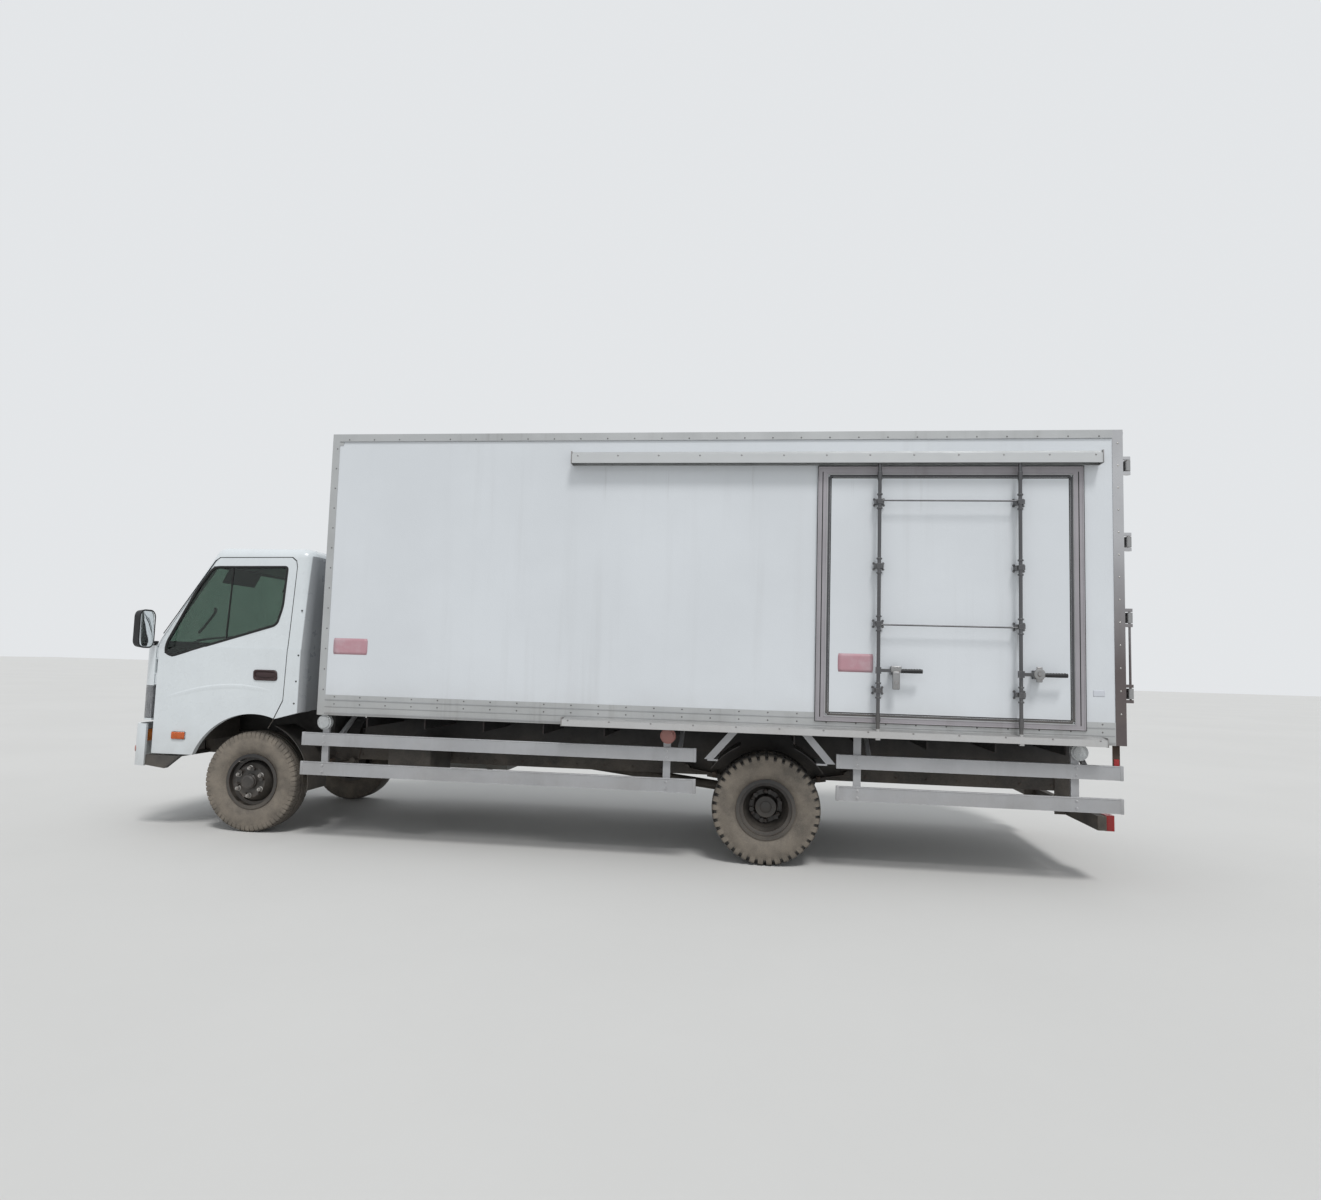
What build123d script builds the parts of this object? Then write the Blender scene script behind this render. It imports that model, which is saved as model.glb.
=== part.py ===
from build123d import *
import os
from math import cos, pi, radians, sin, sqrt

# Refrigerated delivery truck with a tilting wide cab over the front axle, a
# ladder frame with twin rear wheels, and an insulated box body that has two
# rear doors and one large plug door in its left wall.
# Frame: +X forward, +Y to the truck's left, +Z up, millimetres. The origin is
# on the ground, midway along and across the whole truck.

os.makedirs("parts", exist_ok=True)

# Driving dimensions of the chassis
WHEELBASE = 4200.0
FRONT_OVERHANG = 1070.0
BOX_REAR_OVERHANG = 2494.0
TYRE_RADIUS = 408.0
TYRE_WIDTH = 215.0
FRONT_TRACK = 1665.0
TWIN_TRACK = 1640.0
TWIN_SPACING = 250.0
RAIL_TOP = 760.0
RAIL_HEIGHT = 200.0
RAIL_FLANGE = 60.0
RAIL_PLATE = 7.0
FRAME_WIDTH = 750.0

# Driving dimensions of the box body
BOX_LENGTH = 6027.0
BOX_WIDTH = 2300.0
BOX_TOP = 3248.0
BOX_BOTTOM = 991.0
BOX_FLOOR = 110.0
BOX_WALL = 80.0
BOX_ROOF = 90.0
TRIM = 4.0
LOWER_TRIM_HEIGHT = 160.0
TOP_TRIM_HEIGHT = 62.0
CORNER_TRIM = 60.0

# Driving dimensions of the cab
CAB_WIDTH = 1976.0
CAB_TOP = 2345.0
CAB_BACK = 445.0
CAB_WALL = 42.0
CAB_FRONT = 1030.0
COWL_TOP = 1500.0
PANEL_BOTTOM = 880.0
DOOR_GAP = 7.0
GLASS = 6.0

# Clearances
SEAT_GAP = 0.3
PIN_GAP = 0.05

# Rear door hinges stand behind the rear frame
REAR_HINGE_BACK = 37.0
REAR_HINGE_RADIUS = 20.0

# Places worked out from the driving dimensions
REAR_END = BOX_REAR_OVERHANG + REAR_HINGE_BACK + REAR_HINGE_RADIUS
X_REAR = -(FRONT_OVERHANG + WHEELBASE - REAR_END) / 2
X_FRONT = X_REAR + WHEELBASE
AXLE_Z = TYRE_RADIUS
RAIL_BOTTOM = RAIL_TOP - RAIL_HEIGHT
RAIL_OUT = FRAME_WIDTH / 2
BOX_BACK = X_REAR - BOX_REAR_OVERHANG
BOX_NOSE = BOX_BACK + BOX_LENGTH
BOX_OUT = BOX_WIDTH / 2
SKIN_OUT = BOX_OUT - TRIM
CAB_OUT = CAB_WIDTH / 2
X_CAB_BACK = X_FRONT - CAB_BACK


def block(x0, x1, y0, y1, z0, z1, mode=Mode.ADD):
    """Add, or cut, a box given by its low and high corner."""
    with Locations(((x0 + x1) / 2, (y0 + y1) / 2, (z0 + z1) / 2)):
        Box(abs(x1 - x0), abs(y1 - y0), abs(z1 - z0), mode=mode)


def side_prism(points, y_low, y_high, mode=Mode.ADD):
    """Add, or cut, a prism with its outline in the XZ plane."""
    plane = Plane(origin=(0, y_high, 0), x_dir=(1, 0, 0), z_dir=(0, -1, 0))
    with BuildSketch(plane) as outline:
        with BuildLine():
            Polyline(*points, close=True)
        make_face()
    extrude(outline.sketch, amount=y_high - y_low, mode=mode)


def cross_prism(points, x_low, x_high, mode=Mode.ADD):
    """Add, or cut, a prism with its outline in the YZ plane."""
    with BuildSketch(Plane.YZ.offset(x_low)) as outline:
        with BuildLine():
            Polyline(*points, close=True)
        make_face()
    extrude(outline.sketch, amount=x_high - x_low, mode=mode)


def plan_prism(points, z_low, z_high, mode=Mode.ADD):
    """Add, or cut, a prism with its outline in the XY plane."""
    with BuildSketch(Plane.XY.offset(z_low)) as outline:
        with BuildLine():
            Polyline(*points, close=True)
        make_face()
    extrude(outline.sketch, amount=z_high - z_low, mode=mode)


def rod(start, end, radius, mode=Mode.ADD):
    """Add, or cut, a round bar from one point to another."""
    run = Vector(*end) - Vector(*start)
    with BuildSketch(Plane(origin=start, z_dir=run)) as section:
        Circle(radius)
    extrude(section.sketch, amount=run.length, mode=mode)


def ring(outline, x, z, mode=Mode.ADD):
    """Revolve (y, radius) points about a wheel's axis at x, z."""
    with BuildSketch(Plane.YZ.offset(x)) as section:
        with BuildLine():
            Polyline(*[(y, z + r) for y, r in outline], close=True)
        make_face()
    revolve(section.sketch, axis=Axis((x, 0, z), (0, 1, 0)), mode=mode)


def save(builder, label):
    """Label a finished piece and write its STEP file."""
    builder.part.label = label
    export_step(builder.part, f"parts/{label}.step")


# Ladder frame: two channel rails, cross members, tilt brackets for the cab at
# the front ends and the underrun bar that hangs below the rear ends.
FRAME_FRONT = X_FRONT + 935.0
FRAME_REAR = BOX_BACK + 90.0
# Cross members: name, place along the truck, height of the foot over the rail's
CROSS_MEMBERS = [("front", X_FRONT + 800.0, 30.0), ("gearbox", X_FRONT - 1010.0, 150.0),
                 ("shaft", X_FRONT - 1900.0, 150.0), ("spring_front", X_REAR + 640.0, 30.0),
                 ("spring_rear", X_REAR - 640.0, 30.0), ("tail", FRAME_REAR + 60.0, 30.0)]
TILT_X = X_FRONT + 1012.0
TILT_Z = 842.0
TILT_PIN = 12.0
TILT_LUG = 22.0
TILT_EAR = 14.0
UNDERRUN_Z = 430.0
UNDERRUN_HEIGHT = 100.0
UNDERRUN_HALF = 1020.0

with BuildPart() as ladder_frame:
    for side in (1, -1):
        web = sorted((side * RAIL_OUT, side * (RAIL_OUT - RAIL_PLATE)))
        flange = sorted((side * RAIL_OUT, side * (RAIL_OUT - RAIL_FLANGE)))
        block(FRAME_REAR, FRAME_FRONT, *web, RAIL_BOTTOM, RAIL_TOP)
        block(FRAME_REAR, FRAME_FRONT, *flange, RAIL_TOP - RAIL_PLATE, RAIL_TOP)
        block(FRAME_REAR, FRAME_FRONT, *flange, RAIL_BOTTOM, RAIL_BOTTOM + RAIL_PLATE)
        # Tilt bracket: a plate on the rail's web that carries the hinge pin
        ear = sorted((side * (RAIL_OUT - RAIL_PLATE), side * (RAIL_OUT - RAIL_PLATE - TILT_EAR)))
        side_prism([(FRAME_FRONT - 150, RAIL_BOTTOM + 40), (FRAME_FRONT, RAIL_BOTTOM + 40),
                    (TILT_X + TILT_LUG, TILT_Z - TILT_LUG), (TILT_X + TILT_LUG, TILT_Z),
                    (TILT_X - TILT_LUG, TILT_Z), (FRAME_FRONT - 150, RAIL_TOP - 20)], *ear)
        rod((TILT_X, ear[0], TILT_Z), (TILT_X, ear[1], TILT_Z), TILT_LUG)
        # Underrun hanger
        hanger = sorted((side * RAIL_OUT, side * (RAIL_OUT + 12.0)))
        block(FRAME_REAR + 20, FRAME_REAR + 140, *hanger,
              UNDERRUN_Z - UNDERRUN_HEIGHT / 2, RAIL_TOP - 20)
    for name, x, foot in CROSS_MEMBERS:
        block(x - 30, x + 30, -RAIL_OUT + RAIL_PLATE, RAIL_OUT - RAIL_PLATE,
              RAIL_BOTTOM + foot, RAIL_BOTTOM + foot + RAIL_PLATE)
        block(x - RAIL_PLATE / 2, x + RAIL_PLATE / 2, -RAIL_OUT + RAIL_PLATE,
              RAIL_OUT - RAIL_PLATE, RAIL_BOTTOM + foot, RAIL_TOP - 20)
    block(FRAME_REAR, FRAME_REAR + 60, -UNDERRUN_HALF, UNDERRUN_HALF,
          UNDERRUN_Z - UNDERRUN_HEIGHT / 2, UNDERRUN_Z + UNDERRUN_HEIGHT / 2)
    # Hinge pins stick out of the brackets towards the middle
    for side in (1, -1):
        rod((TILT_X, side * (RAIL_OUT - RAIL_PLATE - 1), TILT_Z),
            (TILT_X, side * (RAIL_OUT - RAIL_PLATE - TILT_EAR - 50), TILT_Z), TILT_PIN)
save(ladder_frame, "ladder_frame")

# Sub-frame: two long sills on the rails and cross bearers under the box floor
SILL_HALF = 35.0
BEARER_PITCH = 480.0
BEARER_HEIGHT = 90.0
BEARER_HALF = 40.0
BEARER_END = BOX_OUT - 100.0
BEARER_COUNT = int((BOX_LENGTH - 300.0) // BEARER_PITCH) + 1
BEARER_START = BOX_BACK + (BOX_LENGTH - (BEARER_COUNT - 1) * BEARER_PITCH) / 2
with BuildPart() as box_bearers:
    for side in (1, -1):
        y = side * (RAIL_OUT - SILL_HALF)
        block(BOX_BACK + 60, BOX_NOSE - 30, y - SILL_HALF, y + SILL_HALF, RAIL_TOP, BOX_BOTTOM)
    for i in range(BEARER_COUNT):
        x = BEARER_START + i * BEARER_PITCH
        side_prism([(x - BEARER_HALF, BOX_BOTTOM), (x + BEARER_HALF, BOX_BOTTOM),
                    (x + BEARER_HALF, BOX_BOTTOM - 8), (x + 5, BOX_BOTTOM - 8),
                    (x + 5, BOX_BOTTOM - BEARER_HEIGHT), (x - 5, BOX_BOTTOM - BEARER_HEIGHT),
                    (x - 5, BOX_BOTTOM - 8), (x - BEARER_HALF, BOX_BOTTOM - 8)],
                   -BEARER_END, BEARER_END)
save(box_bearers, "box_bearers")

# Front axle: a dropped forged beam with a yoke at each end for the knuckle
KINGPIN_Y = FRONT_TRACK / 2 - 150.0
KINGPIN_RADIUS = 16.0
YOKE_RADIUS = 38.0
YOKE_HALF = 45.0
AXLE_DROP = 60.0
SPRING_Y = RAIL_OUT + 45.0
SPRING_WIDTH = 70.0
with BuildPart() as front_axle_beam:
    half = [(KINGPIN_Y, AXLE_Z - 32), (KINGPIN_Y, AXLE_Z + 32), (SPRING_Y + 60, AXLE_Z + 20),
            (SPRING_Y - 60, AXLE_Z - AXLE_DROP + 45)]
    lower = [(SPRING_Y - 60, AXLE_Z - AXLE_DROP - 30), (SPRING_Y + 60, AXLE_Z - 45)]
    outline = half + [(-y, z) for y, z in reversed(half)]
    outline += [(-y, z) for y, z in reversed(lower)] + lower
    cross_prism(outline, X_FRONT - 34, X_FRONT + 34)
    for side in (1, -1):
        rod((X_FRONT, side * KINGPIN_Y, AXLE_Z - YOKE_HALF),
            (X_FRONT, side * KINGPIN_Y, AXLE_Z + YOKE_HALF), YOKE_RADIUS)
        rod((X_FRONT, side * KINGPIN_Y, AXLE_Z - YOKE_HALF - 34),
            (X_FRONT, side * KINGPIN_Y, AXLE_Z + YOKE_HALF + 34), KINGPIN_RADIUS)
        block(X_FRONT - 60, X_FRONT + 60, side * SPRING_Y - SPRING_WIDTH / 2,
              side * SPRING_Y + SPRING_WIDTH / 2, AXLE_Z - 45, AXLE_Z + 26)
save(front_axle_beam, "front_axle_beam")

# Rear axle: a tube through the wheels with the final drive in its middle
REAR_TUBE = 58.0
REAR_TUBE_END = TWIN_TRACK / 2 + 60.0
DIFF_RADIUS = 175.0
DIFF_NOSE = 260.0
with BuildPart() as rear_axle:
    rod((X_REAR, -TWIN_TRACK / 2 + 160, AXLE_Z), (X_REAR, TWIN_TRACK / 2 - 160, AXLE_Z), REAR_TUBE)
    rod((X_REAR, -REAR_TUBE_END, AXLE_Z), (X_REAR, REAR_TUBE_END, AXLE_Z), 42.0)
    rod((X_REAR - 60, 0, AXLE_Z), (X_REAR + 60, 0, AXLE_Z), DIFF_RADIUS)
    rod((X_REAR - 120, 0, AXLE_Z), (X_REAR + 120, 0, AXLE_Z), DIFF_RADIUS - 45)
    rod((X_REAR + 90, 0, AXLE_Z), (X_REAR + DIFF_NOSE, 0, AXLE_Z), 70.0)
    for side in (1, -1):
        block(X_REAR - 65, X_REAR + 65, side * SPRING_Y - SPRING_WIDTH / 2,
              side * SPRING_Y + SPRING_WIDTH / 2, AXLE_Z + 20, AXLE_Z + 75)
save(rear_axle, "rear_axle")

# Leaf springs: one stack a side on each axle, eyes in hangers on the rails
SPRINGS = [("front", X_FRONT, 1250.0, AXLE_Z + 26.0, 4), ("rear", X_REAR, 1300.0, AXLE_Z + 75.0, 6)]
LEAF = 11.0
EYE_RADIUS = 24.0
with BuildPart() as leaf_springs:
    for name, x, length, seat_z, leaves in SPRINGS:
        for side in (1, -1):
            y_low = side * SPRING_Y - SPRING_WIDTH / 2
            y_high = side * SPRING_Y + SPRING_WIDTH / 2
            eye_z = seat_z + leaves * LEAF + 75.0
            for i in range(leaves):
                reach = length / 2 * (1 - 0.13 * (leaves - 1 - i))
                rise = 75.0 * (reach / (length / 2)) ** 2
                z = seat_z + i * LEAF
                side_prism([(x - reach, z + rise), (x - reach / 2, z + rise / 4), (x - 60, z),
                            (x + 60, z), (x + reach / 2, z + rise / 4), (x + reach, z + rise),
                            (x + reach, z + rise + LEAF), (x + reach / 2, z + rise / 4 + LEAF),
                            (x + 60, z + LEAF), (x - 60, z + LEAF),
                            (x - reach / 2, z + rise / 4 + LEAF), (x - reach, z + rise + LEAF)],
                           y_low, y_high)
            for end in (-1, 1):
                rod((x + end * length / 2, y_low, eye_z), (x + end * length / 2, y_high, eye_z),
                    EYE_RADIUS)
                wall = sorted((side * RAIL_OUT, side * (SPRING_Y - SPRING_WIDTH / 2)))
                side_prism([(x + end * length / 2 - 45, RAIL_BOTTOM + 90),
                            (x + end * length / 2 + 45, RAIL_BOTTOM + 90),
                            (x + end * length / 2 + 22, eye_z - 26),
                            (x + end * length / 2 - 22, eye_z - 26)],
                           wall[0] if side > 0 else wall[0] - 2, wall[1] + 2 if side > 0 else wall[1])
save(leaf_springs, "leaf_springs")

# Engine under the cab, one plain block with its sump
ENGINE_HALF = 285.0
ENGINE_FRONT = X_FRONT + 560.0
ENGINE_REAR = X_FRONT - 360.0
ENGINE_TOP = 1090.0
ENGINE_LOW = 560.0
with BuildPart() as engine_block:
    block(ENGINE_REAR, ENGINE_FRONT, -ENGINE_HALF, ENGINE_HALF, RAIL_BOTTOM + 40, ENGINE_TOP)
    block(ENGINE_REAR + 60, ENGINE_FRONT - 330, -190, 190, ENGINE_LOW - 70, RAIL_BOTTOM + 40)
    for side in (1, -1):
        foot = sorted((side * (ENGINE_HALF - 5), side * (RAIL_OUT - RAIL_PLATE)))
        block(X_FRONT + 60, X_FRONT + 160, *foot, RAIL_BOTTOM + 60, RAIL_TOP - 60)
save(engine_block, "engine_block")

# Gearbox and two-piece propeller shaft back to the final drive
GEARBOX_LENGTH = 560.0
SHAFT_RADIUS = 40.0
CENTRE_BEARING_X = X_FRONT - 1900.0 + 40.0
with BuildPart() as drive_line:
    rod((ENGINE_REAR, 0, 700), (ENGINE_REAR - 180, 0, 700), 190)
    block(ENGINE_REAR - GEARBOX_LENGTH, ENGINE_REAR - 170, -120, 120, 560, 800)
    rod((ENGINE_REAR - GEARBOX_LENGTH + 5, 0, 660), (CENTRE_BEARING_X, 0, 640), SHAFT_RADIUS)
    rod((CENTRE_BEARING_X, 0, 640), (X_REAR + DIFF_NOSE + 16, 0, AXLE_Z + 2), SHAFT_RADIUS)
    rod((CENTRE_BEARING_X - 30, 0, 640), (CENTRE_BEARING_X + 30, 0, 640), 70)
save(drive_line, "drive_line")

# Fuel tank on the right rail, battery box on the left rail behind the guard
TANK_FRONT = X_FRONT - 900.0
TANK_LENGTH = 850.0
TANK_HALF = 230.0
TANK_Y = -(RAIL_OUT + 20.0 + TANK_HALF)
TANK_Z = 610.0
with BuildPart() as fuel_tank:
    with BuildSketch(Plane.YZ.offset(TANK_FRONT - TANK_LENGTH)) as tank_end:
        with Locations((TANK_Y, TANK_Z)):
            RectangleRounded(2 * TANK_HALF, 400, 60)
    extrude(tank_end.sketch, amount=TANK_LENGTH)
    for x in (TANK_FRONT - 200, TANK_FRONT - TANK_LENGTH + 200):
        block(x - 30, x + 30, TANK_Y + TANK_HALF, -RAIL_OUT, RAIL_BOTTOM + 20, RAIL_TOP)
    rod((TANK_FRONT - 120, TANK_Y - 100, TANK_Z + 195), (TANK_FRONT - 120, TANK_Y - 100, TANK_Z + 240), 45)
save(fuel_tank, "fuel_tank")

BATTERY_FRONT = X_REAR + 3020.0
BATTERY_LENGTH = 360.0
BATTERY_OUT = 950.0
BATTERY_LOW = 520.0
BATTERY_TOP = 775.0
with BuildPart() as battery_box:
    block(BATTERY_FRONT - BATTERY_LENGTH, BATTERY_FRONT, RAIL_OUT + 120, BATTERY_OUT,
          BATTERY_LOW, BATTERY_TOP)
    fillet(battery_box.edges().filter_by(Axis.Z), radius=18)
    for x in (BATTERY_FRONT - BATTERY_LENGTH + 60, BATTERY_FRONT - 60):
        block(x - 20, x + 20, RAIL_OUT, RAIL_OUT + 125, RAIL_BOTTOM + 30, RAIL_BOTTOM + 60)
save(battery_box, "battery_box")

# Silencer and tail pipe on the right rail
EXHAUST_RADIUS = 110.0
EXHAUST_Y = -(RAIL_OUT + 35.0 + EXHAUST_RADIUS)
EXHAUST_FRONT = TANK_FRONT - TANK_LENGTH - 180.0
with BuildPart() as exhaust:
    rod((EXHAUST_FRONT, EXHAUST_Y, 620), (EXHAUST_FRONT - 620, EXHAUST_Y, 620), EXHAUST_RADIUS)
    rod((EXHAUST_FRONT - 610, EXHAUST_Y, 600), (EXHAUST_FRONT - 760, EXHAUST_Y - 250, 560), 32)
    for x in (EXHAUST_FRONT - 120, EXHAUST_FRONT - 500):
        block(x - 15, x + 15, EXHAUST_Y, -RAIL_OUT, 655, 675)
save(exhaust, "exhaust")

# Bumper: a hollow beam rounded at both corners, with a black valance behind it
BUMPER_HALF = 1012.0
BUMPER_TOP = 850.0
BUMPER_LOW = 508.0
BUMPER_SKIN = 22.0
BUMPER_CORNER = 130.0
BUMPER_FLAT = 400.0
BUMPER_RETURN = X_FRONT + 905.0
BUMPER_FACE = X_FRONT + FRONT_OVERHANG
VALANCE_BACK = X_FRONT + 600.0
VALANCE_TOP = 597.0
# Lamp pocket in the bumper: inner and outer side, lower and upper edge
LAMP_POCKET = (610.0, 830.0, 690.0, 790.0)
with BuildPart() as bumper:
    with BuildSketch(Plane.XY.offset(BUMPER_LOW)) as beam_plan:
        with BuildLine():
            inner_half = BUMPER_HALF - BUMPER_SKIN
            FilletPolyline((BUMPER_RETURN, BUMPER_HALF), (BUMPER_FACE - 20, BUMPER_HALF),
                           (BUMPER_FACE, BUMPER_FLAT), (BUMPER_FACE, -BUMPER_FLAT),
                           (BUMPER_FACE - 20, -BUMPER_HALF), (BUMPER_RETURN, -BUMPER_HALF),
                           radius=[BUMPER_CORNER, 900.0, 900.0, BUMPER_CORNER])
            Line((BUMPER_RETURN, -BUMPER_HALF), (BUMPER_RETURN, -inner_half))
            FilletPolyline((BUMPER_RETURN, -inner_half), (BUMPER_FACE - 20 - BUMPER_SKIN, -inner_half),
                           (BUMPER_FACE - BUMPER_SKIN, -BUMPER_FLAT), (BUMPER_FACE - BUMPER_SKIN, BUMPER_FLAT),
                           (BUMPER_FACE - 20 - BUMPER_SKIN, inner_half), (BUMPER_RETURN, inner_half),
                           radius=[BUMPER_CORNER - BUMPER_SKIN, 900.0, 900.0, BUMPER_CORNER - BUMPER_SKIN])
            Line((BUMPER_RETURN, inner_half), (BUMPER_RETURN, BUMPER_HALF))
        make_face()
    extrude(beam_plan.sketch, amount=BUMPER_TOP - BUMPER_LOW)
    # Lower intake slot and two lamp recesses
    block(BUMPER_FACE - 60, BUMPER_FACE + 10, -420, 420, BUMPER_LOW + 70, BUMPER_LOW + 150,
          mode=Mode.SUBTRACT)
    for side in (1, -1):
        block(BUMPER_FACE - 60, BUMPER_FACE + 10, *sorted((side * LAMP_POCKET[0], side * LAMP_POCKET[1])),
              *LAMP_POCKET[2:], mode=Mode.SUBTRACT)
    # Arms back to the rail ends
    for side in (1, -1):
        y = sorted((side * (RAIL_OUT + 2), side * (RAIL_OUT + 14)))
        block(FRAME_FRONT - 120, BUMPER_FACE - BUMPER_SKIN - 8, *y, RAIL_BOTTOM + 30, RAIL_BOTTOM + 140)
        z = sorted((side * (RAIL_OUT), side * (RAIL_OUT + 3)))
        block(FRAME_FRONT - 100, FRAME_FRONT - 40, *z, RAIL_BOTTOM + 50, RAIL_BOTTOM + 110)
        flange = sorted((side * (RAIL_OUT - 20), side * (RAIL_OUT + 120)))
        block(BUMPER_FACE - BUMPER_SKIN - 22, BUMPER_FACE - BUMPER_SKIN + 4, *flange,
              RAIL_BOTTOM + 20, RAIL_BOTTOM + 160)
        # Valance under the door's front, and its stay to the rail
        y = sorted((side * (BUMPER_HALF - 60), side * (BUMPER_HALF - 12)))
        side_prism([(VALANCE_BACK, VALANCE_TOP), (BUMPER_RETURN + 30, VALANCE_TOP),
                    (BUMPER_RETURN + 30, BUMPER_LOW + 10), (VALANCE_BACK + 130, 492)], *y)
        y = sorted((side * RAIL_OUT, side * (BUMPER_HALF - 40)))
        block(VALANCE_BACK + 170, VALANCE_BACK + 210, *y, RAIL_BOTTOM + 2, RAIL_BOTTOM + 32)
save(bumper, "bumper")

# Lamps on the chassis and box: round side markers under the sill, amber lamps
# on the bumper's corners, and rear clusters on the underrun bar
MARKER_XS = [X_REAR + 3473.0, X_REAR + 738.0, X_REAR - 2186.0]
MARKER_RADIUS = 58.0
MARKER_DEPTH = 34.0
MARKER_Z = BOX_BOTTOM - MARKER_RADIUS
MARKER_BACK = BOX_OUT - 48.0
REAR_LAMP = (280.0, 60.0, 110.0)
with BuildPart() as chassis_lamps:
    for side in (1, -1):
        inner, outer, low, high = LAMP_POCKET
        block(BUMPER_FACE - BUMPER_SKIN - 24, BUMPER_FACE - 18,
              *sorted((side * (inner + SEAT_GAP), side * (outer - SEAT_GAP))), low + SEAT_GAP, high - SEAT_GAP)
        for x in MARKER_XS:
            rod((x, side * MARKER_BACK, MARKER_Z),
                (x, side * (MARKER_BACK + MARKER_DEPTH), MARKER_Z), MARKER_RADIUS)
            rod((x, side * (MARKER_BACK + MARKER_DEPTH), MARKER_Z),
                (x, side * (MARKER_BACK + MARKER_DEPTH + 10), MARKER_Z), MARKER_RADIUS - 14)
        y = side * (UNDERRUN_HALF - REAR_LAMP[0] / 2 - 20)
        block(FRAME_REAR - REAR_LAMP[1], FRAME_REAR, y - REAR_LAMP[0] / 2, y + REAR_LAMP[0] / 2,
              UNDERRUN_Z - REAR_LAMP[2] / 2, UNDERRUN_Z + REAR_LAMP[2] / 2)
save(chassis_lamps, "chassis_lamps")

# Mudguards: arched skins behind the front wheels and over the rear wheels
FRONT_GUARD_RADIUS = 492.0
REAR_GUARD_RADIUS = 500.0
GUARD_SKIN = 6.0


def guard_arc(x, radius, start_deg, end_deg, y_low, y_high):
    """Add a thin arched skin about a wheel's axle."""
    plane = Plane(origin=(0, y_high, 0), x_dir=(1, 0, 0), z_dir=(0, -1, 0))
    with BuildSketch(plane) as skin:
        with BuildLine():
            arc = CenterArc((x, AXLE_Z), radius, start_deg, end_deg - start_deg)
            over = CenterArc((x, AXLE_Z), radius + GUARD_SKIN, start_deg, end_deg - start_deg)
            Line(arc @ 0, over @ 0)
            Line(arc @ 1, over @ 1)
        make_face()
    extrude(skin.sketch, amount=y_high - y_low)


with BuildPart() as mudguards:
    for side in (1, -1):
        y = sorted((side * 640, side * 925))
        guard_arc(X_FRONT, FRONT_GUARD_RADIUS, 112, 186, *y)
        # Stay from the skin's top to the rail
        y = sorted((side * RAIL_OUT, side * 700))
        stay_x = X_FRONT - FRONT_GUARD_RADIUS * cos(radians(35))
        block(stay_x - 46, stay_x - 6, *y, RAIL_TOP - 70, RAIL_TOP - 45)
        for angle_range in ((34, 66), (114, 146)):
            y = sorted((side * 640, side * 1040))
            guard_arc(X_REAR, REAR_GUARD_RADIUS, *angle_range, *y)
save(mudguards, "mudguards")

# Side guards: two tiers of rail ahead of and behind the rear wheel, with
# posts that hang from the bearers, and flat braces to the mudguards
GUARD_OUT = BOX_OUT - 20.0
GUARD_DEPTH = 28.0
GUARD_TIERS = [(748.0, 848.0), (518.0, 620.0)]
GUARD_RUNS = [(X_REAR + 525.0, X_REAR + 3655.0, (X_REAR + 745.0, X_REAR + 3472.0)),
              (X_REAR - 2475.0, X_REAR - 506.0, (X_REAR - 2164.0, X_REAR - 655.0))]
POST_WIDTH = 54.0
POST_DEPTH = 24.0
STRUT_SHIFT = 92.0
BRACES = [(X_REAR + 239.0, X_REAR + 430.0), (X_REAR - 276.0, X_REAR - 466.0)]
BRACE_TOP = BOX_BOTTOM - 8.0
BRACE_LOW = 772.0
BRACE_WIDTH = 48.0
BRACE_DEPTH = 8.0
LEDGE = 12.0
for side, label in ((1, "side_guard_left"), (-1, "side_guard_right")):
    with BuildPart() as side_guard:
        post_y = sorted((side * (GUARD_OUT - GUARD_DEPTH), side * (GUARD_OUT - GUARD_DEPTH - POST_DEPTH)))
        rail_y = sorted((side * GUARD_OUT, side * (GUARD_OUT - GUARD_DEPTH)))
        for x_low, x_high, posts in GUARD_RUNS:
            for z_low, z_high in GUARD_TIERS:
                block(x_low, x_high, *rail_y, z_low, z_high)
            for x in posts:
                block(x - POST_WIDTH / 2, x + POST_WIDTH / 2, *post_y, GUARD_TIERS[1][0], BOX_BOTTOM)
                # Strut from the upper rail's back up to the box floor
                foot_y = side * (GUARD_OUT - GUARD_DEPTH)
                strut_x = x - STRUT_SHIFT
                cross_prism([(foot_y, GUARD_TIERS[0][0] + 10), (foot_y, GUARD_TIERS[0][0] + 55),
                             (side * 800.0, BOX_BOTTOM), (side * 765.0, BOX_BOTTOM)],
                            strut_x - 15, strut_x + 15)
        for top_x, low_x in BRACES:
            y = side * (GUARD_OUT - GUARD_DEPTH)
            lean = 1 if low_x > top_x else -1
            edge = BRACE_WIDTH * 0.7
            y_pair = sorted((y - side * BRACE_DEPTH, y))
            side_prism([(top_x - edge, BRACE_TOP + 8), (top_x + edge, BRACE_TOP + 8),
                        (low_x + edge, BRACE_LOW), (low_x - edge, BRACE_LOW)], *y_pair)
            # Ledge that the mudguard's skin is bolted to
            rise = BRACE_LOW - LEDGE - AXLE_Z
            skin_x = sqrt((REAR_GUARD_RADIUS + GUARD_SKIN) ** 2 - rise ** 2) + SEAT_GAP
            ledge_x = sorted((X_REAR + lean * skin_x, X_REAR + lean * (skin_x + 76)))
            block(*ledge_x, *sorted((side * 700, y)), BRACE_LOW - LEDGE, BRACE_LOW)
    save(side_guard, label)

# Tyres: a section of flat bands, one facet to each lug round the tread. Each
# row is a share of the tyre's half width and the drop from the tread.
RIM_SEAT = 205.0
TYRE_HALF = TYRE_WIDTH / 2
TYRE_SIDES = 28
TYRE_BANDS = [(0.70, 0.0), (0.93, 38.0), (1.0, 105.0)]
SIDEWALL_INNER = 118.0
BEAD_SHARE = 0.74
BEAD_HEIGHT = 20.0
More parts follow.
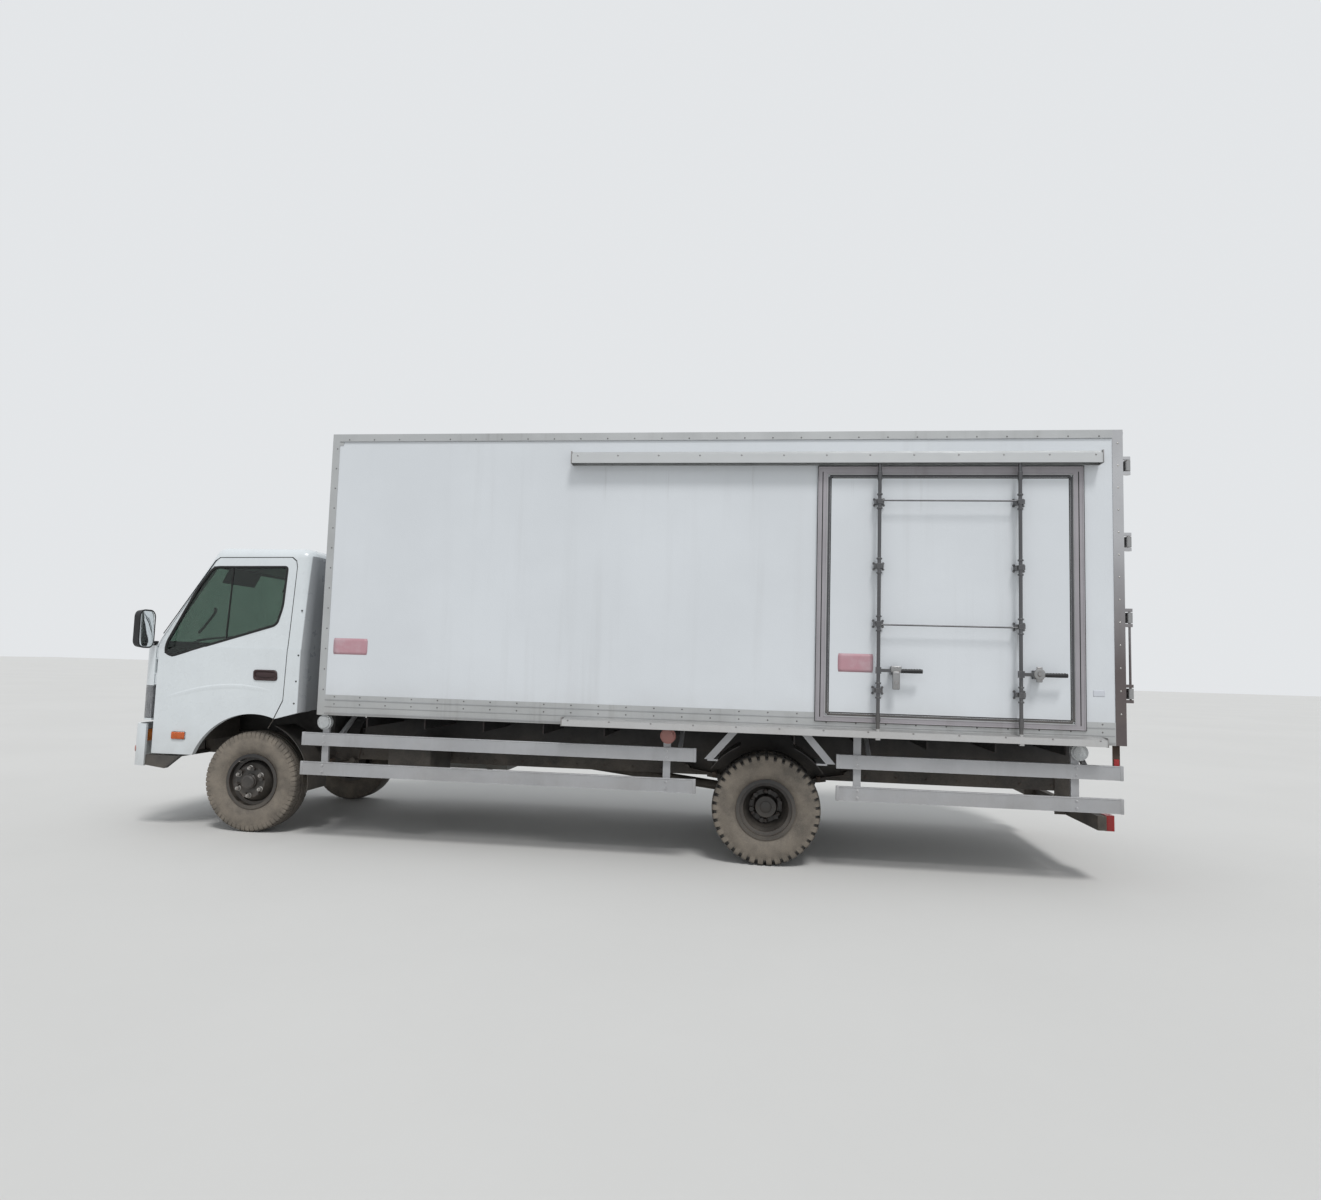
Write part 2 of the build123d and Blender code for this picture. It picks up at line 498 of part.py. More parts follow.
# Groove between two shoulder lugs: share of the half width, drop of its bottom
LUG_GROOVE = 24.0
GROOVE_FLOOR = [(0.58, 10.0), (0.86, 42.0), (1.02, 84.0)]


def tyre_section(x, y, radius):
    """A many-sided section across a tyre, with a corner on the ground line."""
    with BuildSketch(Plane(origin=(x, y, AXLE_Z), x_dir=(1, 0, 0), z_dir=(0, 1, 0))) as section:
        RegularPolygon(radius, TYRE_SIDES)
    return section.sketch


def tyre(x, y):
    """Add one tyre with its middle plane at y."""
    bands = [(-share, drop) for share, drop in reversed(TYRE_BANDS)] + TYRE_BANDS
    loft(sections=[tyre_section(x, y + share * TYRE_HALF, TYRE_RADIUS - drop) for share, drop in bands],
         ruled=True)
    for way in (-1, 1):
        loft(sections=[tyre_section(x, y + way * (TYRE_HALF + 1), TYRE_RADIUS - SIDEWALL_INNER),
                       tyre_section(x, y + way * BEAD_SHARE * TYRE_HALF, RIM_SEAT + BEAD_HEIGHT)],
             ruled=True, mode=Mode.SUBTRACT)
    rod((x, y - TYRE_HALF - 1, AXLE_Z), (x, y + TYRE_HALF + 1, AXLE_Z), RIM_SEAT, mode=Mode.SUBTRACT)


def lug_grooves(x, y, way):
    """Cut the grooves between the lugs on the shoulder that faces way."""
    floor = [(y + way * share * TYRE_HALF, TYRE_RADIUS - drop) for share, drop in GROOVE_FLOOR]
    over = TYRE_RADIUS + 6
    outline = floor + [(y + way * 1.05 * TYRE_HALF, over), (floor[0][0], over)]
    with BuildPart(mode=Mode.PRIVATE) as grooves:
        for i in range(TYRE_SIDES):
            angle = 2 * pi * i / TYRE_SIDES
            across = Plane(origin=(x, 0, AXLE_Z), x_dir=(0, 1, 0), z_dir=(sin(angle), 0, -cos(angle)))
            with BuildSketch(across) as groove:
                with BuildLine():
                    Polyline(*outline, close=True)
                make_face()
            extrude(groove.sketch, amount=LUG_GROOVE / 2, both=True)
    add(grooves.part, mode=Mode.SUBTRACT)


# Rims: the disc stands to one side of the rim, so twin wheels bolt back to back
RIM_HALF = 80.0
RIM_LIP = 224.0
RIM_PLATE = 8.0
FRONT_DISC = 100.0
TWIN_DISC = TWIN_SPACING / 2
DISC_RADIUS = 128.0
HUB_BORE = 42.0
NUT_CIRCLE = 222.0
NUT_COUNT = 6


def rim(x, y, disc):
    """Add a rim at y whose disc stands at y + disc."""
    way = 1 if disc > 0 else -1
    seat = RIM_SEAT - SEAT_GAP
    outline = [(y - RIM_HALF - 6, RIM_LIP), (y - RIM_HALF, RIM_LIP), (y - RIM_HALF, seat),
               (y - 40, seat), (y - 34, seat - 26), (y + 34, seat - 26), (y + 40, seat),
               (y + RIM_HALF, seat), (y + RIM_HALF, RIM_LIP), (y + RIM_HALF + 6, RIM_LIP),
               (y + RIM_HALF + 6, seat - RIM_PLATE), (y + 40, seat - RIM_PLATE),
               (y + 34, seat - 26 - RIM_PLATE), (y - 34, seat - 26 - RIM_PLATE),
               (y - 40, seat - RIM_PLATE), (y - RIM_HALF - 6, seat - RIM_PLATE)]
    ring(outline, x, AXLE_Z)
    bowl = [(y + way * 10, seat - 26 - RIM_PLATE + 2), (y + way * 45, seat - 50),
            (y + disc, DISC_RADIUS), (y + disc, HUB_BORE), (y + disc - way * 12, HUB_BORE),
            (y + disc - way * 12, DISC_RADIUS - 4), (y + way * 33, seat - 52),
            (y - way * 2, seat - 26 - RIM_PLATE + 2)]
    ring(bowl, x, AXLE_Z)


def nuts(x, y, way, reach):
    """Add the ring of wheel nuts, standing out from y."""
    plane = Plane(origin=(x, y, AXLE_Z), x_dir=(1, 0, 0), z_dir=(0, way, 0))
    with BuildSketch(plane) as heads:
        with PolarLocations(NUT_CIRCLE / 2, NUT_COUNT, start_angle=15):
            RegularPolygon(19, 6)
    extrude(heads.sketch, amount=reach)


HUB_OUT = 44.0
SPINDLE_RADIUS = 28.0
for side, label in ((1, "left"), (-1, "right")):
    y = side * FRONT_TRACK / 2
    with BuildPart() as front_tyre:
        tyre(X_FRONT, y)
    save(front_tyre, f"tyre_front_{label}")
    face = side * (FRONT_TRACK / 2 + FRONT_DISC)
    with BuildPart() as front_wheel:
        rim(X_FRONT, y, side * FRONT_DISC)
        nuts(X_FRONT, face, side, 26)
        # Hub and brake drum inside the rim
        inner = side * (KINGPIN_Y + 62.0)
        ring([(face - side * 12, 100), (face - side * 12, SPINDLE_RADIUS + PIN_GAP),
              (inner, SPINDLE_RADIUS + PIN_GAP), (inner, 158), (inner + side * 70, 158),
              (inner + side * 78, 100)], X_FRONT, AXLE_Z)
        ring([(face - side * 12, 60), (face + side * HUB_OUT - side * 8, 56),
              (face + side * HUB_OUT, 44), (face + side * HUB_OUT, 0), (face + side * 30, 0),
              (face + side * 30, SPINDLE_RADIUS + 6), (face - side * 12, SPINDLE_RADIUS + 6)],
             X_FRONT, AXLE_Z)
    save(front_wheel, f"wheel_front_{label}")
    with BuildPart() as knuckle:
        gap = YOKE_HALF + 1.0
        for sign in (1, -1):
            ear = sorted((AXLE_Z + sign * gap, AXLE_Z + sign * (gap + 26)))
            rod((X_FRONT, side * KINGPIN_Y, ear[0]), (X_FRONT, side * KINGPIN_Y, ear[1]), 36)
            block(X_FRONT - 30, X_FRONT + 30, *sorted((side * KINGPIN_Y, side * (KINGPIN_Y + 52))), *ear)
        block(X_FRONT - 45, X_FRONT + 45,
              *sorted((side * (KINGPIN_Y + YOKE_RADIUS + 6), side * (KINGPIN_Y + 56))),
              AXLE_Z - gap - 26, AXLE_Z + gap + 26)
        rod((X_FRONT, side * (KINGPIN_Y + 50), AXLE_Z), (X_FRONT, face + side * 22, AXLE_Z),
            SPINDLE_RADIUS)
        # Steering arm
        block(X_FRONT - 190, X_FRONT - 20, *sorted((side * (KINGPIN_Y + 4), side * (KINGPIN_Y + 34))),
              AXLE_Z - gap - 24, AXLE_Z - gap - 4)
        rod((X_FRONT, side * KINGPIN_Y, AXLE_Z - gap - 30), (X_FRONT, side * KINGPIN_Y, AXLE_Z + gap + 30),
            KINGPIN_RADIUS + PIN_GAP, mode=Mode.SUBTRACT)
    save(knuckle, f"knuckle_{label}")

    with BuildPart() as twin_tyres:
        for way in (-1, 1):
            y = side * (TWIN_TRACK + way * TWIN_SPACING) / 2
            tyre(X_REAR, y)
            lug_grooves(X_REAR, y, side * way)
    save(twin_tyres, f"tyres_rear_{label}")
    with BuildPart() as twin_wheels:
        middle = side * TWIN_TRACK / 2
        rim(X_REAR, middle + side * TWIN_DISC, -side * TWIN_DISC)
        rim(X_REAR, middle - side * TWIN_DISC, side * TWIN_DISC)
        nuts(X_REAR, middle + side * 11, side, 28)
        ring([(middle - side * 100, 150), (middle - side * 10, 150), (middle - side * 10, 96),
              (middle + side * 80, 78), (middle + side * 80, 0), (middle + side * 68, 0),
              (middle + side * 68, 42 + PIN_GAP), (middle - side * 100, 42 + PIN_GAP)],
             X_REAR, AXLE_Z)
    save(twin_wheels, f"wheels_rear_{label}")

# Box body: floor, front wall, two side walls and roof, each one thick panel.
# The floor runs under the walls, the side walls stand between floor and roof.
REAR_POST = 72.0
REAR_POST_WIDTH = 95.0
REAR_HEADER = 120.0
WALL_BACK = BOX_BACK + REAR_POST
SKIN_NOSE = BOX_NOSE - TRIM
SKIN_TOP = BOX_TOP - TRIM
FLOOR_TOP = BOX_BOTTOM + BOX_FLOOR
ROOF_LOW = SKIN_TOP - BOX_ROOF
WALL_IN = SKIN_OUT - BOX_WALL
FRONT_WALL_BACK = SKIN_NOSE - BOX_WALL
SCUFF_HEIGHT = 150.0
DECK_SHEET = 5.0
DECK_MARGIN = 20.0

with BuildPart() as box_floor:
    block(WALL_BACK, SKIN_NOSE, -SKIN_OUT, SKIN_OUT, BOX_BOTTOM, FLOOR_TOP)
    # Scuff rails along both walls
    for side in (1, -1):
        y = sorted((side * WALL_IN, side * (WALL_IN - 18)))
        block(WALL_BACK, FRONT_WALL_BACK, *y, FLOOR_TOP, FLOOR_TOP + SCUFF_HEIGHT)
    # Aluminium sheet that goods stand on, clear of the walls and of the rear doors
    sheet_half = WALL_IN - 2 * DECK_MARGIN
    block(WALL_BACK + DECK_MARGIN, FRONT_WALL_BACK - DECK_MARGIN, -sheet_half, sheet_half,
          FLOOR_TOP, FLOOR_TOP + DECK_SHEET)
save(box_floor, "box_floor")

COWL_HALF = 75.0
COWL_DEPTH = 95.0
COWL_LOW = 1850.0
COWL_HIGH = 2500.0
with BuildPart() as box_front_wall:
    block(FRONT_WALL_BACK, SKIN_NOSE, -SKIN_OUT, SKIN_OUT, FLOOR_TOP, ROOF_LOW)
    # Cover over the refrigerant lines, riveted to the wall's face
    side_prism([(SKIN_NOSE - 1, COWL_LOW), (SKIN_NOSE + COWL_DEPTH, COWL_LOW),
                (SKIN_NOSE + COWL_DEPTH, COWL_HIGH - 70), (SKIN_NOSE + COWL_DEPTH - 55, COWL_HIGH),
                (SKIN_NOSE - 1, COWL_HIGH)], BOX_OUT - 330, BOX_OUT - 330 + 2 * COWL_HALF)
save(box_front_wall, "box_front_wall")

# Side door: leaf and frame sizes, and its opening through the left wall
DOOR_FRONT = X_REAR - 415.0
DOOR_REAR = X_REAR - 2150.0
DOOR_LOW = 1131.0
DOOR_HIGH = 2917.0
DOOR_FRAME = 72.0
DOOR_FRAME_PROUD = 7.0
LEAF_GAP = 4.0
LEAF_LINER = 55.0
with BuildPart() as box_left_wall:
    block(WALL_BACK, FRONT_WALL_BACK, WALL_IN, SKIN_OUT, FLOOR_TOP, ROOF_LOW)
    block(DOOR_REAR, DOOR_FRONT, WALL_IN - 1, SKIN_OUT + 1, DOOR_LOW, DOOR_HIGH, mode=Mode.SUBTRACT)
save(box_left_wall, "box_left_wall")
with BuildPart() as box_right_wall:
    block(WALL_BACK, FRONT_WALL_BACK, -SKIN_OUT, -WALL_IN, FLOOR_TOP, ROOF_LOW)
save(box_right_wall, "box_right_wall")
with BuildPart() as box_roof:
    block(WALL_BACK, SKIN_NOSE, -SKIN_OUT, SKIN_OUT, ROOF_LOW, SKIN_TOP)
save(box_roof, "box_roof")

# Plug door leaf, seated in the opening on its seal
with BuildPart() as side_door_leaf:
    block(DOOR_REAR + LEAF_GAP, DOOR_FRONT - LEAF_GAP, WALL_IN, SKIN_OUT + 3,
          DOOR_LOW + LEAF_GAP, DOOR_HIGH - LEAF_GAP)
    block(DOOR_REAR + LEAF_LINER, DOOR_FRONT - LEAF_LINER, WALL_IN - 25, WALL_IN,
          FLOOR_TOP + SCUFF_HEIGHT + 8, DOOR_HIGH - LEAF_LINER)
save(side_door_leaf, "side_door_leaf")

# Aluminium edge trims: angles along the roof, front corner posts with cast
# caps, lower extrusions, and the frame round the side door
CAP = 92.0
with BuildPart() as edge_trims:
    for side in (1, -1):
        y_face = sorted((side * SKIN_OUT, side * BOX_OUT))
        y_deep = sorted((side * (BOX_OUT - TOP_TRIM_HEIGHT), side * BOX_OUT))
        # Roof edge
        block(WALL_BACK, BOX_NOSE, *y_face, BOX_TOP - TOP_TRIM_HEIGHT, BOX_TOP)
        block(WALL_BACK, BOX_NOSE, *y_deep, SKIN_TOP, BOX_TOP)
        # Front corner post
        y_post = sorted((side * (BOX_OUT - CORNER_TRIM), side * BOX_OUT))
        block(BOX_NOSE - CORNER_TRIM, BOX_NOSE, *y_face, BOX_BOTTOM, BOX_TOP)
        block(SKIN_NOSE, BOX_NOSE, *y_post, BOX_BOTTOM, BOX_TOP)
        # Cast cap over the top corner
        y_cap = sorted((side * (BOX_OUT - CAP), side * (BOX_OUT)))
        block(BOX_NOSE - CAP, BOX_NOSE, *y_face, BOX_TOP - CAP, BOX_TOP)
        block(SKIN_NOSE, BOX_NOSE, *y_cap, BOX_TOP - CAP, BOX_TOP)
        # Lower extrusion
        block(WALL_BACK, BOX_NOSE, *y_face, BOX_BOTTOM, BOX_BOTTOM + LOWER_TRIM_HEIGHT)
    block(SKIN_NOSE, BOX_NOSE, -BOX_OUT, BOX_OUT, BOX_TOP - TOP_TRIM_HEIGHT, BOX_TOP)
    block(BOX_NOSE - TOP_TRIM_HEIGHT, BOX_NOSE, -BOX_OUT, BOX_OUT, SKIN_TOP, BOX_TOP)
    block(SKIN_NOSE, BOX_NOSE, -BOX_OUT, BOX_OUT, BOX_BOTTOM, BOX_BOTTOM + LOWER_TRIM_HEIGHT)
    # Side door frame, proud of the lower extrusion and of the wall
    block(DOOR_REAR - DOOR_FRAME, DOOR_FRONT + DOOR_FRAME, SKIN_OUT, BOX_OUT + DOOR_FRAME_PROUD,
          DOOR_LOW - 42, DOOR_HIGH + 62)
    block(DOOR_REAR + 1, DOOR_FRONT - 1, SKIN_OUT - 1, BOX_OUT + DOOR_FRAME_PROUD + 1,
          DOOR_LOW + 1, DOOR_HIGH - 1, mode=Mode.SUBTRACT)
save(edge_trims, "edge_trims")

# Stainless portal at the rear, with a drip lip over the header, the hinge pins
# of both doors in their lugs, and a rod that joins the two lower left hinges
HINGE_Y = BOX_OUT - 22.0
HINGE_X = BOX_BACK - REAR_HINGE_BACK
HINGE_LEVELS = [2987.0, 2435.0, 1892.0, 1356.0]
HINGE_PIN = 8.0
STRAP_HEIGHT = 74.0
HINGE_LUG = 22.0
with BuildPart() as rear_frame:
    for side in (1, -1):
        for z in HINGE_LEVELS:
            reach = STRAP_HEIGHT / 2 + 6.0
            rod((HINGE_X, side * HINGE_Y, z - reach - HINGE_LUG),
                (HINGE_X, side * HINGE_Y, z + reach + HINGE_LUG), HINGE_PIN)
            for low in (z - reach - HINGE_LUG, z + reach):
                rod((HINGE_X, side * HINGE_Y, low), (HINGE_X, side * HINGE_Y, low + HINGE_LUG),
                    REAR_HINGE_RADIUS)
                y = sorted((side * (HINGE_Y - 12), side * (HINGE_Y + 18)))
                block(HINGE_X, BOX_BACK, *y, low, low + HINGE_LUG)
    rod((HINGE_X, HINGE_Y, HINGE_LEVELS[3] + STRAP_HEIGHT / 2 + 20),
        (HINGE_X, HINGE_Y, HINGE_LEVELS[2] - STRAP_HEIGHT / 2 - 20), HINGE_PIN)
    block(BOX_BACK, WALL_BACK, -BOX_OUT, BOX_OUT, BOX_BOTTOM, BOX_TOP)
    block(BOX_BACK - 1, WALL_BACK + 1, -(BOX_OUT - REAR_POST_WIDTH), BOX_OUT - REAR_POST_WIDTH,
          FLOOR_TOP, BOX_TOP - REAR_HEADER, mode=Mode.SUBTRACT)
    block(BOX_BACK - 14, BOX_BACK, -(BOX_OUT - 30), BOX_OUT - 30, BOX_TOP - 26, BOX_TOP - 8)
save(rear_frame, "rear_frame")

# Rails that the plug door rolls along, its carriers, and its lock gear
RAIL_PROUD = 88.0
TOP_RAIL = (X_REAR - 2328.0, X_REAR + 1533.0, 2988.0, 3078.0)
LOW_RAIL = (X_REAR - 2337.0, X_REAR + 1535.0, 985.0, 1045.0)
LOCK_BARS = [X_REAR - 785.0, X_REAR - 1770.0]
LOCK_Y = BOX_OUT + 62.0
LOCK_RADIUS = 13.0
LOCK_LOW = 975.0
LOCK_HIGH = 2985.0
LOCK_KEEPERS = [2706.0, 2230.0, 1808.0, 1325.0]
ROD_LEVELS = [2712.0, 1800.0]
HANDLE_LEVEL = 1470.0
with BuildPart() as side_door_gear:
    for x_low, x_high, z_low, z_high in (TOP_RAIL, LOW_RAIL):
        way = 1 if z_low > 2000 else -1
        if way > 0:
            section = [(SKIN_OUT, z_high), (BOX_OUT + RAIL_PROUD - 22, z_high),
                       (BOX_OUT + RAIL_PROUD, z_high - 20), (BOX_OUT + RAIL_PROUD, z_low),
                       (BOX_OUT + RAIL_PROUD - 5, z_low), (BOX_OUT + RAIL_PROUD - 5, z_high - 24),
                       (BOX_OUT + RAIL_PROUD - 25, z_high - 6), (SKIN_OUT + 6, z_high - 6),
                       (SKIN_OUT + 6, z_low), (SKIN_OUT, z_low)]
        else:
            section = [(BOX_OUT, z_high), (BOX_OUT + RAIL_PROUD, z_high - 12),
                       (BOX_OUT + RAIL_PROUD, z_low), (BOX_OUT + RAIL_PROUD - 6, z_low),
                       (BOX_OUT + RAIL_PROUD - 6, z_high - 19), (BOX_OUT, z_high - 8)]
        cross_prism(section, x_low, x_high)
    for x in LOCK_BARS:
        rod((x, LOCK_Y, LOCK_LOW), (x, LOCK_Y, LOCK_HIGH), LOCK_RADIUS)
        for z in LOCK_KEEPERS:
            block(x - 32, x + 32, SKIN_OUT + 3, LOCK_Y, z - 16, z + 16)
            block(x - 18, x + 18, SKIN_OUT + 3, LOCK_Y + LOCK_RADIUS + 5, z - 16, z + 16)
        # Cam ends that hook over the lower rail
        block(x - 16, x + 16, LOCK_Y - 16, LOCK_Y + 16, LOCK_LOW - 4, LOCK_LOW + 40)
        # Hub, handle and its catch
        block(x - 18, x + 18, LOCK_Y - 16, LOCK_Y + 24, HANDLE_LEVEL - 24, HANDLE_LEVEL + 24)
        block(x - 150, x - 90, SKIN_OUT + 3, LOCK_Y + 12, HANDLE_LEVEL - 30, HANDLE_LEVEL + 30)
        block(x - 300, x - 10, LOCK_Y + 12, LOCK_Y + 24, HANDLE_LEVEL - 12, HANDLE_LEVEL + 12)
    for z in ROD_LEVELS:
        rod((LOCK_BARS[0], LOCK_Y + 2, z), (LOCK_BARS[1], LOCK_Y + 2, z), 6)
save(side_door_gear, "side_door_gear")

# Evaporator unit, hung at the front end of the load space's ceiling
EVAPORATOR = (620.0, 1300.0, 260.0)
with BuildPart() as evaporator:
    back = FRONT_WALL_BACK - EVAPORATOR[0]
    half = EVAPORATOR[1] / 2
    side_prism([(back, ROOF_LOW), (FRONT_WALL_BACK, ROOF_LOW),
                (FRONT_WALL_BACK, ROOF_LOW - EVAPORATOR[2]),
                (back + 140, ROOF_LOW - EVAPORATOR[2]), (back, ROOF_LOW - 90)], -half, half)
    for y in (-half / 2, half / 2):
        rod((back + 320, y, ROOF_LOW - EVAPORATOR[2] - 12), (back + 320, y, ROOF_LOW - EVAPORATOR[2] + 5), 135)
save(evaporator, "evaporator")

# Rear doors: two thick leaves that close inside the portal, on hinges that
# stand behind it, and a lock bar on each
LEAF_THICK = REAR_POST + 6.0
LEAF_EDGE = BOX_OUT - REAR_POST_WIDTH - 9.0
LEAF_LOW = FLOOR_TOP + 8.0
LEAF_HIGH = BOX_TOP - REAR_HEADER - 8.0
MEETING_GAP = 6.0
REAR_BAR_Y = 190.0
REAR_BAR_RADIUS = 13.0
# Hinge straps stand off the portal, so that they pass round its corner
STRAP_REACH = 210.0
STRAP_FACE = BOX_BACK - 5.5
STRAP_BACK = BOX_BACK - 12.5
for side, label in ((1, "left"), (-1, "right")):
    with BuildPart() as rear_door:
        y = sorted((side * MEETING_GAP / 2, side * LEAF_EDGE))
        block(BOX_BACK, BOX_BACK + LEAF_THICK, *y, LEAF_LOW, LEAF_HIGH)
        chamfer(rear_door.edges().filter_by(Axis.Z).sort_by(Axis.Y)[-2 if side > 0 else 0:][:2].sort_by(Axis.X)[-1:],
                length=24)
    save(rear_door, f"rear_door_{label}")
    with BuildPart() as rear_gear:
        # Hinge straps on the leaf, wrapped round the pin
        for z in HINGE_LEVELS:
            low, high = z - STRAP_HEIGHT / 2, z + STRAP_HEIGHT / 2
            plan_prism([(BOX_BACK, side * (LEAF_EDGE - STRAP_REACH)), (BOX_BACK, side * (LEAF_EDGE - 8)),
                        (STRAP_FACE, side * (LEAF_EDGE - 4)), (STRAP_FACE, side * (HINGE_Y - 24)),
                        (HINGE_X + 16, side * (HINGE_Y + 4)), (HINGE_X, side * (HINGE_Y - 17)),
                        (STRAP_BACK, side * (HINGE_Y - 35)), (STRAP_BACK, side * (LEAF_EDGE - STRAP_REACH))],
                       low, high)
            rod((HINGE_X, side * HINGE_Y, low), (HINGE_X, side * HINGE_Y, high), REAR_HINGE_RADIUS)
            rod((HINGE_X, side * HINGE_Y, low - 1), (HINGE_X, side * HINGE_Y, high + 1),
                HINGE_PIN + PIN_GAP, mode=Mode.SUBTRACT)
        # Lock bar, keepers and handle
        bar_x = BOX_BACK - 28.0
        rod((bar_x, side * REAR_BAR_Y, BOX_BOTTOM + 20), (bar_x, side * REAR_BAR_Y, BOX_TOP - 30),
            REAR_BAR_RADIUS)
        for z in LOCK_KEEPERS:
            block(bar_x - 8, BOX_BACK, *sorted((side * (REAR_BAR_Y - 30), side * (REAR_BAR_Y + 30))),
                  z - 16, z + 16)
        block(bar_x - 26, bar_x, *sorted((side * (REAR_BAR_Y - 14), side * (REAR_BAR_Y + 14))),
              HANDLE_LEVEL - 120, HANDLE_LEVEL - 80)
        block(bar_x - 26, bar_x - 16, *sorted((side * (REAR_BAR_Y - 14), side * (REAR_BAR_Y + 330))),
              HANDLE_LEVEL - 112, HANDLE_LEVEL - 88)
        block(bar_x - 16, BOX_BACK, *sorted((side * (REAR_BAR_Y + 200), side * (REAR_BAR_Y + 240))),
              HANDLE_LEVEL - 125, HANDLE_LEVEL - 75)
    save(rear_gear, f"rear_door_gear_{label}")

# Cab: an outer form and the same form one wall smaller. The skin between them
# is split into roof, frame, front panel, doors, lamps and glass.
SCREEN_FOOT = X_FRONT + 968.0
SCREEN_SLOPE = 0.5915
CAB_TOP_HALF = CAB_OUT - 56.0
BACK_LEAN = 20.0
FRONT_CORNER = 150.0
REAR_CORNER = 62.0
ROOF_CORNER = 125.0
ROOF_ROUND = 90.0
SKIRT_LOW = 610.0
ARCH_RADIUS = 555.0
ARCH_X = X_FRONT - 20.0
HEM = [(X_FRONT - 187.0, 924.0), (X_FRONT - 500.0, 1010.0)]
DOOR_HINGE_X = X_FRONT + 880.0
DOOR_HINGE_Y = CAB_OUT - 16.0
DOOR_HINGE_LEVELS = [(1190.0, 1260.0), (1400.0, 1470.0)]
DOOR_KNUCKLE = 8.0
DOOR_PIN = 4.0
DOOR_LEAD = X_FRONT + 873.0
POST_LEAD = X_FRONT + 886.0


def cab_plan(z, back, front, half, inset, rear_corner=REAR_CORNER):
    """A rounded plan of the cab at height z, drawn in by inset."""
    with BuildSketch(Plane.XY.offset(z)) as plan:
        with Locations(((back + front) / 2, 0)):
            Rectangle(front - back - 2 * inset, 2 * (half - inset))
        fillet(plan.vertices().group_by(Axis.X)[-1], radius=FRONT_CORNER - inset)
        fillet(plan.vertices().group_by(Axis.X)[0], radius=rear_corner - inset)
    return plan.sketch


def cab_form(inset):
    """The cab's outer form drawn in by inset on every side but below."""
    with BuildPart() as form:
        lower = cab_plan(SKIRT_LOW, X_CAB_BACK, X_FRONT + CAB_FRONT, CAB_OUT, inset)
        extrude(lower, amount=COWL_TOP - SKIRT_LOW - (inset if inset else 0))
        screen_top = SCREEN_FOOT - SCREEN_SLOPE * (CAB_TOP - COWL_TOP)
        foot = cab_plan(COWL_TOP - 60, X_CAB_BACK, SCREEN_FOOT + SCREEN_SLOPE * 60, CAB_OUT, inset)
        head = cab_plan(CAB_TOP - inset, X_CAB_BACK + BACK_LEAN, screen_top, CAB_TOP_HALF, inset,
                        ROOF_CORNER)
        loft(sections=[foot, head], ruled=True)
        crown = form.edges().group_by(Axis.Z)[-1]
        fillet(crown, radius=ROOF_ROUND - inset)
        # Underside: hem behind the door, wheel arch, and clear of the bumper
        side_prism([HEM[0], HEM[1], (HEM[1][0], SKIRT_LOW - 10), (HEM[0][0], SKIRT_LOW - 10)],
                   -CAB_OUT - 5, CAB_OUT + 5, mode=Mode.SUBTRACT)
        rod((ARCH_X, -CAB_OUT - 5, AXLE_Z), (ARCH_X, CAB_OUT + 5, AXLE_Z), ARCH_RADIUS,
            mode=Mode.SUBTRACT)
        block(POST_LEAD - 1, X_FRONT + CAB_FRONT + 5, -CAB_OUT - 5, CAB_OUT + 5,
              SKIRT_LOW - 5, PANEL_BOTTOM, mode=Mode.SUBTRACT)
        block(X_FRONT - 700, POST_LEAD, -CAB_OUT + 130, CAB_OUT - 130, SKIRT_LOW - 5, 1000.0,
              mode=Mode.SUBTRACT)
    return form.part


outer_form = cab_form(0.0)
inner_form = cab_form(CAB_WALL)
with BuildPart() as cab_skin:
    add(outer_form)
    add(inner_form, mode=Mode.SUBTRACT)
with BuildPart() as glass_skin:
    add(cab_form(4.0))
    add(cab_form(4.0 + GLASS), mode=Mode.SUBTRACT)

# Outlines on the cab's side, front of axle forward, in the XZ plane
DOOR_OUTLINE = [(873.0, 612.0), (873.0, 1520.0), (862.0, 1560.0), (440.0, 2225.0), (400.0, 2252.0),
                (-246.0, 2262.0), (-285.0, 2232.0), (-297.0, 2180.0), (-287.0, 1672.0),
                (-270.0, 1086.0), (-196.0, 928.0), (-150.0, 850.0), (430.0, 600.0)]
WINDOW_OUTLINE = [(811.0, 1440.0), (805.0, 1530.0), (585.0, 1985.0), (452.0, 2180.0), (-205.0, 2190.0),
                  (-222.0, 2172.0), (-214.0, 1850.0), (-179.0, 1714.0), (-150.0, 1686.0), (740.0, 1410.0)]


def at_cab(points, grow=0.0):
    """Move outline points to the front axle, and grow them from their middle."""
    mid_x = sum(x for x, z in points) / len(points)
    mid_z = sum(z for x, z in points) / len(points)
    return [(X_FRONT + x + (grow if x > mid_x else -grow), z + (grow if z > mid_z else -grow))
            for x, z in points]


ROOF_SPLIT = 2282.0
SCREEN_HALF_LOW = 875.0
SCREEN_HALF_HIGH = 800.0
SCREEN_LOW = 1530.0
SCREEN_HIGH = 2205.0
SCREEN_OUTLINE = [(SCREEN_HALF_LOW, SCREEN_LOW), (SCREEN_HALF_HIGH, SCREEN_HIGH),
                  (-SCREEN_HALF_HIGH, SCREEN_HIGH), (-SCREEN_HALF_LOW, SCREEN_LOW)]
BACK_WINDOW = (520.0, 1600.0, 2080.0)
LAMP_INNER = 640.0
LAMP_LOW = 895.0
LAMP_HIGH = 1168.0
GRILLE_HALF = 560.0
GRILLE_LOW = 930.0
GRILLE_HIGH = 1150.0
FAR = 2000.0

with BuildPart() as cab_roof:
    add(cab_skin.part)
    block(X_FRONT - FAR, X_FRONT + FAR, -FAR, FAR, ROOF_SPLIT, CAB_TOP + 100, mode=Mode.INTERSECT)
save(cab_roof, "cab_roof")

